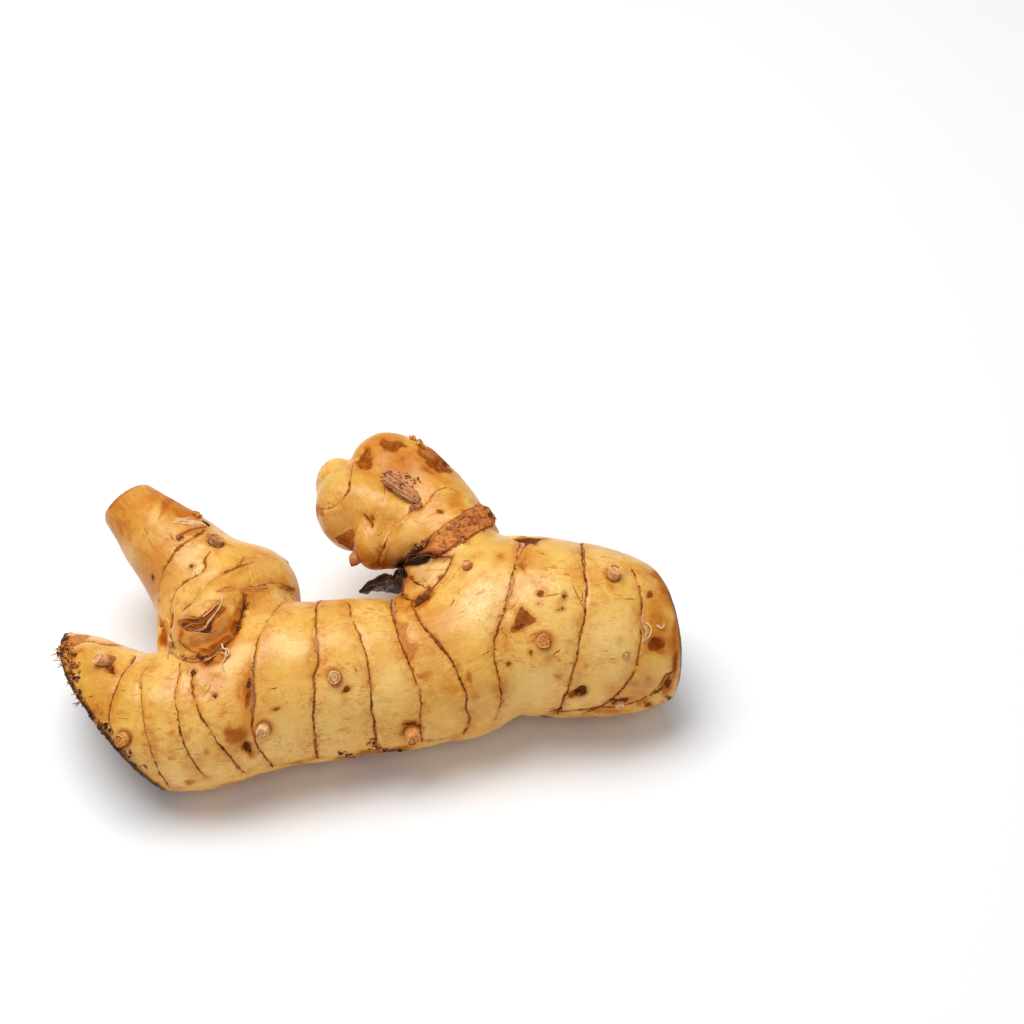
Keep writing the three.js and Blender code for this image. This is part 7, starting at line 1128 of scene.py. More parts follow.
def outline(px, py, corners):
    """signed distance to a closed outline, below 0 inside"""
    c = np.array(corners, float)
    best = np.full(len(px), 1e9)
    inside = np.zeros(len(px), bool)
    for k in range(len(c)):
        a, b = c[k], c[(k + 1) % len(c)]
        e = b - a
        wx, wy = px - a[0], py - a[1]
        t = np.clip((wx * e[0] + wy * e[1]) / (e @ e), 0, 1)
        best = np.minimum(best, np.hypot(wx - e[0] * t, wy - e[1] * t))
        c1, c2, c3 = py >= a[1], py < b[1], e[0] * wy > e[1] * wx
        inside ^= (c1 & c2 & c3) | (~c1 & ~c2 & ~c3)
    return np.where(inside, -best, best)


CRISP["rust"] = "rust"
for c, corners, kind, depth in PATCHES:
    q = V0 - (np.array(c) + ORIGIN)
    near = np.linalg.norm(q, axis=1) < 6.0
    sd = np.full(len(V0), 4.0)
    sd[near] = outline(q[near] @ ACROSS, q[near] @ UPWARD, corners)
    sd = np.maximum(sd + 0.22 * ROUGH_B * (sd < 3), np.abs(q @ FACING) - 2.4 + 0.9 * ROUGH_A)
    SD[CRISP[kind]] = np.minimum(SD[CRISP[kind]], sd)
    RISE -= depth * smoothstep(0.15, -0.25, sd)

# the side that lies away has marks of the same kinds, and roots of its own
_g = np.random.default_rng(23)
_back = np.nonzero((N0 @ FACING > 0.15) & (V0[:, 2] > ORIGIN[2] + 2.5))[0]
_order = _back[_g.permutation(len(_back))]
HIDDEN, _taken = [], []
for i in _order:
    if all(np.linalg.norm(V0[i] - q) > 9.0 for q in _taken):
        _taken.append(V0[i])
        HIDDEN.append(i)
    if len(HIDDEN) == 44:
        break
BACK_ROOTS = [i for i in HIDDEN if N0[i] @ FACING > 0.62 and abs(LINE_MM[i]) > 1.6][:10]
for n, i in enumerate(HIDDEN):
    d = np.linalg.norm(V0 - V0[i], axis=1)
    size = _g.uniform(0.5, 1.0)
    if i in BACK_ROOTS:
        continue
    if n % 5 in (1, 3):
        W["orange"] = np.maximum(W["orange"], 0.75 * smoothstep(1.3, 0.3, d / (2.4 * size) + 0.3 * ROUGH_A))
    elif n % 5 == 2:
        SD["brown"] = np.minimum(SD["brown"], d - 1.3 * size + 0.5 * ROUGH_A + 0.3 * ROUGH_B)
    else:
        SD["dark"] = np.minimum(SD["dark"], d - 0.75 * size + 0.3 * ROUGH_A)
        RISE -= 0.3 * smoothstep(1.2, 0.5, d / (0.9 * size))
for c, r, kind, strength in TINTS:
    d = np.linalg.norm(V0 - (np.array(c) + ORIGIN), axis=1) / r
    w = strength * smoothstep(1.25, 0.15, d + 0.2 * ROUGH_A)
    W[kind] = np.maximum(W[kind], w)

# ------------------------------------------------------------------ cut ends and the bark band of the neck
cut = np.maximum.reduce([half(V0, "end_cut"), half(V0, "left_cut"), half(V0, "left_cut_b")])
on_finger = T["fing"](V0) < T["main"](V0)
cut = np.where(on_finger, -9.0, cut)
tip = np.where(T["fing"](V0) < 1.5, half(V0, "tip_cut"), -9.0)
cut = np.maximum(cut, tip)
W["rust"] = np.maximum(W["rust"], np.where(half(V0, "end_cut") > -4, 0.8, np.where(tip > -4, 0.45, 0.9)) * smoothstep(-2.9, -0.4, cut + 0.55 * ROUGH_A + 0.25 * ROUGH_B))
CUT = np.clip(cut, -4, 2)  # rises to about 0 on a cut face
left = np.maximum(half(V0, "left_cut"), half(V0, "left_cut_b"))
left = np.where(on_finger, -9.0, left)
RIM_DARK = np.where(left > -4, 1.0, np.where(tip > -4, 0.25, 0.75))

# A band of rough brown bark runs round the neck, between two planes.
_up, _un = np.array([18.15, 13.14, 33.32]) + ORIGIN, np.array([-0.6096, 0.6306, 0.4804])
_dn, _dnn = np.array([19.79, 7.25, 32.72]) + ORIGIN, np.array([-0.5031, 0.5907, 0.6308])
_mid = np.array([16.99, 14.17, 26.4]) + ORIGIN
BARK_SD = np.maximum((V0 - _up) @ _un, -(V0 - _dn) @ _dnn)
BARK_SD = BARK_SD + 0.35 * noise(V0, 2.4, 71) + 0.15 * noise(V0, 0.9, 72)
BARK_SD[np.linalg.norm(V0 - _mid, axis=1) > 15.5] = 3.0
BARK_SD = np.clip(BARK_SD, -3, 3)
BARK_W = smoothstep(0.30, -0.35, BARK_SD)

# ------------------------------------------------------------------ small forms of the skin
RISE += 0.24 * fbm(V0, 11.0, 3, 41) + 0.07 * noise(V0, 2.6, 44)
RISE += 0.14 * W["red"] * fbm(V0, 1.5, 2, 46) + 0.10 * W["brownsoft"] * noise(V0, 1.7, 47)
# the skin sits in a low collar round each root, with a brown rim at its foot that is partly its own colour and partly
# painted crevice shade, and orange stain round that
STUBS = [(np.array(c) + ORIGIN, r, h, kind, np.array(lean)) for c, r, h, kind, lean in ROOTS]
for i in BACK_ROOTS:
    STUBS.append((V0[i].copy(), _g.uniform(0.9, 1.5), _g.uniform(0.8, 1.6), ("pale", "tan", "grey")[len(STUBS) % 3], _g.normal(0, 0.25, 3)))
for c, r, h, kind, lean in STUBS:
    d = np.linalg.norm(V0 - c, axis=1) / r
    RISE += 0.20 * np.exp(-(((d - 1.75) / 0.45) ** 2)) - 0.18 * np.exp(-(((d - 1.15) / 0.22) ** 2))
    W["brownsoft"] = np.maximum(W["brownsoft"], 0.8 * smoothstep(1.75, 1.15, d + 0.25 * ROUGH_A))
    W["orange"] = np.maximum(W["orange"], 0.45 * smoothstep(2.6, 1.3, d + 0.35 * ROUGH_A))
RISE += BARK_W * (0.45 + 0.30 * fbm(V0, 1.8, 3, 51))
face_w = smoothstep(-0.9, -0.15, CUT)
rim_w = smoothstep(-1.8, -0.6, left) * (1 - smoothstep(-0.4, 0.0, left))
RISE += face_w * (0.22 * fbm(V0, 1.3, 2, 61) - 0.15) + rim_w * 0.45 * fbm(V0, 1.6, 3, 62)
low = smoothstep(0.05, 1.6, V0[:, 2] - ORIGIN[2])
RISE = np.where(RISE > 0, RISE * low, RISE * (0.15 + 0.85 * low))
VS = V0 + N0 * RISE[:, None]
VS[:, 2] = np.maximum(VS[:, 2], ORIGIN[2])

# along-the-limb coordinates, for the fibres that run lengthwise
FLOW = np.zeros((len(V0), 3))
best = np.full(len(V0), 1e9)
for n, k in enumerate(("main", "fing", "neck", "core")):
    d, s_, a_, b_ = T[k].local(V0)
    m = d < best
    best[m] = d[m]
    FLOW[m] = np.stack([s_ + 300 * n, a_, b_], 1)[m]

ATTRS = {
    "line_d": np.clip(LINE_D, -12, 12),
    "line_mm": np.clip(LINE_MM, -6, 6),
    "line_p": LINE_P,
    "line_f": LINE_F,
    "seg": SEG,
    "cut_mm": CUT,
    "rim_dark": RIM_DARK,
    "bark_mm": BARK_SD,
    **{"w_" + k: v for k, v in W.items()},
    **{"sd_" + k: np.clip(v, -2, 4) for k, v in SD.items()},
}


# ------------------------------------------------------------------ Blender meshes
def mesh_piece(name, V, faces, material, attrs=None, vectors=None, smooth=True):
    """A piece from points in millimetres. It rides on the rhizome's one body."""
    me = bpy.data.meshes.new(name)
    faces = [list(map(int, f)) for f in faces]
    V = np.array(V, float)
    V[:, 2] = np.maximum(V[:, 2], ORIGIN[2])  # nothing reaches below what it rests on
    me.from_pydata((V / 1000).tolist(), [], faces)
    me.validate(clean_customdata=False)
    for k, v in (attrs or {}).items():
        a = me.attributes.new(k, "FLOAT", "POINT")
        a.data.foreach_set("value", np.asarray(v, np.float32))
    for k, v in (vectors or {}).items():
        a = me.attributes.new(k, "FLOAT_VECTOR", "POINT")
        a.data.foreach_set("vector", np.asarray(v, np.float32).ravel())
    me.polygons.foreach_set("use_smooth", [bool(smooth)] * len(me.polygons))
    me.update()
    ob = bpy.data.objects.new(name, me)
    bpy.context.scene.collection.objects.link(ob)
    me.materials.append(material)
    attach(ob, "root")
    return ob


# ------------------------------------------------------------------ materials
def lin(r, g, b):
    return tuple((x / 255 / 12.92 if x / 255 <= 0.04045 else ((x / 255 + 0.055) / 1.055) ** 2.4) for x in (r, g, b)) + (1.0,)


class Graph:
    """A short way to write a node tree."""

    def __init__(s, name):
        s.mat = bpy.data.materials.new(name)
        s.mat.use_nodes = True
        s.t = s.mat.node_tree
        s.t.nodes.clear()
        s.out = s.t.nodes.new("ShaderNodeOutputMaterial")
        s.bsdf = s.t.nodes.new("ShaderNodeBsdfPrincipled")
        s.t.links.new(s.bsdf.outputs[0], s.out.inputs[0])
        s.coord = s.t.nodes.new("ShaderNodeTexCoord").outputs["Object"]

    def put(s, socket, v):
        if isinstance(v, bpy.types.NodeSocket):
            s.t.links.new(v, socket)
        else:
            socket.default_value = v

    def attr(s, name, vector=False):
        n = s.t.nodes.new("ShaderNodeAttribute")
        n.attribute_name = name
        return n.outputs["Vector" if vector else "Fac"]

    def math(s, op, a, b=0.0, c=0.0, clamp=False):
        n = s.t.nodes.new("ShaderNodeMath")
        n.operation, n.use_clamp = op, clamp
        for k, v in enumerate((a, b, c)):
            s.put(n.inputs[k], v)
        return n.outputs[0]

    def add(s, a, b, clamp=False):
        return s.math("ADD", a, b, clamp=clamp)

    def mul(s, a, b, clamp=False):
        return s.math("MULTIPLY", a, b, clamp=clamp)

    def fit(s, v, a, b, c=0.0, d=1.0, smooth=True):
        """v from a..b to c..d"""
        n = s.t.nodes.new("ShaderNodeMapRange")
        n.interpolation_type = "SMOOTHSTEP" if smooth else "LINEAR"
        for k, x in enumerate((v, a, b, c, d)):
            s.put(n.inputs[k], x)
        return n.outputs[0]

    def mix(s, f, a, b, mode="MIX"):
        n = s.t.nodes.new("ShaderNodeMix")
        n.data_type, n.blend_type = "RGBA", mode
        s.put(n.inputs[0], f)
        s.put(n.inputs[6], a)
        s.put(n.inputs[7], b)
        return n.outputs[2]

    def noise(s, size, detail=2.0, rough=0.5, dist=0.0, vec=None, seed=0.0):
        """0 to 1, in lumps of about size millimetres"""
        n = s.t.nodes.new("ShaderNodeTexNoise")
        n.noise_dimensions = "4D"
        s.put(n.inputs["Vector"], vec if vec is not None else s.coord)
        n.inputs["W"].default_value = seed
        n.inputs["Scale"].default_value = (1000.0 if vec is None else 1.0) / size
        n.inputs["Detail"].default_value = detail
        n.inputs["Roughness"].default_value = rough
        n.inputs["Distortion"].default_value = dist
        return n.outputs[0]

    def cells(s, size, feature="F1", rnd=1.0, vec=None):
        n = s.t.nodes.new("ShaderNodeTexVoronoi")
        n.feature = feature
        s.put(n.inputs["Vector"], vec if vec is not None else s.coord)
        n.inputs["Scale"].default_value = (1000.0 if vec is None else 1.0) / size
        n.inputs["Randomness"].default_value = rnd
        return n.outputs["Distance"]

    def stretch(s, v, x, y, z):
        n = s.t.nodes.new("ShaderNodeVectorMath")
        n.operation = "MULTIPLY"
        s.put(n.inputs[0], v)
        n.inputs[1].default_value = (x, y, z)
        return n.outputs[0]

    def bump(s, height, depth_mm, strength=1.0, under=None):
        n = s.t.nodes.new("ShaderNodeBump")
        n.inputs["Strength"].default_value = strength
        n.inputs["Distance"].default_value = depth_mm / 1000
        s.put(n.inputs["Height"], height)
        if under is not None:
            s.put(n.inputs["Normal"], under)
        return n.outputs[0]


def skin_material():
    g = Graph("waxy_skin")
    big, mid, small = g.noise(17, 2, 0.5, seed=1), g.noise(5.5, 3, 0.55, seed=2), g.noise(1.6, 3, 0.6, seed=3)
    fine = g.noise(0.55, 3, 0.6, seed=4)
    flow = g.attr("flow", True)
    fibre = g.noise(0.55, 3, 0.6, vec=g.stretch(flow, 0.10, 1.0, 1.0), seed=5)
    fibre_b = g.noise(1.7, 2, 0.6, vec=g.stretch(flow, 0.14, 1.0, 1.0), seed=6)
    # yellow ground, paler and deeper in clouds
    base = g.mix(g.fit(big, 0.32, 0.68), lin(*GROUND[0]), lin(*GROUND[1]))
    base = g.mix(g.fit(mid, 0.36, 0.70, 0, 0.65), base, lin(*GROUND[2]))
    base = g.mix(g.fit(small, 0.50, 0.80, 0, 0.30), base, lin(*GROUND[3]))
    base = g.mix(g.fit(fibre, 0.52, 0.80, 0, 0.22), base, lin(*GROUND[4]))
    base = g.mix(g.fit(fibre_b, 0.55, 0.80, 0, 0.16), base, lin(*GROUND[1]))
    tint = g.add(g.mul(mid, 0.8), 0.6)
    # pale skin, and painted highlight where the pale tints sit on the tops of the limb and neck
    base = g.mix(g.mul(g.attr("w_pale"), g.mul(tint, 0.85), True), base, lin(*PALE_AND_HIGHLIGHT))
    base = g.mix(g.mul(g.attr("w_olive"), g.mul(tint, 0.75), True), base, lin(*OLIVE))
    base = g.mix(g.mul(g.attr("w_pink"), g.mul(tint, 0.85), True), base, lin(*PINK))
    warm = g.mul(g.attr("w_warm"), g.mul(tint, 0.95), True)
    base = g.mix(warm, base, lin(*WARM))
    base = g.mix(g.mul(g.mul(warm, g.fit(fibre_b, 0.47, 0.66)), 0.85), base, lin(*STREAK))
    base = g.mix(g.mul(g.mul(warm, g.fit(fibre, 0.50, 0.68)), 0.60), base, lin(*STREAK))
    # stains that gather beside the leaf scars
    seg = g.mul(g.attr("seg"), g.fit(g.add(g.mul(mid, 0.55), g.mul(small, 0.45)), 0.34, 0.64, 0.10, 1.0), True)
    base = g.mix(g.mul(seg, 0.85), base, lin(*SEG_STAIN))
    base = g.mix(g.mul(g.mul(seg, g.fit(small, 0.50, 0.66)), 0.55), base, lin(*STREAK))
    # orange stains, uneven
    base = g.mix(g.mul(g.attr("w_orange"), g.fit(g.add(g.mul(small, 0.6), g.mul(mid, 0.4)), 0.30, 0.62, 0.25, 1.15), True), base, lin(*ORANGE))
    deep = g.fit(g.add(g.attr("w_orange"), g.mul(g.add(small, -0.5), 0.9)), 0.68, 0.98)
    base = g.mix(g.mul(deep, 0.75), base, lin(*ORANGE_DEEP))
    # soft brown stains, and painted shade: the strips along the lower edge and, in part, the rim round each root's foot
    base = g.mix(g.mul(g.attr("w_brownsoft"), g.fit(small, 0.28, 0.70, 0.25, 1.0), True), base, lin(*BROWN_SOFT_AND_SHADE))
    # rust stains and rusty cut rims, with painted shade in rust brown along the lower edge and, in part, where the bud
    # by the finger meets the limb
    rust = g.attr("w_rust")
    base = g.mix(g.fit(g.add(rust, g.add(g.mul(g.add(small, -0.5), 0.8), g.mul(g.add(mid, -0.5), 0.6))), 0.12, 1.10, 0, 0.95), base, lin(*RUST))
    base = g.mix(g.fit(g.add(rust, g.add(g.mul(g.add(fine, -0.5), 0.9), g.mul(g.add(fibre_b, -0.5), 1.1))), 0.66, 1.20, 0, 0.85), base, lin(*RUST_DEEP))
    rw = g.attr("w_red")
    blotch = g.fit(g.add(rw, g.add(g.mul(g.add(small, -0.5), 0.9), g.mul(g.add(fine, -0.5), 0.5))), 0.26, 0.80)
    base = g.mix(g.mul(blotch, 0.92), base, g.mix(g.fit(fine, 0.36, 0.66), lin(*REDBROWN), lin(*REDBROWN_B)))
    base = g.mix(g.fit(fine, 0.46, 0.74, 0, 0.30), base, lin(*SEG_STAIN))
    base = g.mix(g.mul(g.fit(g.noise(0.9, 3, 0.6, seed=29), 0.54, 0.72, 0, 0.32), g.fit(g.add(warm, g.add(rust, g.attr("w_red"))), 0.0, 0.5, 1.0, 0.0)), base, lin(*PALE_AND_HIGHLIGHT))
    # pores and freckles
    dots = g.cells(2.6)
    keep = g.fit(g.noise(3.4, 1, 0.5, seed=8), 0.48, 0.58)
    dot = g.mul(g.fit(dots, 0.055, 0.10, 1, 0), keep)
    base = g.mix(g.mul(dot, 0.62), base, lin(*FRECKLE))
    dash = g.cells(2.2, vec=g.stretch(flow, 0.45, 1.0, 1.0))
    keep_b = g.fit(g.noise(4.2, 1, 0.5, seed=9), 0.50, 0.60)
    base = g.mix(g.mul(g.mul(g.fit(dash, 0.06, 0.12, 1, 0), keep_b), 0.55), base, lin(*FRECKLE))
    # scuffs: clusters of short orange scratches across and along the limb
    scuff = g.noise(0.7, 4, 0.7, dist=1.2, vec=g.stretch(flow, 0.55, 1.0, 1.0), seed=27)
    cluster = g.fit(g.noise(6.5, 2, 0.5, seed=28), 0.44, 0.62, 0.12, 1.0)
    base = g.mix(g.mul(g.mul(g.fit(scuff, 0.50, 0.60), cluster), 0.60), base, lin(*ORANGE))
    base = g.mix(g.mul(g.mul(g.fit(scuff, 0.58, 0.66), cluster), 0.60), base, lin(*FRECKLE))
    # scars: each edge broken up by noise
    edge = g.add(g.mul(g.add(fine, -0.5), 0.9), g.mul(g.add(small, -0.5), 0.7))

    def inside(name, soft=0.16, push=0.0):
        return g.fit(g.add(g.add(g.attr(name), push), edge), soft, -soft)

    pinkb = inside("sd_pinkbrown")
    base = g.mix(g.mul(pinkb, 0.80), base, g.mix(g.fit(fine, 0.3, 0.7), lin(*PINKBROWN), lin(*PINKBROWN_B)))
    rsc = inside("sd_rust", 0.2)
    base = g.mix(g.mul(rsc, 0.9), base, g.mix(g.fit(g.add(g.mul(small, 0.6), g.mul(fine, 0.4)), 0.36, 0.62), lin(*RUST), lin(*RUST_DEEP)))
    base = g.mix(g.mul(g.fit(g.math("ABSOLUTE", g.attr("sd_rust")), 0.28, 0.08), 0.6), base, lin(*REDBROWN))
    halo = g.fit(g.attr("sd_brown"), 0.9, 0.0, 0, 0.45)
    base = g.mix(halo, base, lin(*ORANGE))
    brown = inside("sd_brown")
    base = g.mix(g.mul(brown, 0.92), base, g.mix(g.fit(small, 0.3, 0.7), lin(*BROWN), lin(*BROWN_B)))
    halo = g.fit(g.attr("sd_redbrown"), 1.3, 0.0, 0, 0.55)
    base = g.mix(halo, base, lin(*ORANGE))
    redb = inside("sd_redbrown", 0.25)
    base = g.mix(g.mul(redb, 0.88), base, g.mix(g.fit(small, 0.35, 0.68), lin(*REDBROWN), lin(*REDBROWN_B)))
    # leaf-scar lines: a soft warm halo, a brown line and dark crumbs
    mm, p = g.attr("line_mm"), g.attr("line_p")
    wob = g.add(g.mul(g.add(g.noise(0.8, 2, 0.6, seed=11), -0.5), 0.42), g.mul(g.add(g.noise(0.32, 2, 0.5, seed=12), -0.5), 0.30))
    dmm = g.math("ABSOLUTE", g.add(mm, wob))
    halo = g.mul(g.fit(dmm, 1.15, 0.1, 0, 1), g.mul(p, g.fit(mid, 0.35, 0.65, 0.15, 0.75)), True)
    base = g.mix(halo, base, lin(*LINE_HALO))
    dl = g.math("ABSOLUTE", g.add(g.attr("line_d"), g.mul(wob, 3.6)))
    core = g.mul(g.fit(dl, 1.35, 0.55), g.fit(g.add(p, g.mul(g.add(small, -0.5), 0.9)), 0.16, 0.52), True)
    base = g.mix(g.mul(core, 0.86), base, g.mix(g.fit(g.noise(2.8, 2, 0.6, seed=13), 0.36, 0.62), lin(*LINE_A), lin(*LINE_B)))
    deepline = g.mul(g.fit(g.math("ABSOLUTE", g.add(g.attr("line_d"), g.mul(wob, 2.6))), 0.95, 0.25), g.fit(g.add(p, g.mul(g.add(mid, -0.5), 0.8)), 0.35, 0.85), True)
    base = g.mix(g.mul(deepline, 0.8), base, lin(*LINE_DEEP))
    crumb = g.mul(g.fit(dl, 1.9, 0.7), g.fit(g.add(g.noise(0.75, 2, 0.55, seed=14), g.mul(p, 0.10)), 0.60, 0.70), True)
    crumb = g.mul(crumb, g.fit(p, 0.12, 0.35), True)
    base = g.mix(g.mul(crumb, 0.92), base, lin(*LINE_C))
    frill = g.mul(g.fit(g.math("ABSOLUTE", g.add(mm, -0.25)), 0.75, 0.05), g.fit(g.noise(0.42, 2, 0.6, seed=15), 0.60, 0.72), True)
    frill = g.mul(frill, g.attr("line_f"), True)
    base = g.mix(g.mul(frill, 0.8), base, lin(*LINE_A))
    # the bark band of the neck
    bk = g.attr("bark_mm")
    bark = g.fit(g.add(bk, g.mul(edge, 0.7)), 0.20, -0.12)
    bvec = g.stretch(flow, 1.6, 0.5, 0.5)
    bn = g.add(g.mul(g.noise(0.9, 4, 0.65, dist=0.4, vec=bvec, seed=16), 0.6), g.mul(g.noise(3.2, 2, 0.5, vec=bvec, seed=17), 0.4))
    bcol = g.mix(g.fit(bn, 0.38, 0.56), lin(*BARK_A), lin(*BARK_B))
    bcol = g.mix(g.fit(g.noise(0.8, 3, 0.6, seed=18), 0.52, 0.68, 0, 0.85), bcol, lin(*BARK_C))
    bcol = g.mix(g.fit(g.math("ABSOLUTE", g.add(bk, 0.10)), 0.30, 0.05, 0, 0.7), bcol, lin(*BARK_C))
    base = g.mix(bark, base, bcol)
    # dark scabs and pits, and painted shade: strips along the lower edge and spots beside two cut roots
    halo = g.fit(g.attr("sd_dark"), 0.8, 0.0, 0, 0.6)
    base = g.mix(halo, base, lin(*DARK_HALO))
    dark = inside("sd_dark", 0.16)
    base = g.mix(g.mul(dark, 0.95), base, g.mix(g.fit(fine, 0.35, 0.75), lin(*DARK), lin(*BROWN)))
    halo = g.fit(g.attr("sd_black"), 1.3, 0.0, 0, 0.75)
    base = g.mix(halo, base, lin(*REDBROWN))
    blk = g.fit(g.add(g.attr("sd_black"), g.mul(edge, 0.9)), 0.22, -0.22)
    base = g.mix(g.mul(blk, 0.97), base, g.mix(g.fit(fine, 0.45, 0.8), lin(*BLACK), lin(*DARK)))
    # cut ends: dry fibrous wood with an inner ring, a dark rim
    cm = g.attr("cut_mm")
    cutm = g.fit(g.add(cm, g.mul(edge, 0.25)), -0.55, -0.18)
    cf = g.mix(g.fit(g.noise(0.8, 3, 0.6, seed=19), 0.35, 0.65), lin(*CUT_A), lin(*CUT_B))
    cdots = g.cells(0.85)
    cf = g.mix(g.fit(cdots, 0.28, 0.10, 0, 0.55), cf, lin(*CUT_C))
    cf = g.mix(g.fit(g.noise(6.0, 2, 0.5, seed=20), 0.45, 0.7, 0, 0.6), cf, lin(*CUT_C))
    base = g.mix(cutm, base, cf)
    rim = g.mul(g.fit(g.math("ABSOLUTE", g.add(g.add(cm, 0.65), g.mul(edge, 0.7))), 1.25, 0.35), g.fit(small, 0.2, 0.55, 0.6, 1.0), True)
    base = g.mix(g.mul(rim, g.attr("rim_dark"), True), base, lin(*RIM))
    g.put(g.bsdf.inputs["Base Color"], base)
    # gloss: waxy where clean, dull on scars and bark
    rough = g.add(g.fit(mid, 0.3, 0.7, SKIN_ROUGH[0], SKIN_ROUGH[1]), g.mul(g.add(fine, -0.5), 0.12))
    dull = g.math("MAXIMUM", g.math("MAXIMUM", core, bark), g.math("MAXIMUM", cutm, g.math("MAXIMUM", dark, brown)))
    dull = g.math("MAXIMUM", dull, g.math("MAXIMUM", g.math("MAXIMUM", blotch, redb), g.math("MAXIMUM", g.mul(rust, 0.75), g.math("MAXIMUM", rsc, g.math("MAXIMUM", pinkb, blk)))))
    dull = g.math("MAXIMUM", dull, g.mul(warm, 0.5))
    rough = g.add(rough, g.mul(dull, g.fit(rough, 0.2, 0.8, 0.5, 0.1, False)), True)
    g.put(g.bsdf.inputs["Roughness"], rough)
    g.bsdf.inputs["Specular IOR Level"].default_value = SPEC
    g.put(g.bsdf.inputs["Specular IOR Level"], g.fit(dull, 0.0, 1.0, SPEC, 0.06))
    g.bsdf.inputs["IOR"].default_value = 1.45
    g.put(g.bsdf.inputs["Coat Weight"], g.fit(g.add(dull, rust), 0.0, 0.8, 0.20, 0.0))
    g.bsdf.inputs["Coat Roughness"].default_value = 0.20
    g.bsdf.inputs["Subsurface Weight"].default_value = SSS[0]
    g.bsdf.inputs["Subsurface Radius"].default_value = (1.0, 0.55, 0.2)
    g.bsdf.inputs["Subsurface Scale"].default_value = SSS[1]
    # relief
    soft = g.add(g.mul(fibre_b, 0.6), g.mul(fibre, 0.4))
    n = g.bump(soft, 0.15, 0.7)
    n = g.bump(g.add(g.mul(mid, 0.6), g.mul(small, 0.4)), 0.45, 0.45, n)
    n = g.bump(g.noise(0.55, 3, 0.65, seed=21), 0.10, 0.8, n)
    ridge = g.add(g.mul(core, -0.7), g.mul(crumb, 0.9))
    ridge = g.add(ridge, g.mul(frill, 0.7))
    n = g.bump(ridge, 0.14, 0.9, n)
    scab = g.mul(g.add(g.add(brown, redb), g.add(pinkb, g.mul(dark, -0.6))), fine)
    n = g.bump(g.add(scab, g.mul(dot, -0.4)), 0.12, 0.8, n)
    n = g.bump(g.mul(bark, bn), 0.6, 0.8, n)
    n = g.bump(g.mul(blk, g.mul(small, -1.0)), 0.8, 0.8, n)
    n = g.bump(g.mul(cutm, g.add(cdots, g.noise(0.5, 3, 0.6, seed=22))), 0.30, 0.8, n)
    g.put(g.bsdf.inputs["Normal"], n)
    return g.mat


def ramp(g, v, stops):
    n = g.t.nodes.new("ShaderNodeValToRGB")
    n.color_ramp.interpolation = "LINEAR"
    e = n.color_ramp.elements
    while len(e) < len(stops):
        e.new(0.5)
    for k, (at, c) in enumerate(stops):
        e[k].position, e[k].color = at, lin(*c)
    g.put(n.inputs[0], v)
    return n.outputs[0]


def dry_material(name, stops, rough=0.75, jitter=0.25, spec=0.3, grain=0.5, depth=0.12, sss=0.0):
    """Dry plant matter: its colour follows each body's tone, uneven and grained."""
    g = Graph(name)
    a, b = g.noise(grain, 4, 0.65, dist=0.4, seed=31), g.noise(grain * 4, 2, 0.5, seed=32)
    tone = g.add(g.attr("tone"), g.add(g.mul(g.add(a, -0.5), jitter * 2), g.mul(g.add(b, -0.5), jitter * 1.4)), True)
    col = ramp(g, tone, stops)
    col = g.mix(g.fit(g.noise(grain * 0.45, 3, 0.6, seed=33), 0.50, 0.72, 0, 0.45), col, lin(*stops[-1][1]))
    g.put(g.bsdf.inputs["Base Color"], col)
    g.put(g.bsdf.inputs["Roughness"], g.fit(a, 0.25, 0.75, rough - 0.12, min(1.0, rough + 0.15)))
    g.bsdf.inputs["Specular IOR Level"].default_value = spec
    if sss:
        g.bsdf.inputs["Subsurface Weight"].default_value = sss
        g.bsdf.inputs["Subsurface Radius"].default_value = (1.0, 0.6, 0.35)
        g.bsdf.inputs["Subsurface Scale"].default_value = 0.0006
    n = g.bump(g.add(g.mul(a, 0.7), g.mul(g.noise(grain * 0.3, 3, 0.6, seed=34), 0.3)), depth, 0.9)
    g.put(g.bsdf.inputs["Normal"], n)
    return g.mat


def hair_material():
    return dry_material("dry_hair", [(0.0, (240, 208, 164)), (0.2, (226, 176, 122)), (0.5, (168, 104, 58)), (0.8, (84, 50, 30)), (1.0, (48, 30, 22))], 0.7, 0.10, 0.3, 0.4, 0.06)


def frill_material():
    return dry_material("torn_scale_edge", [(0.0, (238, 200, 148)), (0.3, (212, 148, 96)), (0.55, (160, 98, 58)), (0.8, (104, 62, 38)), (1.0, (62, 38, 28))], 0.72, 0.20, 0.3, 0.4, 0.10)


def stump_material():
    g = Graph("woody_fibre")
    tone, ridge = g.attr("tone"), g.attr("ridge")
    a, b = g.noise(0.45, 4, 0.65, dist=0.5, seed=41), g.noise(1.8, 2, 0.5, seed=42)
    t = g.add(tone, g.add(g.mul(g.add(a, -0.5), 0.6), g.add(g.mul(ridge, -0.42), g.mul(g.add(b, -0.5), 0.4))), True)
    col = ramp(g, t, [(0.0, (226, 168, 116)), (0.25, (200, 132, 84)), (0.5, (150, 88, 54)), (0.78, (92, 52, 32)), (1.0, (50, 30, 22))])
    g.put(g.bsdf.inputs["Base Color"], col)
    g.put(g.bsdf.inputs["Roughness"], g.fit(a, 0.25, 0.75, 0.6, 0.9))
    g.bsdf.inputs["Specular IOR Level"].default_value = 0.3
    g.put(g.bsdf.inputs["Normal"], g.bump(g.add(g.mul(a, 0.7), g.mul(g.noise(0.18, 3, 0.6, seed=43), 0.3)), 0.16, 0.9))
    return g.mat


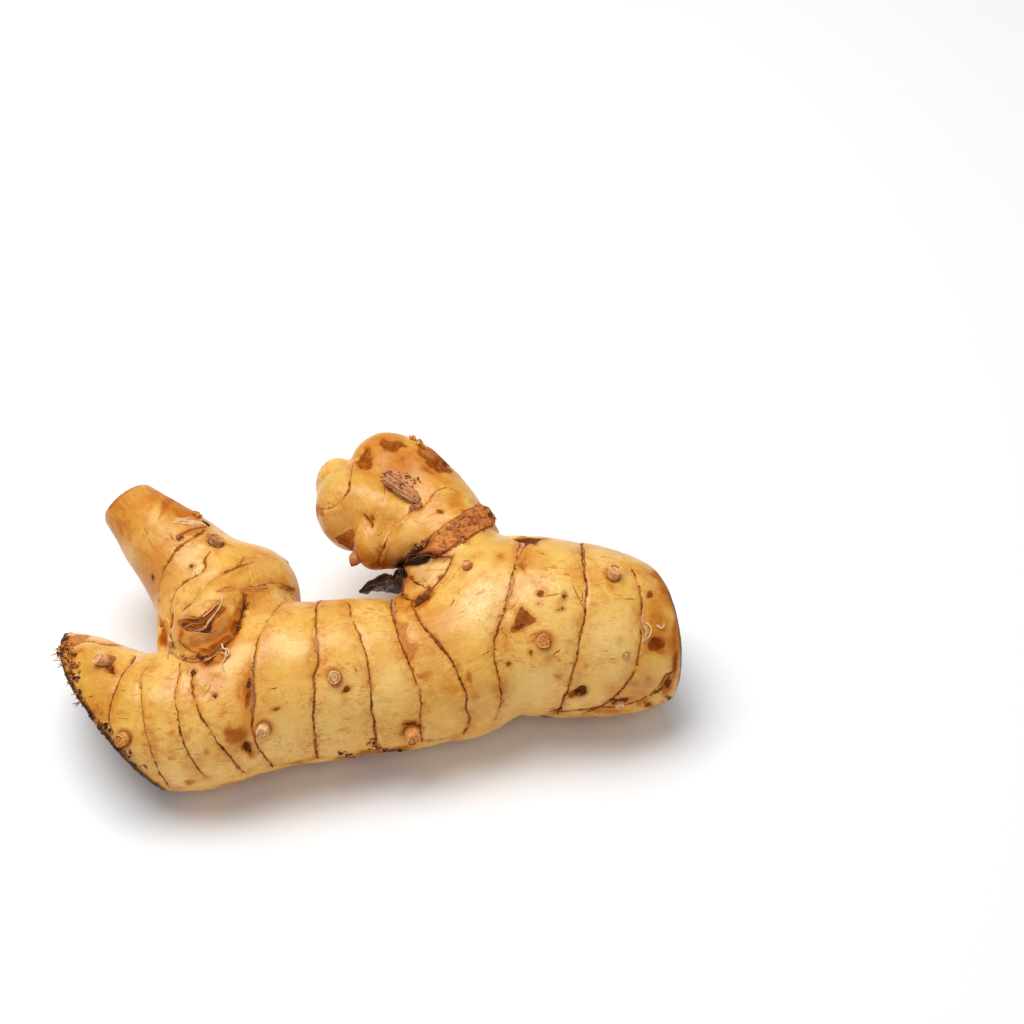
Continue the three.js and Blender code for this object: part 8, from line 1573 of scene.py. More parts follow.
def chip_material():
    return dry_material("bark_crumb", [(0.0, (244, 208, 158)), (0.12, (232, 178, 112)), (0.22, (218, 140, 48)), (0.35, (190, 112, 58)), (0.5, (164, 90, 46)), (0.75, (104, 54, 28)), (1.0, (46, 28, 20))], 0.75, 0.12, 0.3, 0.5, 0.14)


def withered_material():
    g = Graph("withered_scale")
    a, b = g.noise(0.6, 4, 0.6, dist=0.5, seed=51), g.noise(2.4, 2, 0.5, seed=52)
    t = g.add(g.mul(a, 0.6), g.mul(b, 0.4))
    col = ramp(g, g.fit(t, 0.32, 0.70), [(0.0, (24, 18, 16)), (0.45, (58, 46, 40)), (0.75, (116, 94, 80)), (1.0, (164, 118, 76))])
    col = g.mix(g.fit(g.attr("tone"), 0.82, 1.0, 0, 0.6), col, lin(112, 72, 44))
    g.put(g.bsdf.inputs["Base Color"], col)
    g.put(g.bsdf.inputs["Roughness"], g.fit(a, 0.3, 0.7, 0.32, 0.62))
    g.bsdf.inputs["Specular IOR Level"].default_value = 0.55
    g.put(g.bsdf.inputs["Normal"], g.bump(g.add(g.mul(a, 0.6), g.mul(g.noise(0.25, 3, 0.6, seed=53), 0.4)), 0.18, 0.9))
    return g.mat


def bud_material():
    g = Graph("bud_scale")
    t = g.attr("t")
    a, b = g.noise(0.5, 4, 0.6, seed=61), g.noise(1.9, 2, 0.5, seed=62)
    col = ramp(g, g.add(t, g.mul(g.add(b, -0.5), 0.6), True), [(0.0, (150, 84, 40)), (0.25, (186, 112, 66)), (0.6, (206, 132, 88)), (0.85, (170, 96, 60)), (1.0, (120, 64, 38))])
    col = g.mix(g.fit(a, 0.5, 0.75, 0, 0.55), col, lin(140, 74, 46))
    g.put(g.bsdf.inputs["Base Color"], col)
    g.put(g.bsdf.inputs["Roughness"], g.fit(a, 0.3, 0.7, 0.45, 0.7))
    g.bsdf.inputs["Specular IOR Level"].default_value = 0.35
    g.bsdf.inputs["Subsurface Weight"].default_value = 0.12
    g.bsdf.inputs["Subsurface Scale"].default_value = 0.001
    g.put(g.bsdf.inputs["Normal"], g.bump(g.add(g.mul(a, 0.7), g.mul(b, 0.3)), 0.14, 0.8))
    return g.mat


def root_material():
    g = Graph("cut_root")
    r, up, kind = g.attr("face_r"), g.attr("up"), g.attr("tone")
    a, b = g.noise(0.32, 4, 0.6, seed=71), g.noise(1.1, 2, 0.5, seed=72)
    j = g.add(r, g.add(g.mul(g.add(a, -0.5), 0.42), g.mul(g.add(b, -0.5), 0.30)))
    pale = ramp(g, kind, [(0.0, (246, 206, 152)), (0.5, (238, 176, 102)), (0.75, (214, 162, 114)), (1.0, (124, 78, 40))])
    mid = ramp(g, kind, [(0.0, (222, 152, 92)), (0.5, (204, 120, 44)), (0.75, (168, 104, 58)), (1.0, (84, 48, 26))])
    deep = ramp(g, kind, [(0.0, (156, 84, 40)), (0.5, (140, 68, 20)), (0.75, (104, 58, 30)), (1.0, (50, 28, 16))])
    face = g.mix(g.fit(j, 0.08, 0.20), deep, pale)
    face = g.mix(g.mul(g.mul(g.fit(j, 0.30, 0.42), g.fit(j, 0.66, 0.54)), 0.65), face, mid)
    face = g.mix(g.fit(g.noise(0.5, 3, 0.7, seed=74), 0.54, 0.66, 0, 0.85), face, deep)
    face = g.mix(g.fit(b, 0.42, 0.62, 0, 0.5), face, mid)
    face = g.mix(g.mul(g.mul(g.fit(j, 0.66, 0.74), g.fit(j, 0.90, 0.80)), g.fit(b, 0.35, 0.60)), face, deep)
    side = g.mix(g.fit(g.add(g.mul(a, 0.6), g.mul(b, 0.4)), 0.34, 0.62), pale, mid)
    # painted shade: the stalk's side darkens towards its foot, where it meets the skin
    side = g.mix(g.fit(up, 0.35, 0.0, 0, 0.85), side, deep)
    side = g.mix(g.fit(a, 0.56, 0.72, 0, 0.7), side, deep)
    col = g.mix(g.fit(r, 1.00, 1.06), face, side)
    g.put(g.bsdf.inputs["Base Color"], col)
    g.put(g.bsdf.inputs["Roughness"], g.fit(a, 0.25, 0.75, 0.55, 0.85))
    g.bsdf.inputs["Specular IOR Level"].default_value = 0.12
    g.bsdf.inputs["Subsurface Weight"].default_value = 0.10
    g.bsdf.inputs["Subsurface Scale"].default_value = 0.0008
    g.put(g.bsdf.inputs["Normal"], g.bump(g.add(g.mul(a, 0.7), g.mul(g.noise(0.15, 3, 0.6, seed=73), 0.3)), 0.12, 0.9))
    return g.mat


# sRGB colours
GROUND = [(243, 197, 105), (236, 181, 76), (224, 160, 55), (248, 210, 130), (208, 139, 42)]
# the pale colour serves both pale skin and painted highlight
PALE_AND_HIGHLIGHT, OLIVE, PINK, WARM = (250, 216, 140), (204, 156, 42), (214, 138, 78), (206, 126, 30)
ORANGE, ORANGE_DEEP, BROWN_SOFT_AND_SHADE, FRECKLE = (208, 122, 20), (168, 86, 10), (164, 84, 26), (170, 90, 16)
PINKBROWN, PINKBROWN_B = (208, 132, 72), (172, 94, 44)
BROWN, BROWN_B, REDBROWN, REDBROWN_B = (146, 72, 20), (108, 48, 14), (116, 44, 12), (156, 74, 20)
DARK, DARK_HALO = (70, 36, 14), (176, 98, 28)
LINE_DEEP = (112, 54, 12)
LINE_HALO, LINE_A, LINE_B, LINE_C = (214, 136, 46), (192, 110, 40), (158, 84, 20), (92, 44, 14)
BARK_A, BARK_B, BARK_C = (184, 98, 46), (214, 136, 72), (112, 48, 18)
STREAK, SEG_STAIN, RUST, RUST_DEEP, BLACK = (178, 96, 20), (214, 138, 38), (194, 110, 32), (146, 74, 24), (26, 17, 13)
CUT_A, CUT_B, CUT_C, RIM = (196, 142, 84), (222, 178, 116), (140, 88, 46), (70, 40, 22)
SKIN_ROUGH, SPEC, SSS = (0.28, 0.42), 0.34, (0.10, 0.0012)

skin = mesh_piece("rhizome_skin", VS, Q0, skin_material(), ATTRS, {"flow": FLOW})
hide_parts("rhizome")

# ------------------------------------------------------------------ roots, fibres, scales and crumbs
from mathutils.bvhtree import BVHTree

SKIN = BVHTree.FromPolygons([tuple(p) for p in VS.tolist()], [tuple(map(int, q)) for q in Q0])


def seat(P):
    """the nearest places of the finished skin, and its directions there"""
    out, nor = [], []
    for p in np.atleast_2d(P):
        a, n, _, _ = SKIN.find_nearest(Vector(p))
        out.append(tuple(a))
        nor.append(tuple(n))
    return np.array(out), np.array(nor)


class Pile:
    """Closed bodies that make one piece, with a value or two at each point."""

    def __init__(s):
        s.V, s.F, s.A, s.n = [], [], [], 0

    def add(s, V, F, **values):
        V = np.asarray(V, float)
        s.V.append(V)
        s.F += [tuple(int(k) + s.n for k in f) for f in F]
        s.A.append({k: np.broadcast_to(np.asarray(v, float), (len(V),)) for k, v in values.items()})
        s.n += len(V)

    def piece(s, name, material, smooth=True):
        keys = sorted({k for a in s.A for k in a})
        values = {k: np.concatenate([a.get(k, np.zeros(len(v))) for a, v in zip(s.A, s.V)]) for k in keys}
        return mesh_piece(name, np.concatenate(s.V), s.F, material, values, smooth=smooth)


def along_curve(P):
    """directions along and across a curve, with no twist"""
    D = unit(np.gradient(P, axis=0))
    A = np.zeros_like(P)
    a = np.array([0.31, 0.22, 0.93])
    for i in range(len(P)):
        a = a - D[i] * (a @ D[i])
        a = a / max(np.linalg.norm(a), 1e-9)
        A[i] = a
    return D, A, np.cross(D, A)


def skin_of(rows, closed_ends=True):
    """faces of rings (rows, sides) with a point at each end: ring vertices first, then the two ends"""
    m, k = rows
    F = []
    for i in range(m - 1):
        for j in range(k):
            a, b = i * k + j, i * k + (j + 1) % k
            F.append((a, b, b + k, a + k))
    s, e = m * k, m * k + 1
    for j in range(k):
        F.append((s, (j + 1) % k, j))
        F.append((e, (m - 1) * k + j, (m - 1) * k + (j + 1) % k))
    return F


def fibre(P, r0, r1, n=12, sides=6, flat=1.0, rough=0.2, seed=0):
    """a tapering fibre along points"""
    P = np.asarray(P, float)
    q = spline(np.column_stack([P, np.zeros((len(P), 2))]), n)[:, :3] if len(P) > 2 else P[0] + (P[-1] - P[0]) * np.linspace(0, 1, n)[:, None]
    D, A, Bn = along_curve(q)
    g = np.random.default_rng(seed)
    t = np.linspace(0, 1, n)
    ang = np.linspace(0, 2 * np.pi, sides, endpoint=False)
    V = []
    for i in range(n):
        r = (r0 + (r1 - r0) * t[i]) * (1 + rough * g.normal(size=sides) * 0.6)
        V.append(q[i] + A[i] * (np.cos(ang) * r * flat)[:, None] + Bn[i] * (np.sin(ang) * r)[:, None])
    V = np.concatenate(V + [[q[0] - D[0] * r0 * 0.3], [q[-1] + D[-1] * r1 * 0.6]])
    return V, skin_of((n, sides)), np.concatenate([np.repeat(t, sides), [0, 1]])


def crumb(c, size, axes, seed, rows=5, sides=8, rough=0.35):
    """an irregular grain"""
    g = np.random.default_rng(seed)
    th = np.linspace(0, np.pi, rows + 2)[1:-1]
    ang = np.linspace(0, 2 * np.pi, sides, endpoint=False)
    V = []
    for t in th:
        r = 1 + rough * g.normal(size=sides) * 0.5
        V.append(np.stack([np.sin(t) * np.cos(ang) * r, np.sin(t) * np.sin(ang) * r, np.cos(t) * (1 + 0.3 * rough * g.normal(size=sides))], 1))
    V = np.concatenate(V + [[[0, 0, 1.0]], [[0, 0, -1.0]]])
    V = V * np.asarray(size, float) @ np.asarray(axes) + c
    return V, [tuple(reversed(f)) for f in skin_of((rows, sides))]


def random_axes(g, n=None):
    a = unit(g.normal(size=3)) if n is None else unit(np.asarray(n, float))
    b = g.normal(size=3)
    b = unit(b - a * (a @ b))
    return np.array([b, np.cross(a, b), a])


def ribbon(base, out, up, width, height, thick, seed=0):
    """a thin closed strip: base points, its directions out and up, its width, lift and thickness at each"""
    n = len(base)
    g = np.random.default_rng(seed)
    xs = np.array([0.0, 0.33, 0.7, 1.0])
    top = []
    for k, x in enumerate(xs):
        h = height * (0.25 + 0.95 * x - 0.35 * x * x) * (1 + 0.35 * g.normal(size=n) * x)
        top.append(base + out * (width * x)[:, None] + up * h[:, None])
    top = np.array(top)
    low = top - up[None] * thick * np.array([1.2, 1, 0.8, 0.5])[:, None, None]
    ring = np.concatenate([top, low[::-1]])  # 8 around
    V = ring.transpose(1, 0, 2).reshape(-1, 3)
    V = np.concatenate([V, [ring[:, 0].mean(0)], [ring[:, -1].mean(0)]])
    F = skin_of((n, 8))
    t = np.tile(np.concatenate([xs, xs[::-1]]), n)
    return V, F, np.concatenate([t, [0.5, 0.5]])


def facing_out(V, F):
    """turns the faces round if they point in"""
    q = np.asarray(V)[np.array([(f[0], f[k], f[k + 1]) for f in F for k in range(1, len(f) - 1)])]
    vol = (q[:, 0] * np.cross(q[:, 1], q[:, 2])).sum()
    return F if vol > 0 else [tuple(reversed(f)) for f in F]


# --- cut roots: a short wrinkled stalk with a sawn face
def stub(c, r, h, kind, lean, seed):
    g = np.random.default_rng(seed)
    p, n = seat(c)
    p, n = p[0], n[0]
    ax = unit(n + lean * 0.55)
    e1 = np.cross(ax, [0.2, 0.1, 1.0])
    e1 = unit(e1)
    e2 = np.cross(ax, e1)
    side = [(1.42, -1.3), (1.30, -0.45), (1.13, -0.05), (1.00, 0.22), (0.96, 0.45), (0.99, 0.68), (0.97, 0.85), (1.00, 0.96)]
    face = [(0.95, 0.05), (0.84, 0.045), (0.75, -0.02), (0.66, -0.06), (0.57, -0.02), (0.49, 0.03), (0.40, -0.02), (0.30, -0.08), (0.20, -0.02), (0.10, -0.10)]
    m = 36
    ang = np.linspace(0, 2 * np.pi, m, endpoint=False)
    ph = g.uniform(0, 6.28, 8)
    shape = 1 + 0.05 * np.sin(2 * ang + ph[0]) + 0.04 * np.sin(3 * ang + ph[1])
    wr = 0.045 * np.sin(9 * ang + ph[2]) + 0.035 * np.sin(14 * ang + ph[3]) + 0.03 * np.sin(5 * ang + ph[4])
    crease = {"pale": 0.6, "tan": 0.9, "grey": 0.9, "brown": 1.0, "pink": 1.2, "dark": 0.6}[kind]
    tiltx, tilty = g.normal(0, 0.10, 2)
    rows, fr, hg = [], [], []
    for k, (f, z) in enumerate(side):
        rr = r * f * (shape + wr * crease * (0.4 + 0.6 * min(1, max(0, z + 0.2) * 2)) + 0.02 * g.normal(size=m))
        zz = z * h + np.where(z > 0.5, (tiltx * np.cos(ang) + tilty * np.sin(ang)) * r, 0)
        rows.append(p + e1 * (np.cos(ang) * rr)[:, None] + e2 * (np.sin(ang) * rr)[:, None] + ax * (zz + 0 * ang)[:, None])
        fr.append(np.full(m, 1.15))
        hg.append(np.full(m, max(0.0, z)))
    for f, z in face:
        rr = r * f * (shape + wr * crease * f * 0.8)
        fold = 0.05 * crease * np.sin(6 * ang + ph[5] + 3 * f) + 0.03 * crease * g.normal(size=m)
        zz = h + z * r * 1.6 + fold * r * (0.4 + f * 0.4) + (tiltx * np.cos(ang) + tilty * np.sin(ang)) * r * f
        rows.append(p + e1 * (np.cos(ang) * rr)[:, None] + e2 * (np.sin(ang) * rr)[:, None] + ax * zz[:, None])
        fr.append(np.full(m, f))
        hg.append(np.full(m, 1.0))
    V = np.concatenate(rows + [[p - ax * 1.5 * h], [p + ax * (h - 0.10 * r)]])
    F = skin_of((len(rows), m))
    return V, F, np.concatenate(fr + [[1.2], [0.0]]), np.concatenate(hg + [[0.0], [1.0]])


ROOT_KIND = {"pale": 0.0, "pink": 0.25, "tan": 0.5, "grey": 0.75, "brown": 0.62, "dark": 1.0}
roots = Pile()
for k, (c, r, h, kind, lean) in enumerate(STUBS):
    V, F, fr, hg = stub(c, r, h, kind, lean, 300 + k)
    roots.add(V, facing_out(V, F), face_r=fr, up=hg, tone=ROOT_KIND[kind])
    p, n = seat(c)
    # a torn lip of skin and loose fibres round its foot
    g = np.random.default_rng(700 + k)
    for j in range(7 if r > 0.8 else 3):
        a = g.uniform(0, 6.28)
        e1 = unit(np.cross(n[0], [0.2, 0.1, 1.0]))
        e2 = np.cross(n[0], e1)
        d = e1 * np.cos(a) + e2 * np.sin(a)
        b, nb = seat(p[0] + d * r * 1.12)
        up_ = unit(n[0] * 0.9 + d * g.uniform(-0.2, 0.5) + g.normal(0, 0.2, 3))
        ln = g.uniform(0.25, 0.7) * min(1.0, r)
        V, F, t = fibre([b[0] - n[0] * 0.15, b[0] + up_ * ln * 0.5, b[0] + up_ * ln + g.normal(0, 0.12, 3)], g.uniform(0.07, 0.13), 0.03, 5, 5, 1.6, 0.3, 900 + 13 * k + j)
        roots.add(V, facing_out(V, F), face_r=1.15, up=0.3, tone=g.choice([0.1, 0.5, 0.75]))

# --- dry hairs and frayed fibres
strands = Pile()
for k, (kind, r0, r1, tone, pts) in enumerate(STRANDS):
    if len(pts) < 2:
        continue
    P = np.array(pts) + ORIGIN
    S_, N_ = seat(P)
    under = ((P - S_) * N_).sum(1)
    P = P + N_ * np.maximum(0.0, 0.02 + r0 * 0.5 - under)[:, None]
    V, F, t = fibre(P, r0, r1, 26, 7, 1.0, 0.18, 40 + k)
    strands.add(V, facing_out(V, F), tone=tone + 0.15 * t)

# --- the frill of torn scale bases along the leaf scars
frill = Pile()
g = np.random.default_rng(5)
for L in lines:
    if L.fringe < 0.15 or L.name[0] in "s":
        continue
    sgn = np.sign(np.median(L.step) + 1e-9)
    weight = L.fringe * np.clip(L.dark, 0, 1) * (0.35 + 0.9 * smoothstep(-0.1, 0.4, noise(np.stack([L.t, L.t * 0, L.t * 0], 1), 6.0, 77)))
    count = g.poisson(np.clip(weight * 0.85, 0, 3))
    idx = np.repeat(np.arange(len(L.P)), count)
    if not len(idx):
        continue
    base = L.P[idx] + L.D[idx] * g.uniform(-0.2, 0.2, len(idx))[:, None] + L.side[idx] * g.normal(0.0, 0.14, len(idx))[:, None]
    S_, N_ = seat(base)
    for i, p, n in zip(idx, S_, N_):
        way = -sgn if g.random() < 0.72 else sgn
        d = unit(L.side[i] * way * g.uniform(0.4, 1.0) + L.D[i] * g.normal(0, 0.55) + n * g.uniform(0.10, 0.8))
        ln = g.gamma(2.4, 0.16) + 0.12
        w = g.uniform(0.045, 0.11)
        bend = n * g.normal(-0.05, 0.10)
        V, F, t = fibre([p - n * 0.08, p + d * ln * 0.5 + bend * ln, p + d * ln + bend * ln * 0.4], w, w * 0.35, 4, 4, g.uniform(0.5, 1.0), 0.3, int(g.integers(1e6)))
        frill.add(V, facing_out(V, F), tone=float(np.clip(g.normal(0.62, 0.25), 0.05, 1.0)))


# --- raised, dried edges of the scales beside some scars
def torn_edge(name, t0, t1, w0, w1, lift, tone, seed, way=1.0):
    L = next(l for l in lines if l.name == name)
    a, b = int(t0 * (len(L.P) - 1)), int(t1 * (len(L.P) - 1))
    a, b = min(a, b), max(a, b)
    i = np.arange(a, b, 1)
    g = np.random.default_rng(seed)
    t = np.linspace(0, 1, len(i))
    ends = np.minimum(1, 6 * np.minimum(t, 1 - t)) ** 0.7
    k = np.stack([L.t[i], L.t[i] * 0, L.t[i] * 0], 1)
    w = (w0 + (w1 - w0) * t) * ends * np.clip(1 + 0.7 * noise(k, 1.1, seed) + 0.5 * noise(k, 3.0, seed + 1), 0.25, 2)
    hgt = lift * ends * np.clip(0.7 + 0.9 * noise(k, 1.6, seed + 2), 0.1, 1.8)
    sgn = np.sign(np.median(L.step) + 1e-9) * way
    base, N_ = seat(L.P[i] + L.side[i] * sgn * 0.02)
    far, NF = seat(L.P[i] + L.side[i] * sgn * w[:, None])
    out = unit(far - base + L.side[i] * sgn * 1e-3)
    width = np.linalg.norm(far - base, axis=1) + 0.03
    V, F, x = ribbon(base, out, unit(N_ + NF), width, hgt + 0.03, 0.14, seed)
    frill.add(V, facing_out(V, F), tone=tone + 0.22 * np.abs(x - 0.5))


torn_edge("r8", 0.02, 0.30, 1.1, 0.7, 0.32, 0.35, 51)
torn_edge("r6", 0.0, 0.12, 0.7, 0.4, 0.25, 0.30, 52)
torn_edge("r6", 0.30, 0.42, 0.35, 0.5, 0.18, 0.35, 53, -1.0)
torn_edge("r5", 0.02, 0.20, 0.5, 0.35, 0.22, 0.35, 54)
torn_edge("r5", 0.45, 0.72, 0.3, 0.35, 0.18, 0.45, 55, -1.0)
torn_edge("r9", 0.25, 0.45, 0.4, 0.45, 0.2, 0.55, 56)
torn_edge("r10", 0.86, 1.0, 0.5, 0.7, 0.22, 0.25, 57, -1.0)
torn_edge("r10", 0.60, 0.76, 0.4, 0.45, 0.16, 0.3, 58, -1.0)
torn_edge("r11", 0.1, 0.3, 0.35, 0.3, 0.15, 0.5, 59)
torn_edge("r12", 0.2, 0.45, 0.4, 0.4, 0.15, 0.2, 60)
torn_edge("f1", 0.03, 0.75, 0.45, 0.35, 0.18, 0.5, 61)
torn_edge("f4", 0.0, 0.6, 0.6, 0.45, 0.25, 0.3, 62)
torn_edge("f5", 0.0, 0.5, 0.4, 0.35, 0.22, 0.4, 63, -1.0)
torn_edge("n1", 0.3, 1.0, 0.35, 0.55, 0.22, 0.6, 64)
torn_edge("r1", 0.0, 0.3, 0.3, 0.3, 0.18, 0.6, 65)


# --- thin flakes and grains
def flake(c, n, size, lean, tone, pile, seed):
    g = np.random.default_rng(seed)
    ax = random_axes(g, unit(np.asarray(n) + lean))
    V, F = crumb(c, size, ax, seed, 4, 9, 0.55)
    pile.add(V, facing_out(V, F), tone=tone)


def place(name):
    c, n = PLACES[name]
    p, m = seat(np.array(c) + ORIGIN)
    return p[0], m[0]


# --- the dead shoot's woody stump on the head
stump = Pile()
g = np.random.default_rng(11)
axis = np.array(FREE["stump"]) + ORIGIN
q = spline(np.column_stack([axis, np.zeros((len(axis), 2))]), 26)[:, :3]
D_, A_, B_ = along_curve(q)
m = 44
ang = np.linspace(0, 2 * np.pi, m, endpoint=False)
tt = np.linspace(0, 1, 26)
rad = np.interp(tt, [0, 0.12, 0.5, 0.85, 1.0], [1.00, 1.25, 1.60, 1.75, 1.55])
ridge = np.zeros((26, m))
for k in range(26):
    tw = 0.5 * tt[k]
    ridge[k] = 0.10 * np.sin(11 * (ang + tw)) + 0.075 * np.sin(17 * (ang + tw) + 1.1) + 0.07 * np.sin(5 * (ang + tw) + 2.0)
ridge += 0.05 * g.normal(size=ridge.shape) + 0.05 * np.repeat(g.normal(size=(1, m)), 26, 0)
V = np.concatenate([q[k] + A_[k] * (np.cos(ang) * rad[k] * (1 + ridge[k]))[:, None] + B_[k] * (np.sin(ang) * rad[k] * (0.86 + ridge[k]))[:, None] for k in range(26)] + [[q[0]], [q[-1] - D_[-1] * 0.5]])
F = skin_of((26, m))
stump.add(V, facing_out(V, F), tone=np.concatenate([np.repeat(0.08 + 0.30 * tt, m), [0.5, 0.9]]), ridge=np.concatenate([(ridge * 3).ravel(), [0, -0.5]]))
for k in range(46):  # its frayed fibres
    a, r = g.uniform(0, 6.28), g.uniform(0.35, 1.0)
    s = 25 if k < 30 else int(g.integers(6, 22))
    o = q[s] + (A_[s] * np.cos(a) + B_[s] * np.sin(a)) * rad[s] * (r if k < 30 else 1.0)
    d = unit(D_[s] * (1.0 if k < 30 else 0.9) + (A_[s] * np.cos(a) + B_[s] * np.sin(a)) * g.uniform(0.0, 0.45) + g.normal(0, 0.15, 3))
    ln = g.uniform(0.5, 1.6) if k < 30 else g.uniform(0.6, 1.8)
    V, F, t = fibre([o - D_[s] * 0.5, o + d * ln * 0.5, o + d * ln + g.normal(0, 0.10, 3)], g.uniform(0.09, 0.17), 0.03, 6, 5, 1.5, 0.3, 60 + k)
    stump.add(V, facing_out(V, F), tone=float(np.clip(g.normal(0.45, 0.25), 0, 1)), ridge=0.0)
up_side = unit(np.array([0.25, 0.8, 0.55]))
for k in range(64):  # crumbly orange bark and dark grains along its upper side, and round its end
    s = int(g.integers(4, 24))
    v = unit(up_side + g.normal(0, 0.5, 3))
    v = unit(v - D_[s] * (v @ D_[s]))
    o = q[s] + v * rad[s] * g.uniform(0.85, 1.15)
    flake(o, v, g.uniform(0.18, 0.52, 3) * [1, 0.8, 0.6], g.normal(0, 0.4, 3), float(g.choice([0.0, 0.1, 0.2, 0.3, 0.5])), stump, 120 + k)
for k in range(40):
    c, n = place(["sc0", "sc1", "sc3", "sc4", "stub_tip", "sc8", "sc2"][k % 7])
    s_, n_ = seat(c + g.normal(0, 0.5, 3))
    flake(s_[0] + n_[0] * g.uniform(0.05, 0.5), n_[0], g.uniform(0.12, 0.36, 3) * [1, 0.8, 0.6], g.normal(0, 0.5, 3), float(g.choice([0.0, 0.15, 0.35, 0.6])), stump, 320 + k)
for k in range(16):  # the pinkish scar at its foot
    c, n = place(["sc5", "sc6", "sc7"][k % 3])
    s_, n_ = seat(c + g.normal(0, 0.6, 3))
    flake(s_[0] + n_[0] * 0.03, n_[0], (g.uniform(0.25, 0.6), g.uniform(0.2, 0.45), g.uniform(0.08, 0.18)), g.normal(0, 0.15, 3), float(g.uniform(0.25, 0.6)), stump, 170 + k)

# --- loose scales, chips and bark crumbs elsewhere
chips = Pile()


def scatter(names, count, spread, size, tones, lift, lean, seed, pile=None):
    g = np.random.default_rng(seed)
    for k in range(count):
        c, n = place(names[k % len(names)])
        s_, n_ = seat(c + g.normal(0, spread, 3))
        u_ = g.uniform(0.6, 1.3)
        flake(s_[0] + n_[0] * g.uniform(0, lift), n_[0], np.array(size) * u_ * g.uniform(0.7, 1.3, 3), g.normal(0, lean, 3), float(g.choice(tones)), pile or chips, seed * 7 + k)


scatter(["bandA", "bandB", "bandC", "bandD", "bandF", "bandG", "bandH", "bandI", "bandJ"], 60, 0.8, (0.7, 0.34, 0.10), [0.24, 0.30, 0.36, 0.42, 0.5], 0.06, 0.18, 31)
scatter(["bandD", "bandE"], 34, 0.7, (0.6, 0.24, 0.12), [0.5, 0.7, 0.9, 1.0, 0.4], 0.25, 0.6, 32)
scatter(["scab0", "scab1", "scab6"], 22, 0.5, (0.42, 0.26, 0.15), [0.35, 0.6, 0.95, 0.15], 0.15, 0.5, 33)
scatter(["scab2", "scab3", "scab4", "scab5"], 34, 0.7, (0.45, 0.26, 0.15), [0.35, 0.6, 0.95, 0.15], 0.18, 0.5, 34)
scatter(["rim0", "rim1", "rim2", "rim3", "rim4"], 40, 0.9, (0.5, 0.34, 0.14), [0.4, 0.6, 0.85, 1.0, 0.75], 0.12, 0.3, 35)
scatter(["rim5", "rim6"], 14, 0.9, (0.4, 0.25, 0.14), [0.6, 0.85, 1.0], 0.15, 0.4, 36)
scatter(["tuft0", "tuft1", "tuft2", "tuft3", "tuft4"], 46, 0.8, (0.55, 0.35, 0.25), [0.3, 0.5, 0.2, 0.95, 0.6], 0.55, 0.8, 37)

# the fibrous tuft at the old end
g = np.random.default_rng(19)
for k in range(54):
    c, n = place(["tuft0", "tuft1", "tuft2", "tuft3", "tuft1", "tuft2", "rim0", "rim1"][k % 8])
    s_, n_ = seat(c + g.normal(0, 0.7, 3))
    o, n = s_[0], n_[0]
    d = unit(n * g.uniform(0.4, 1.0) + np.array([-0.5, -0.4, -0.2]) * g.uniform(0.2, 1.2) + g.normal(0, 0.45, 3))
    ln = g.uniform(0.7, 2.2)
    curl = np.cross(d, g.normal(size=3)) * g.uniform(0.1, 0.5)
    V, F, t = fibre([o - n * 0.2, o + d * ln * 0.4 + curl * 0.3, o + d * ln * 0.75 + curl * 0.9, o + d * ln * 0.9 + curl * 1.5], g.uniform(0.09, 0.2), 0.045, 12, 5, g.uniform(1.0, 2.0), 0.25, 400 + k)
    chips.add(V, facing_out(V, F), tone=float(np.clip(g.normal(0.42, 0.25), 0, 1)))

# orange scraps that stand on the top of the head
g = np.random.default_rng(29)
for k, nm in enumerate(["top1", "top1", "top2", "top2", "top3", "top1", "top2", "top3", "top1", "top2", "top1"]):
    c, n = place(nm)
    s_, n_ = seat(c + g.normal(0, 0.55, 3))
    up_ = unit(np.array([0.1, 0.75, 0.65]) + g.normal(0, 0.25, 3))
    flake(s_[0] + up_ * g.uniform(0.05, 0.55), up_, (g.uniform(0.45, 0.85), g.uniform(0.25, 0.45), g.uniform(0.35, 0.75)), g.normal(0, 0.5, 3), float(g.choice([0.17, 0.22, 0.26, 0.33])), chips, 500 + k)

# dry peel on the finger, and the orange scrap and dark bark beside it
g = np.random.default_rng(37)
for k in range(26):
    a, _ = place("peel0")
    b, _ = place("peel2")
    f0 = g.uniform(0, 1)
    o = a + (b - a) * f0 + g.normal(0, 0.55, 3)
    d = unit(b - a + g.normal(0, 0.8, 3) * 1.2)
    ln = g.uniform(1.0, 3.4)
    P, N_ = seat(np.array([o + d * ln * x for x in (-0.5, -0.17, 0.17, 0.5)]))
    V, F, t = fibre(P + N_ * np.array([0.0, 0.10, 0.12, 0.02])[:, None], g.uniform(0.09, 0.20), 0.06, 9, 6, 2.2, 0.25, 540 + k)
    chips.add(V, facing_out(V, F), tone=float(g.choice([0.02, 0.06, 0.12])))
for k in range(5):
    c, n = place("flakeo")
    s_, n_ = seat(c + g.normal(0, 0.5, 3))
    flake(s_[0] + n_[0] * 0.25, n_[0], (0.8, 0.5, 0.32), g.normal(0, 0.4, 3), 0.24, chips, 580 + k)
a, _ = place("ridge0")
b, _ = place("ridge2")
P, N_ = seat(np.array([a + (b - a) * x for x in (-0.05, 0.2, 0.45, 0.7, 1.05)]))
V, F, t = fibre(P + N_ * np.array([-0.05, 0.10, 0.14, 0.10, -0.05])[:, None], 0.34, 0.24, 18, 10, 1.5, 0.10, 590)
chips.add(V, facing_out(V, F), tone=0.20)
a, _ = place("bark0")
b, _ = place("bark1")
P, N_ = seat(np.array([a + (b - a) * x for x in (-0.2, 0.25, 0.7, 1.2)]))
V, F, t = fibre(P + N_ * 0.15, 0.30, 0.22, 12, 8, 1.5, 0.4, 601)
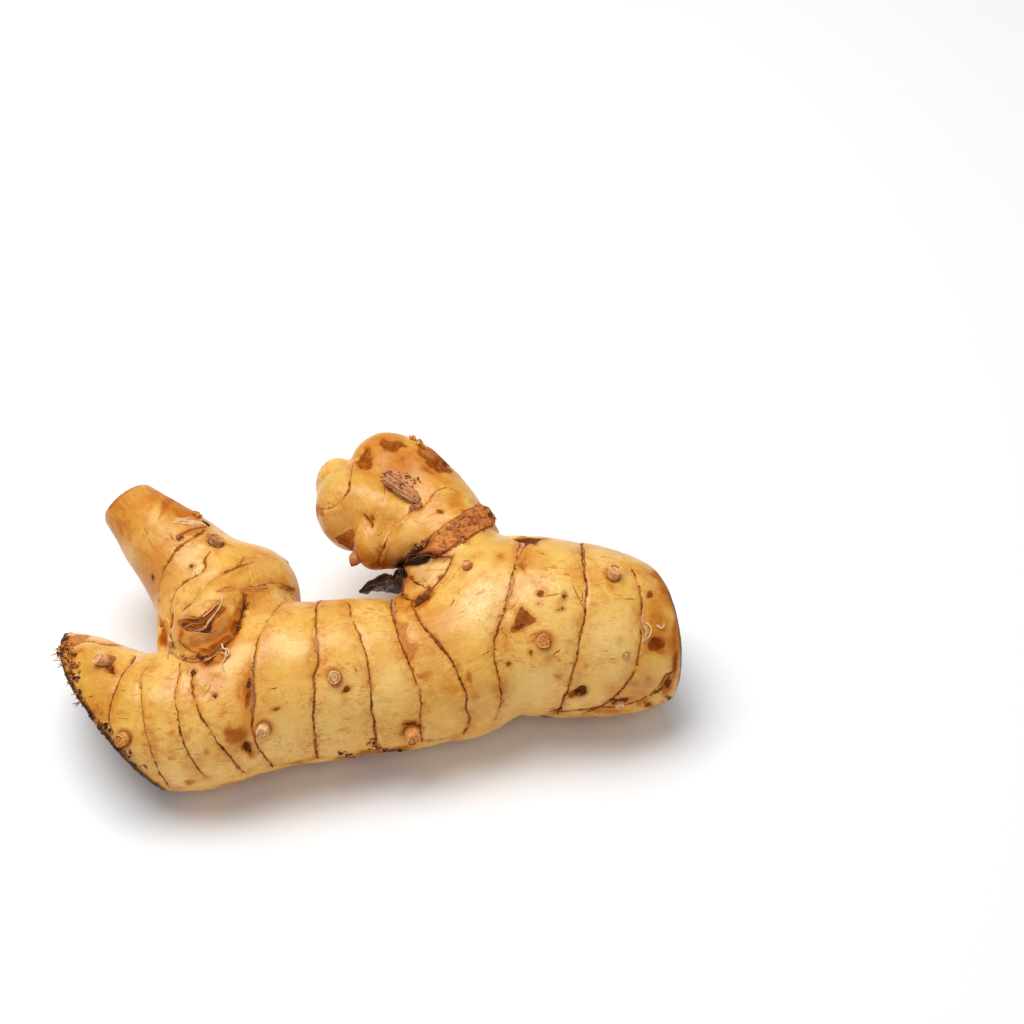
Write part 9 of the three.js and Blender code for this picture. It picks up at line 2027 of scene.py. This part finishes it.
chips.add(V, facing_out(V, F), tone=1.0)
c, n = place("bit")
for k in range(4):
    s_, n_ = seat(c + g.normal(0, 0.3, 3))
    flake(s_[0] + n_[0] * 0.2, n_[0], (0.55, 0.45, 0.3), g.normal(0, 0.3, 3), 0.45, chips, 610 + k)

# --- the shrivelled black scale that hangs from the crevice
blade = np.array(FREE["flake"]) + ORIGIN
q = spline(np.column_stack([blade, np.zeros((len(blade), 2))]), 40)[:, :3]
D_, A_, B_ = along_curve(q)
view = np.array([0.0, 0.70711, -0.70711])
wide = unit(np.cross(view, D_))  # across the blade in the plane that faces the light
tt = np.linspace(0, 1, 40)
half_w = np.interp(tt, [0, 0.10, 0.28, 0.45, 0.62, 0.76, 0.88, 1.0], [0.25, 0.85, 1.35, 1.95, 2.20, 2.05, 1.35, 0.80])
xs = np.linspace(-1, 1, 13)
g = np.random.default_rng(43)
kk = np.stack([tt * 8, tt * 0, tt * 0], 1)
top, low = [], []
for x in xs:
    curl = 0.62 * (x * x) * half_w + 0.26 * np.sin(8 * x + 1.0 + 3.0 * tt) + 0.55 * noise(kk + [0, x * 2.2, 0], 1.2, 81)
    e = q + wide * (x * half_w * (1 + (0.55 * noise(kk, 1.0, 82) if x > 0 else 0.45 * noise(kk, 1.2, 84))))[:, None] - view * (curl - 0.4)[:, None]
    top.append(e - view * 0.11)
    low.append(e + view * 0.11)
ring = np.concatenate([np.array(top), np.array(low)[::-1]])
V = ring.transpose(1, 0, 2).reshape(-1, 3)
V = np.concatenate([V, [ring[:, 0].mean(0)], [ring[:, -1].mean(0)]])
F = skin_of((40, 26))
black = Pile()
edge = np.tile(np.concatenate([np.abs(xs), np.abs(xs[::-1])]), 40)
black.add(V, facing_out(V, F), tone=np.concatenate([edge, [1, 1]]))
for k in range(10):
    i = int(g.integers(24, 39))
    o = q[i] + wide[i] * g.uniform(-0.6, 0.6) * half_w[i]
    d = unit(g.normal(0, 0.5, 3) + D_[i] * 0.9)
    V, F, t = fibre([o, o + d * 0.8, o + d * 1.5 + g.normal(0, 0.3, 3)], 0.10, 0.04, 8, 5, 1.4, 0.3, 640 + k)
    black.add(V, facing_out(V, F), tone=float(g.uniform(0.3, 1.0)))

# --- the small bud under the head
bud = Pile()
c, n = place("smallbud")
ax = unit(np.array([-0.35, -0.75, -0.35]))
e1 = unit(np.cross(ax, [0, 0, 1.0]))
e2 = np.cross(ax, e1)
m, rws = 40, 22
ang = np.linspace(0, 2 * np.pi, m, endpoint=False)
V = []
for k in range(rws):
    t = (k + 0.5) / rws
    r = 1.55 * np.sin(np.pi * min(1, t * 0.93 + 0.05)) ** 0.62 * (1.06 - 0.35 * t)
    ln = -1.2 + 3.7 * t
    w = 1 + 0.07 * np.sin(3 * ang + 0.5 + t) + 0.05 * np.sin(7 * ang + 4 * t) + 0.05 * (np.mod(t * 3.2 + 0.1 * np.sin(2 * ang), 1) - 0.5)
    V.append(c + ax * (ln + 0.1 * np.sin(2 * ang))[:, None] + e1 * (np.cos(ang) * r * w)[:, None] + e2 * (np.sin(ang) * r * w * 0.92)[:, None])
V = np.concatenate(V + [[c - ax * 1.3], [c + ax * 2.55]])
F = skin_of((rws, m))
bud.add(V, facing_out(V, F), t=np.concatenate([np.repeat((np.arange(rws) + 0.5) / rws, m), [0, 1]]))

cut_roots = roots.piece("cut_roots", root_material())
dry_hairs = strands.piece("dry_hairs", hair_material())
scar_frill = frill.piece("scar_frill", frill_material())
shoot_stump = stump.piece("shoot_stump", stump_material())
bark_chips = chips.piece("bark_chips", chip_material())
withered_scale = black.piece("withered_scale", withered_material())
side_bud = bud.piece("side_bud", bud_material())

# ------------------------------------------------------------------ floor, light and camera
LIGHT = (6.5, 0.295, 1.05)  # watts of the overhead softbox, strength of the white surround, watts of the front fill


def floor_piece():
    n = 24
    xs = np.linspace(-1.6, 1.6, n)
    V = [(x, y, -0.00002) for y in xs for x in xs]
    F = [(j * n + i, j * n + i + 1, (j + 1) * n + i + 1, (j + 1) * n + i) for j in range(n - 1) for i in range(n - 1)]
    me = bpy.data.meshes.new("floor")
    me.from_pydata(V, [], F)
    me.update()
    ob = bpy.data.objects.new("floor", me)
    bpy.context.scene.collection.objects.link(ob)
    m = bpy.data.materials.new("white_paper")
    m.use_nodes = True
    b = m.node_tree.nodes["Principled BSDF"]
    b.inputs["Base Color"].default_value = (0.92, 0.93, 0.945, 1)
    b.inputs["Roughness"].default_value = 0.9
    b.inputs["Specular IOR Level"].default_value = 0.1
    me.materials.append(m)


floor_piece()


def area(name, place, target, size, watts):
    li = bpy.data.lights.new(name, "AREA")
    li.shape, li.size, li.size_y, li.energy = "RECTANGLE", size[0], size[1], watts
    ob = bpy.data.objects.new(name, li)
    bpy.context.scene.collection.objects.link(ob)
    ob.location = place
    ob.rotation_euler = (Vector(target) - Vector(place)).to_track_quat("-Z", "Y").to_euler()


area("overhead", (-0.17, 0.13, 0.80), (0, 0, 0), (0.62, 0.52), LIGHT[0])
area("front_fill", (0.22, -0.60, 0.55), (0, 0, 0.01), (0.9, 0.7), LIGHT[2])
world = bpy.data.worlds.new("studio")
world.use_nodes = True
world.node_tree.nodes["Background"].inputs[0].default_value = (1.0, 1.0, 1.0, 1)
world.node_tree.nodes["Background"].inputs[1].default_value = LIGHT[1]
bpy.context.scene.world = world
bpy.context.scene.view_settings.view_transform = "Standard"
bpy.context.scene.view_settings.look = "None"
bpy.context.scene.view_settings.exposure = 0.0

cam = bpy.data.cameras.new("camera")
cam.lens, cam.sensor_width, cam.clip_start, cam.clip_end = 85, 36, 0.05, 10
camera = bpy.data.objects.new("camera", cam)
bpy.context.scene.collection.objects.link(camera)
camera.location = (0.030222, -0.346559, 0.395580)
camera.rotation_euler = (math.radians(45), 0, 0)
bpy.context.scene.camera = camera
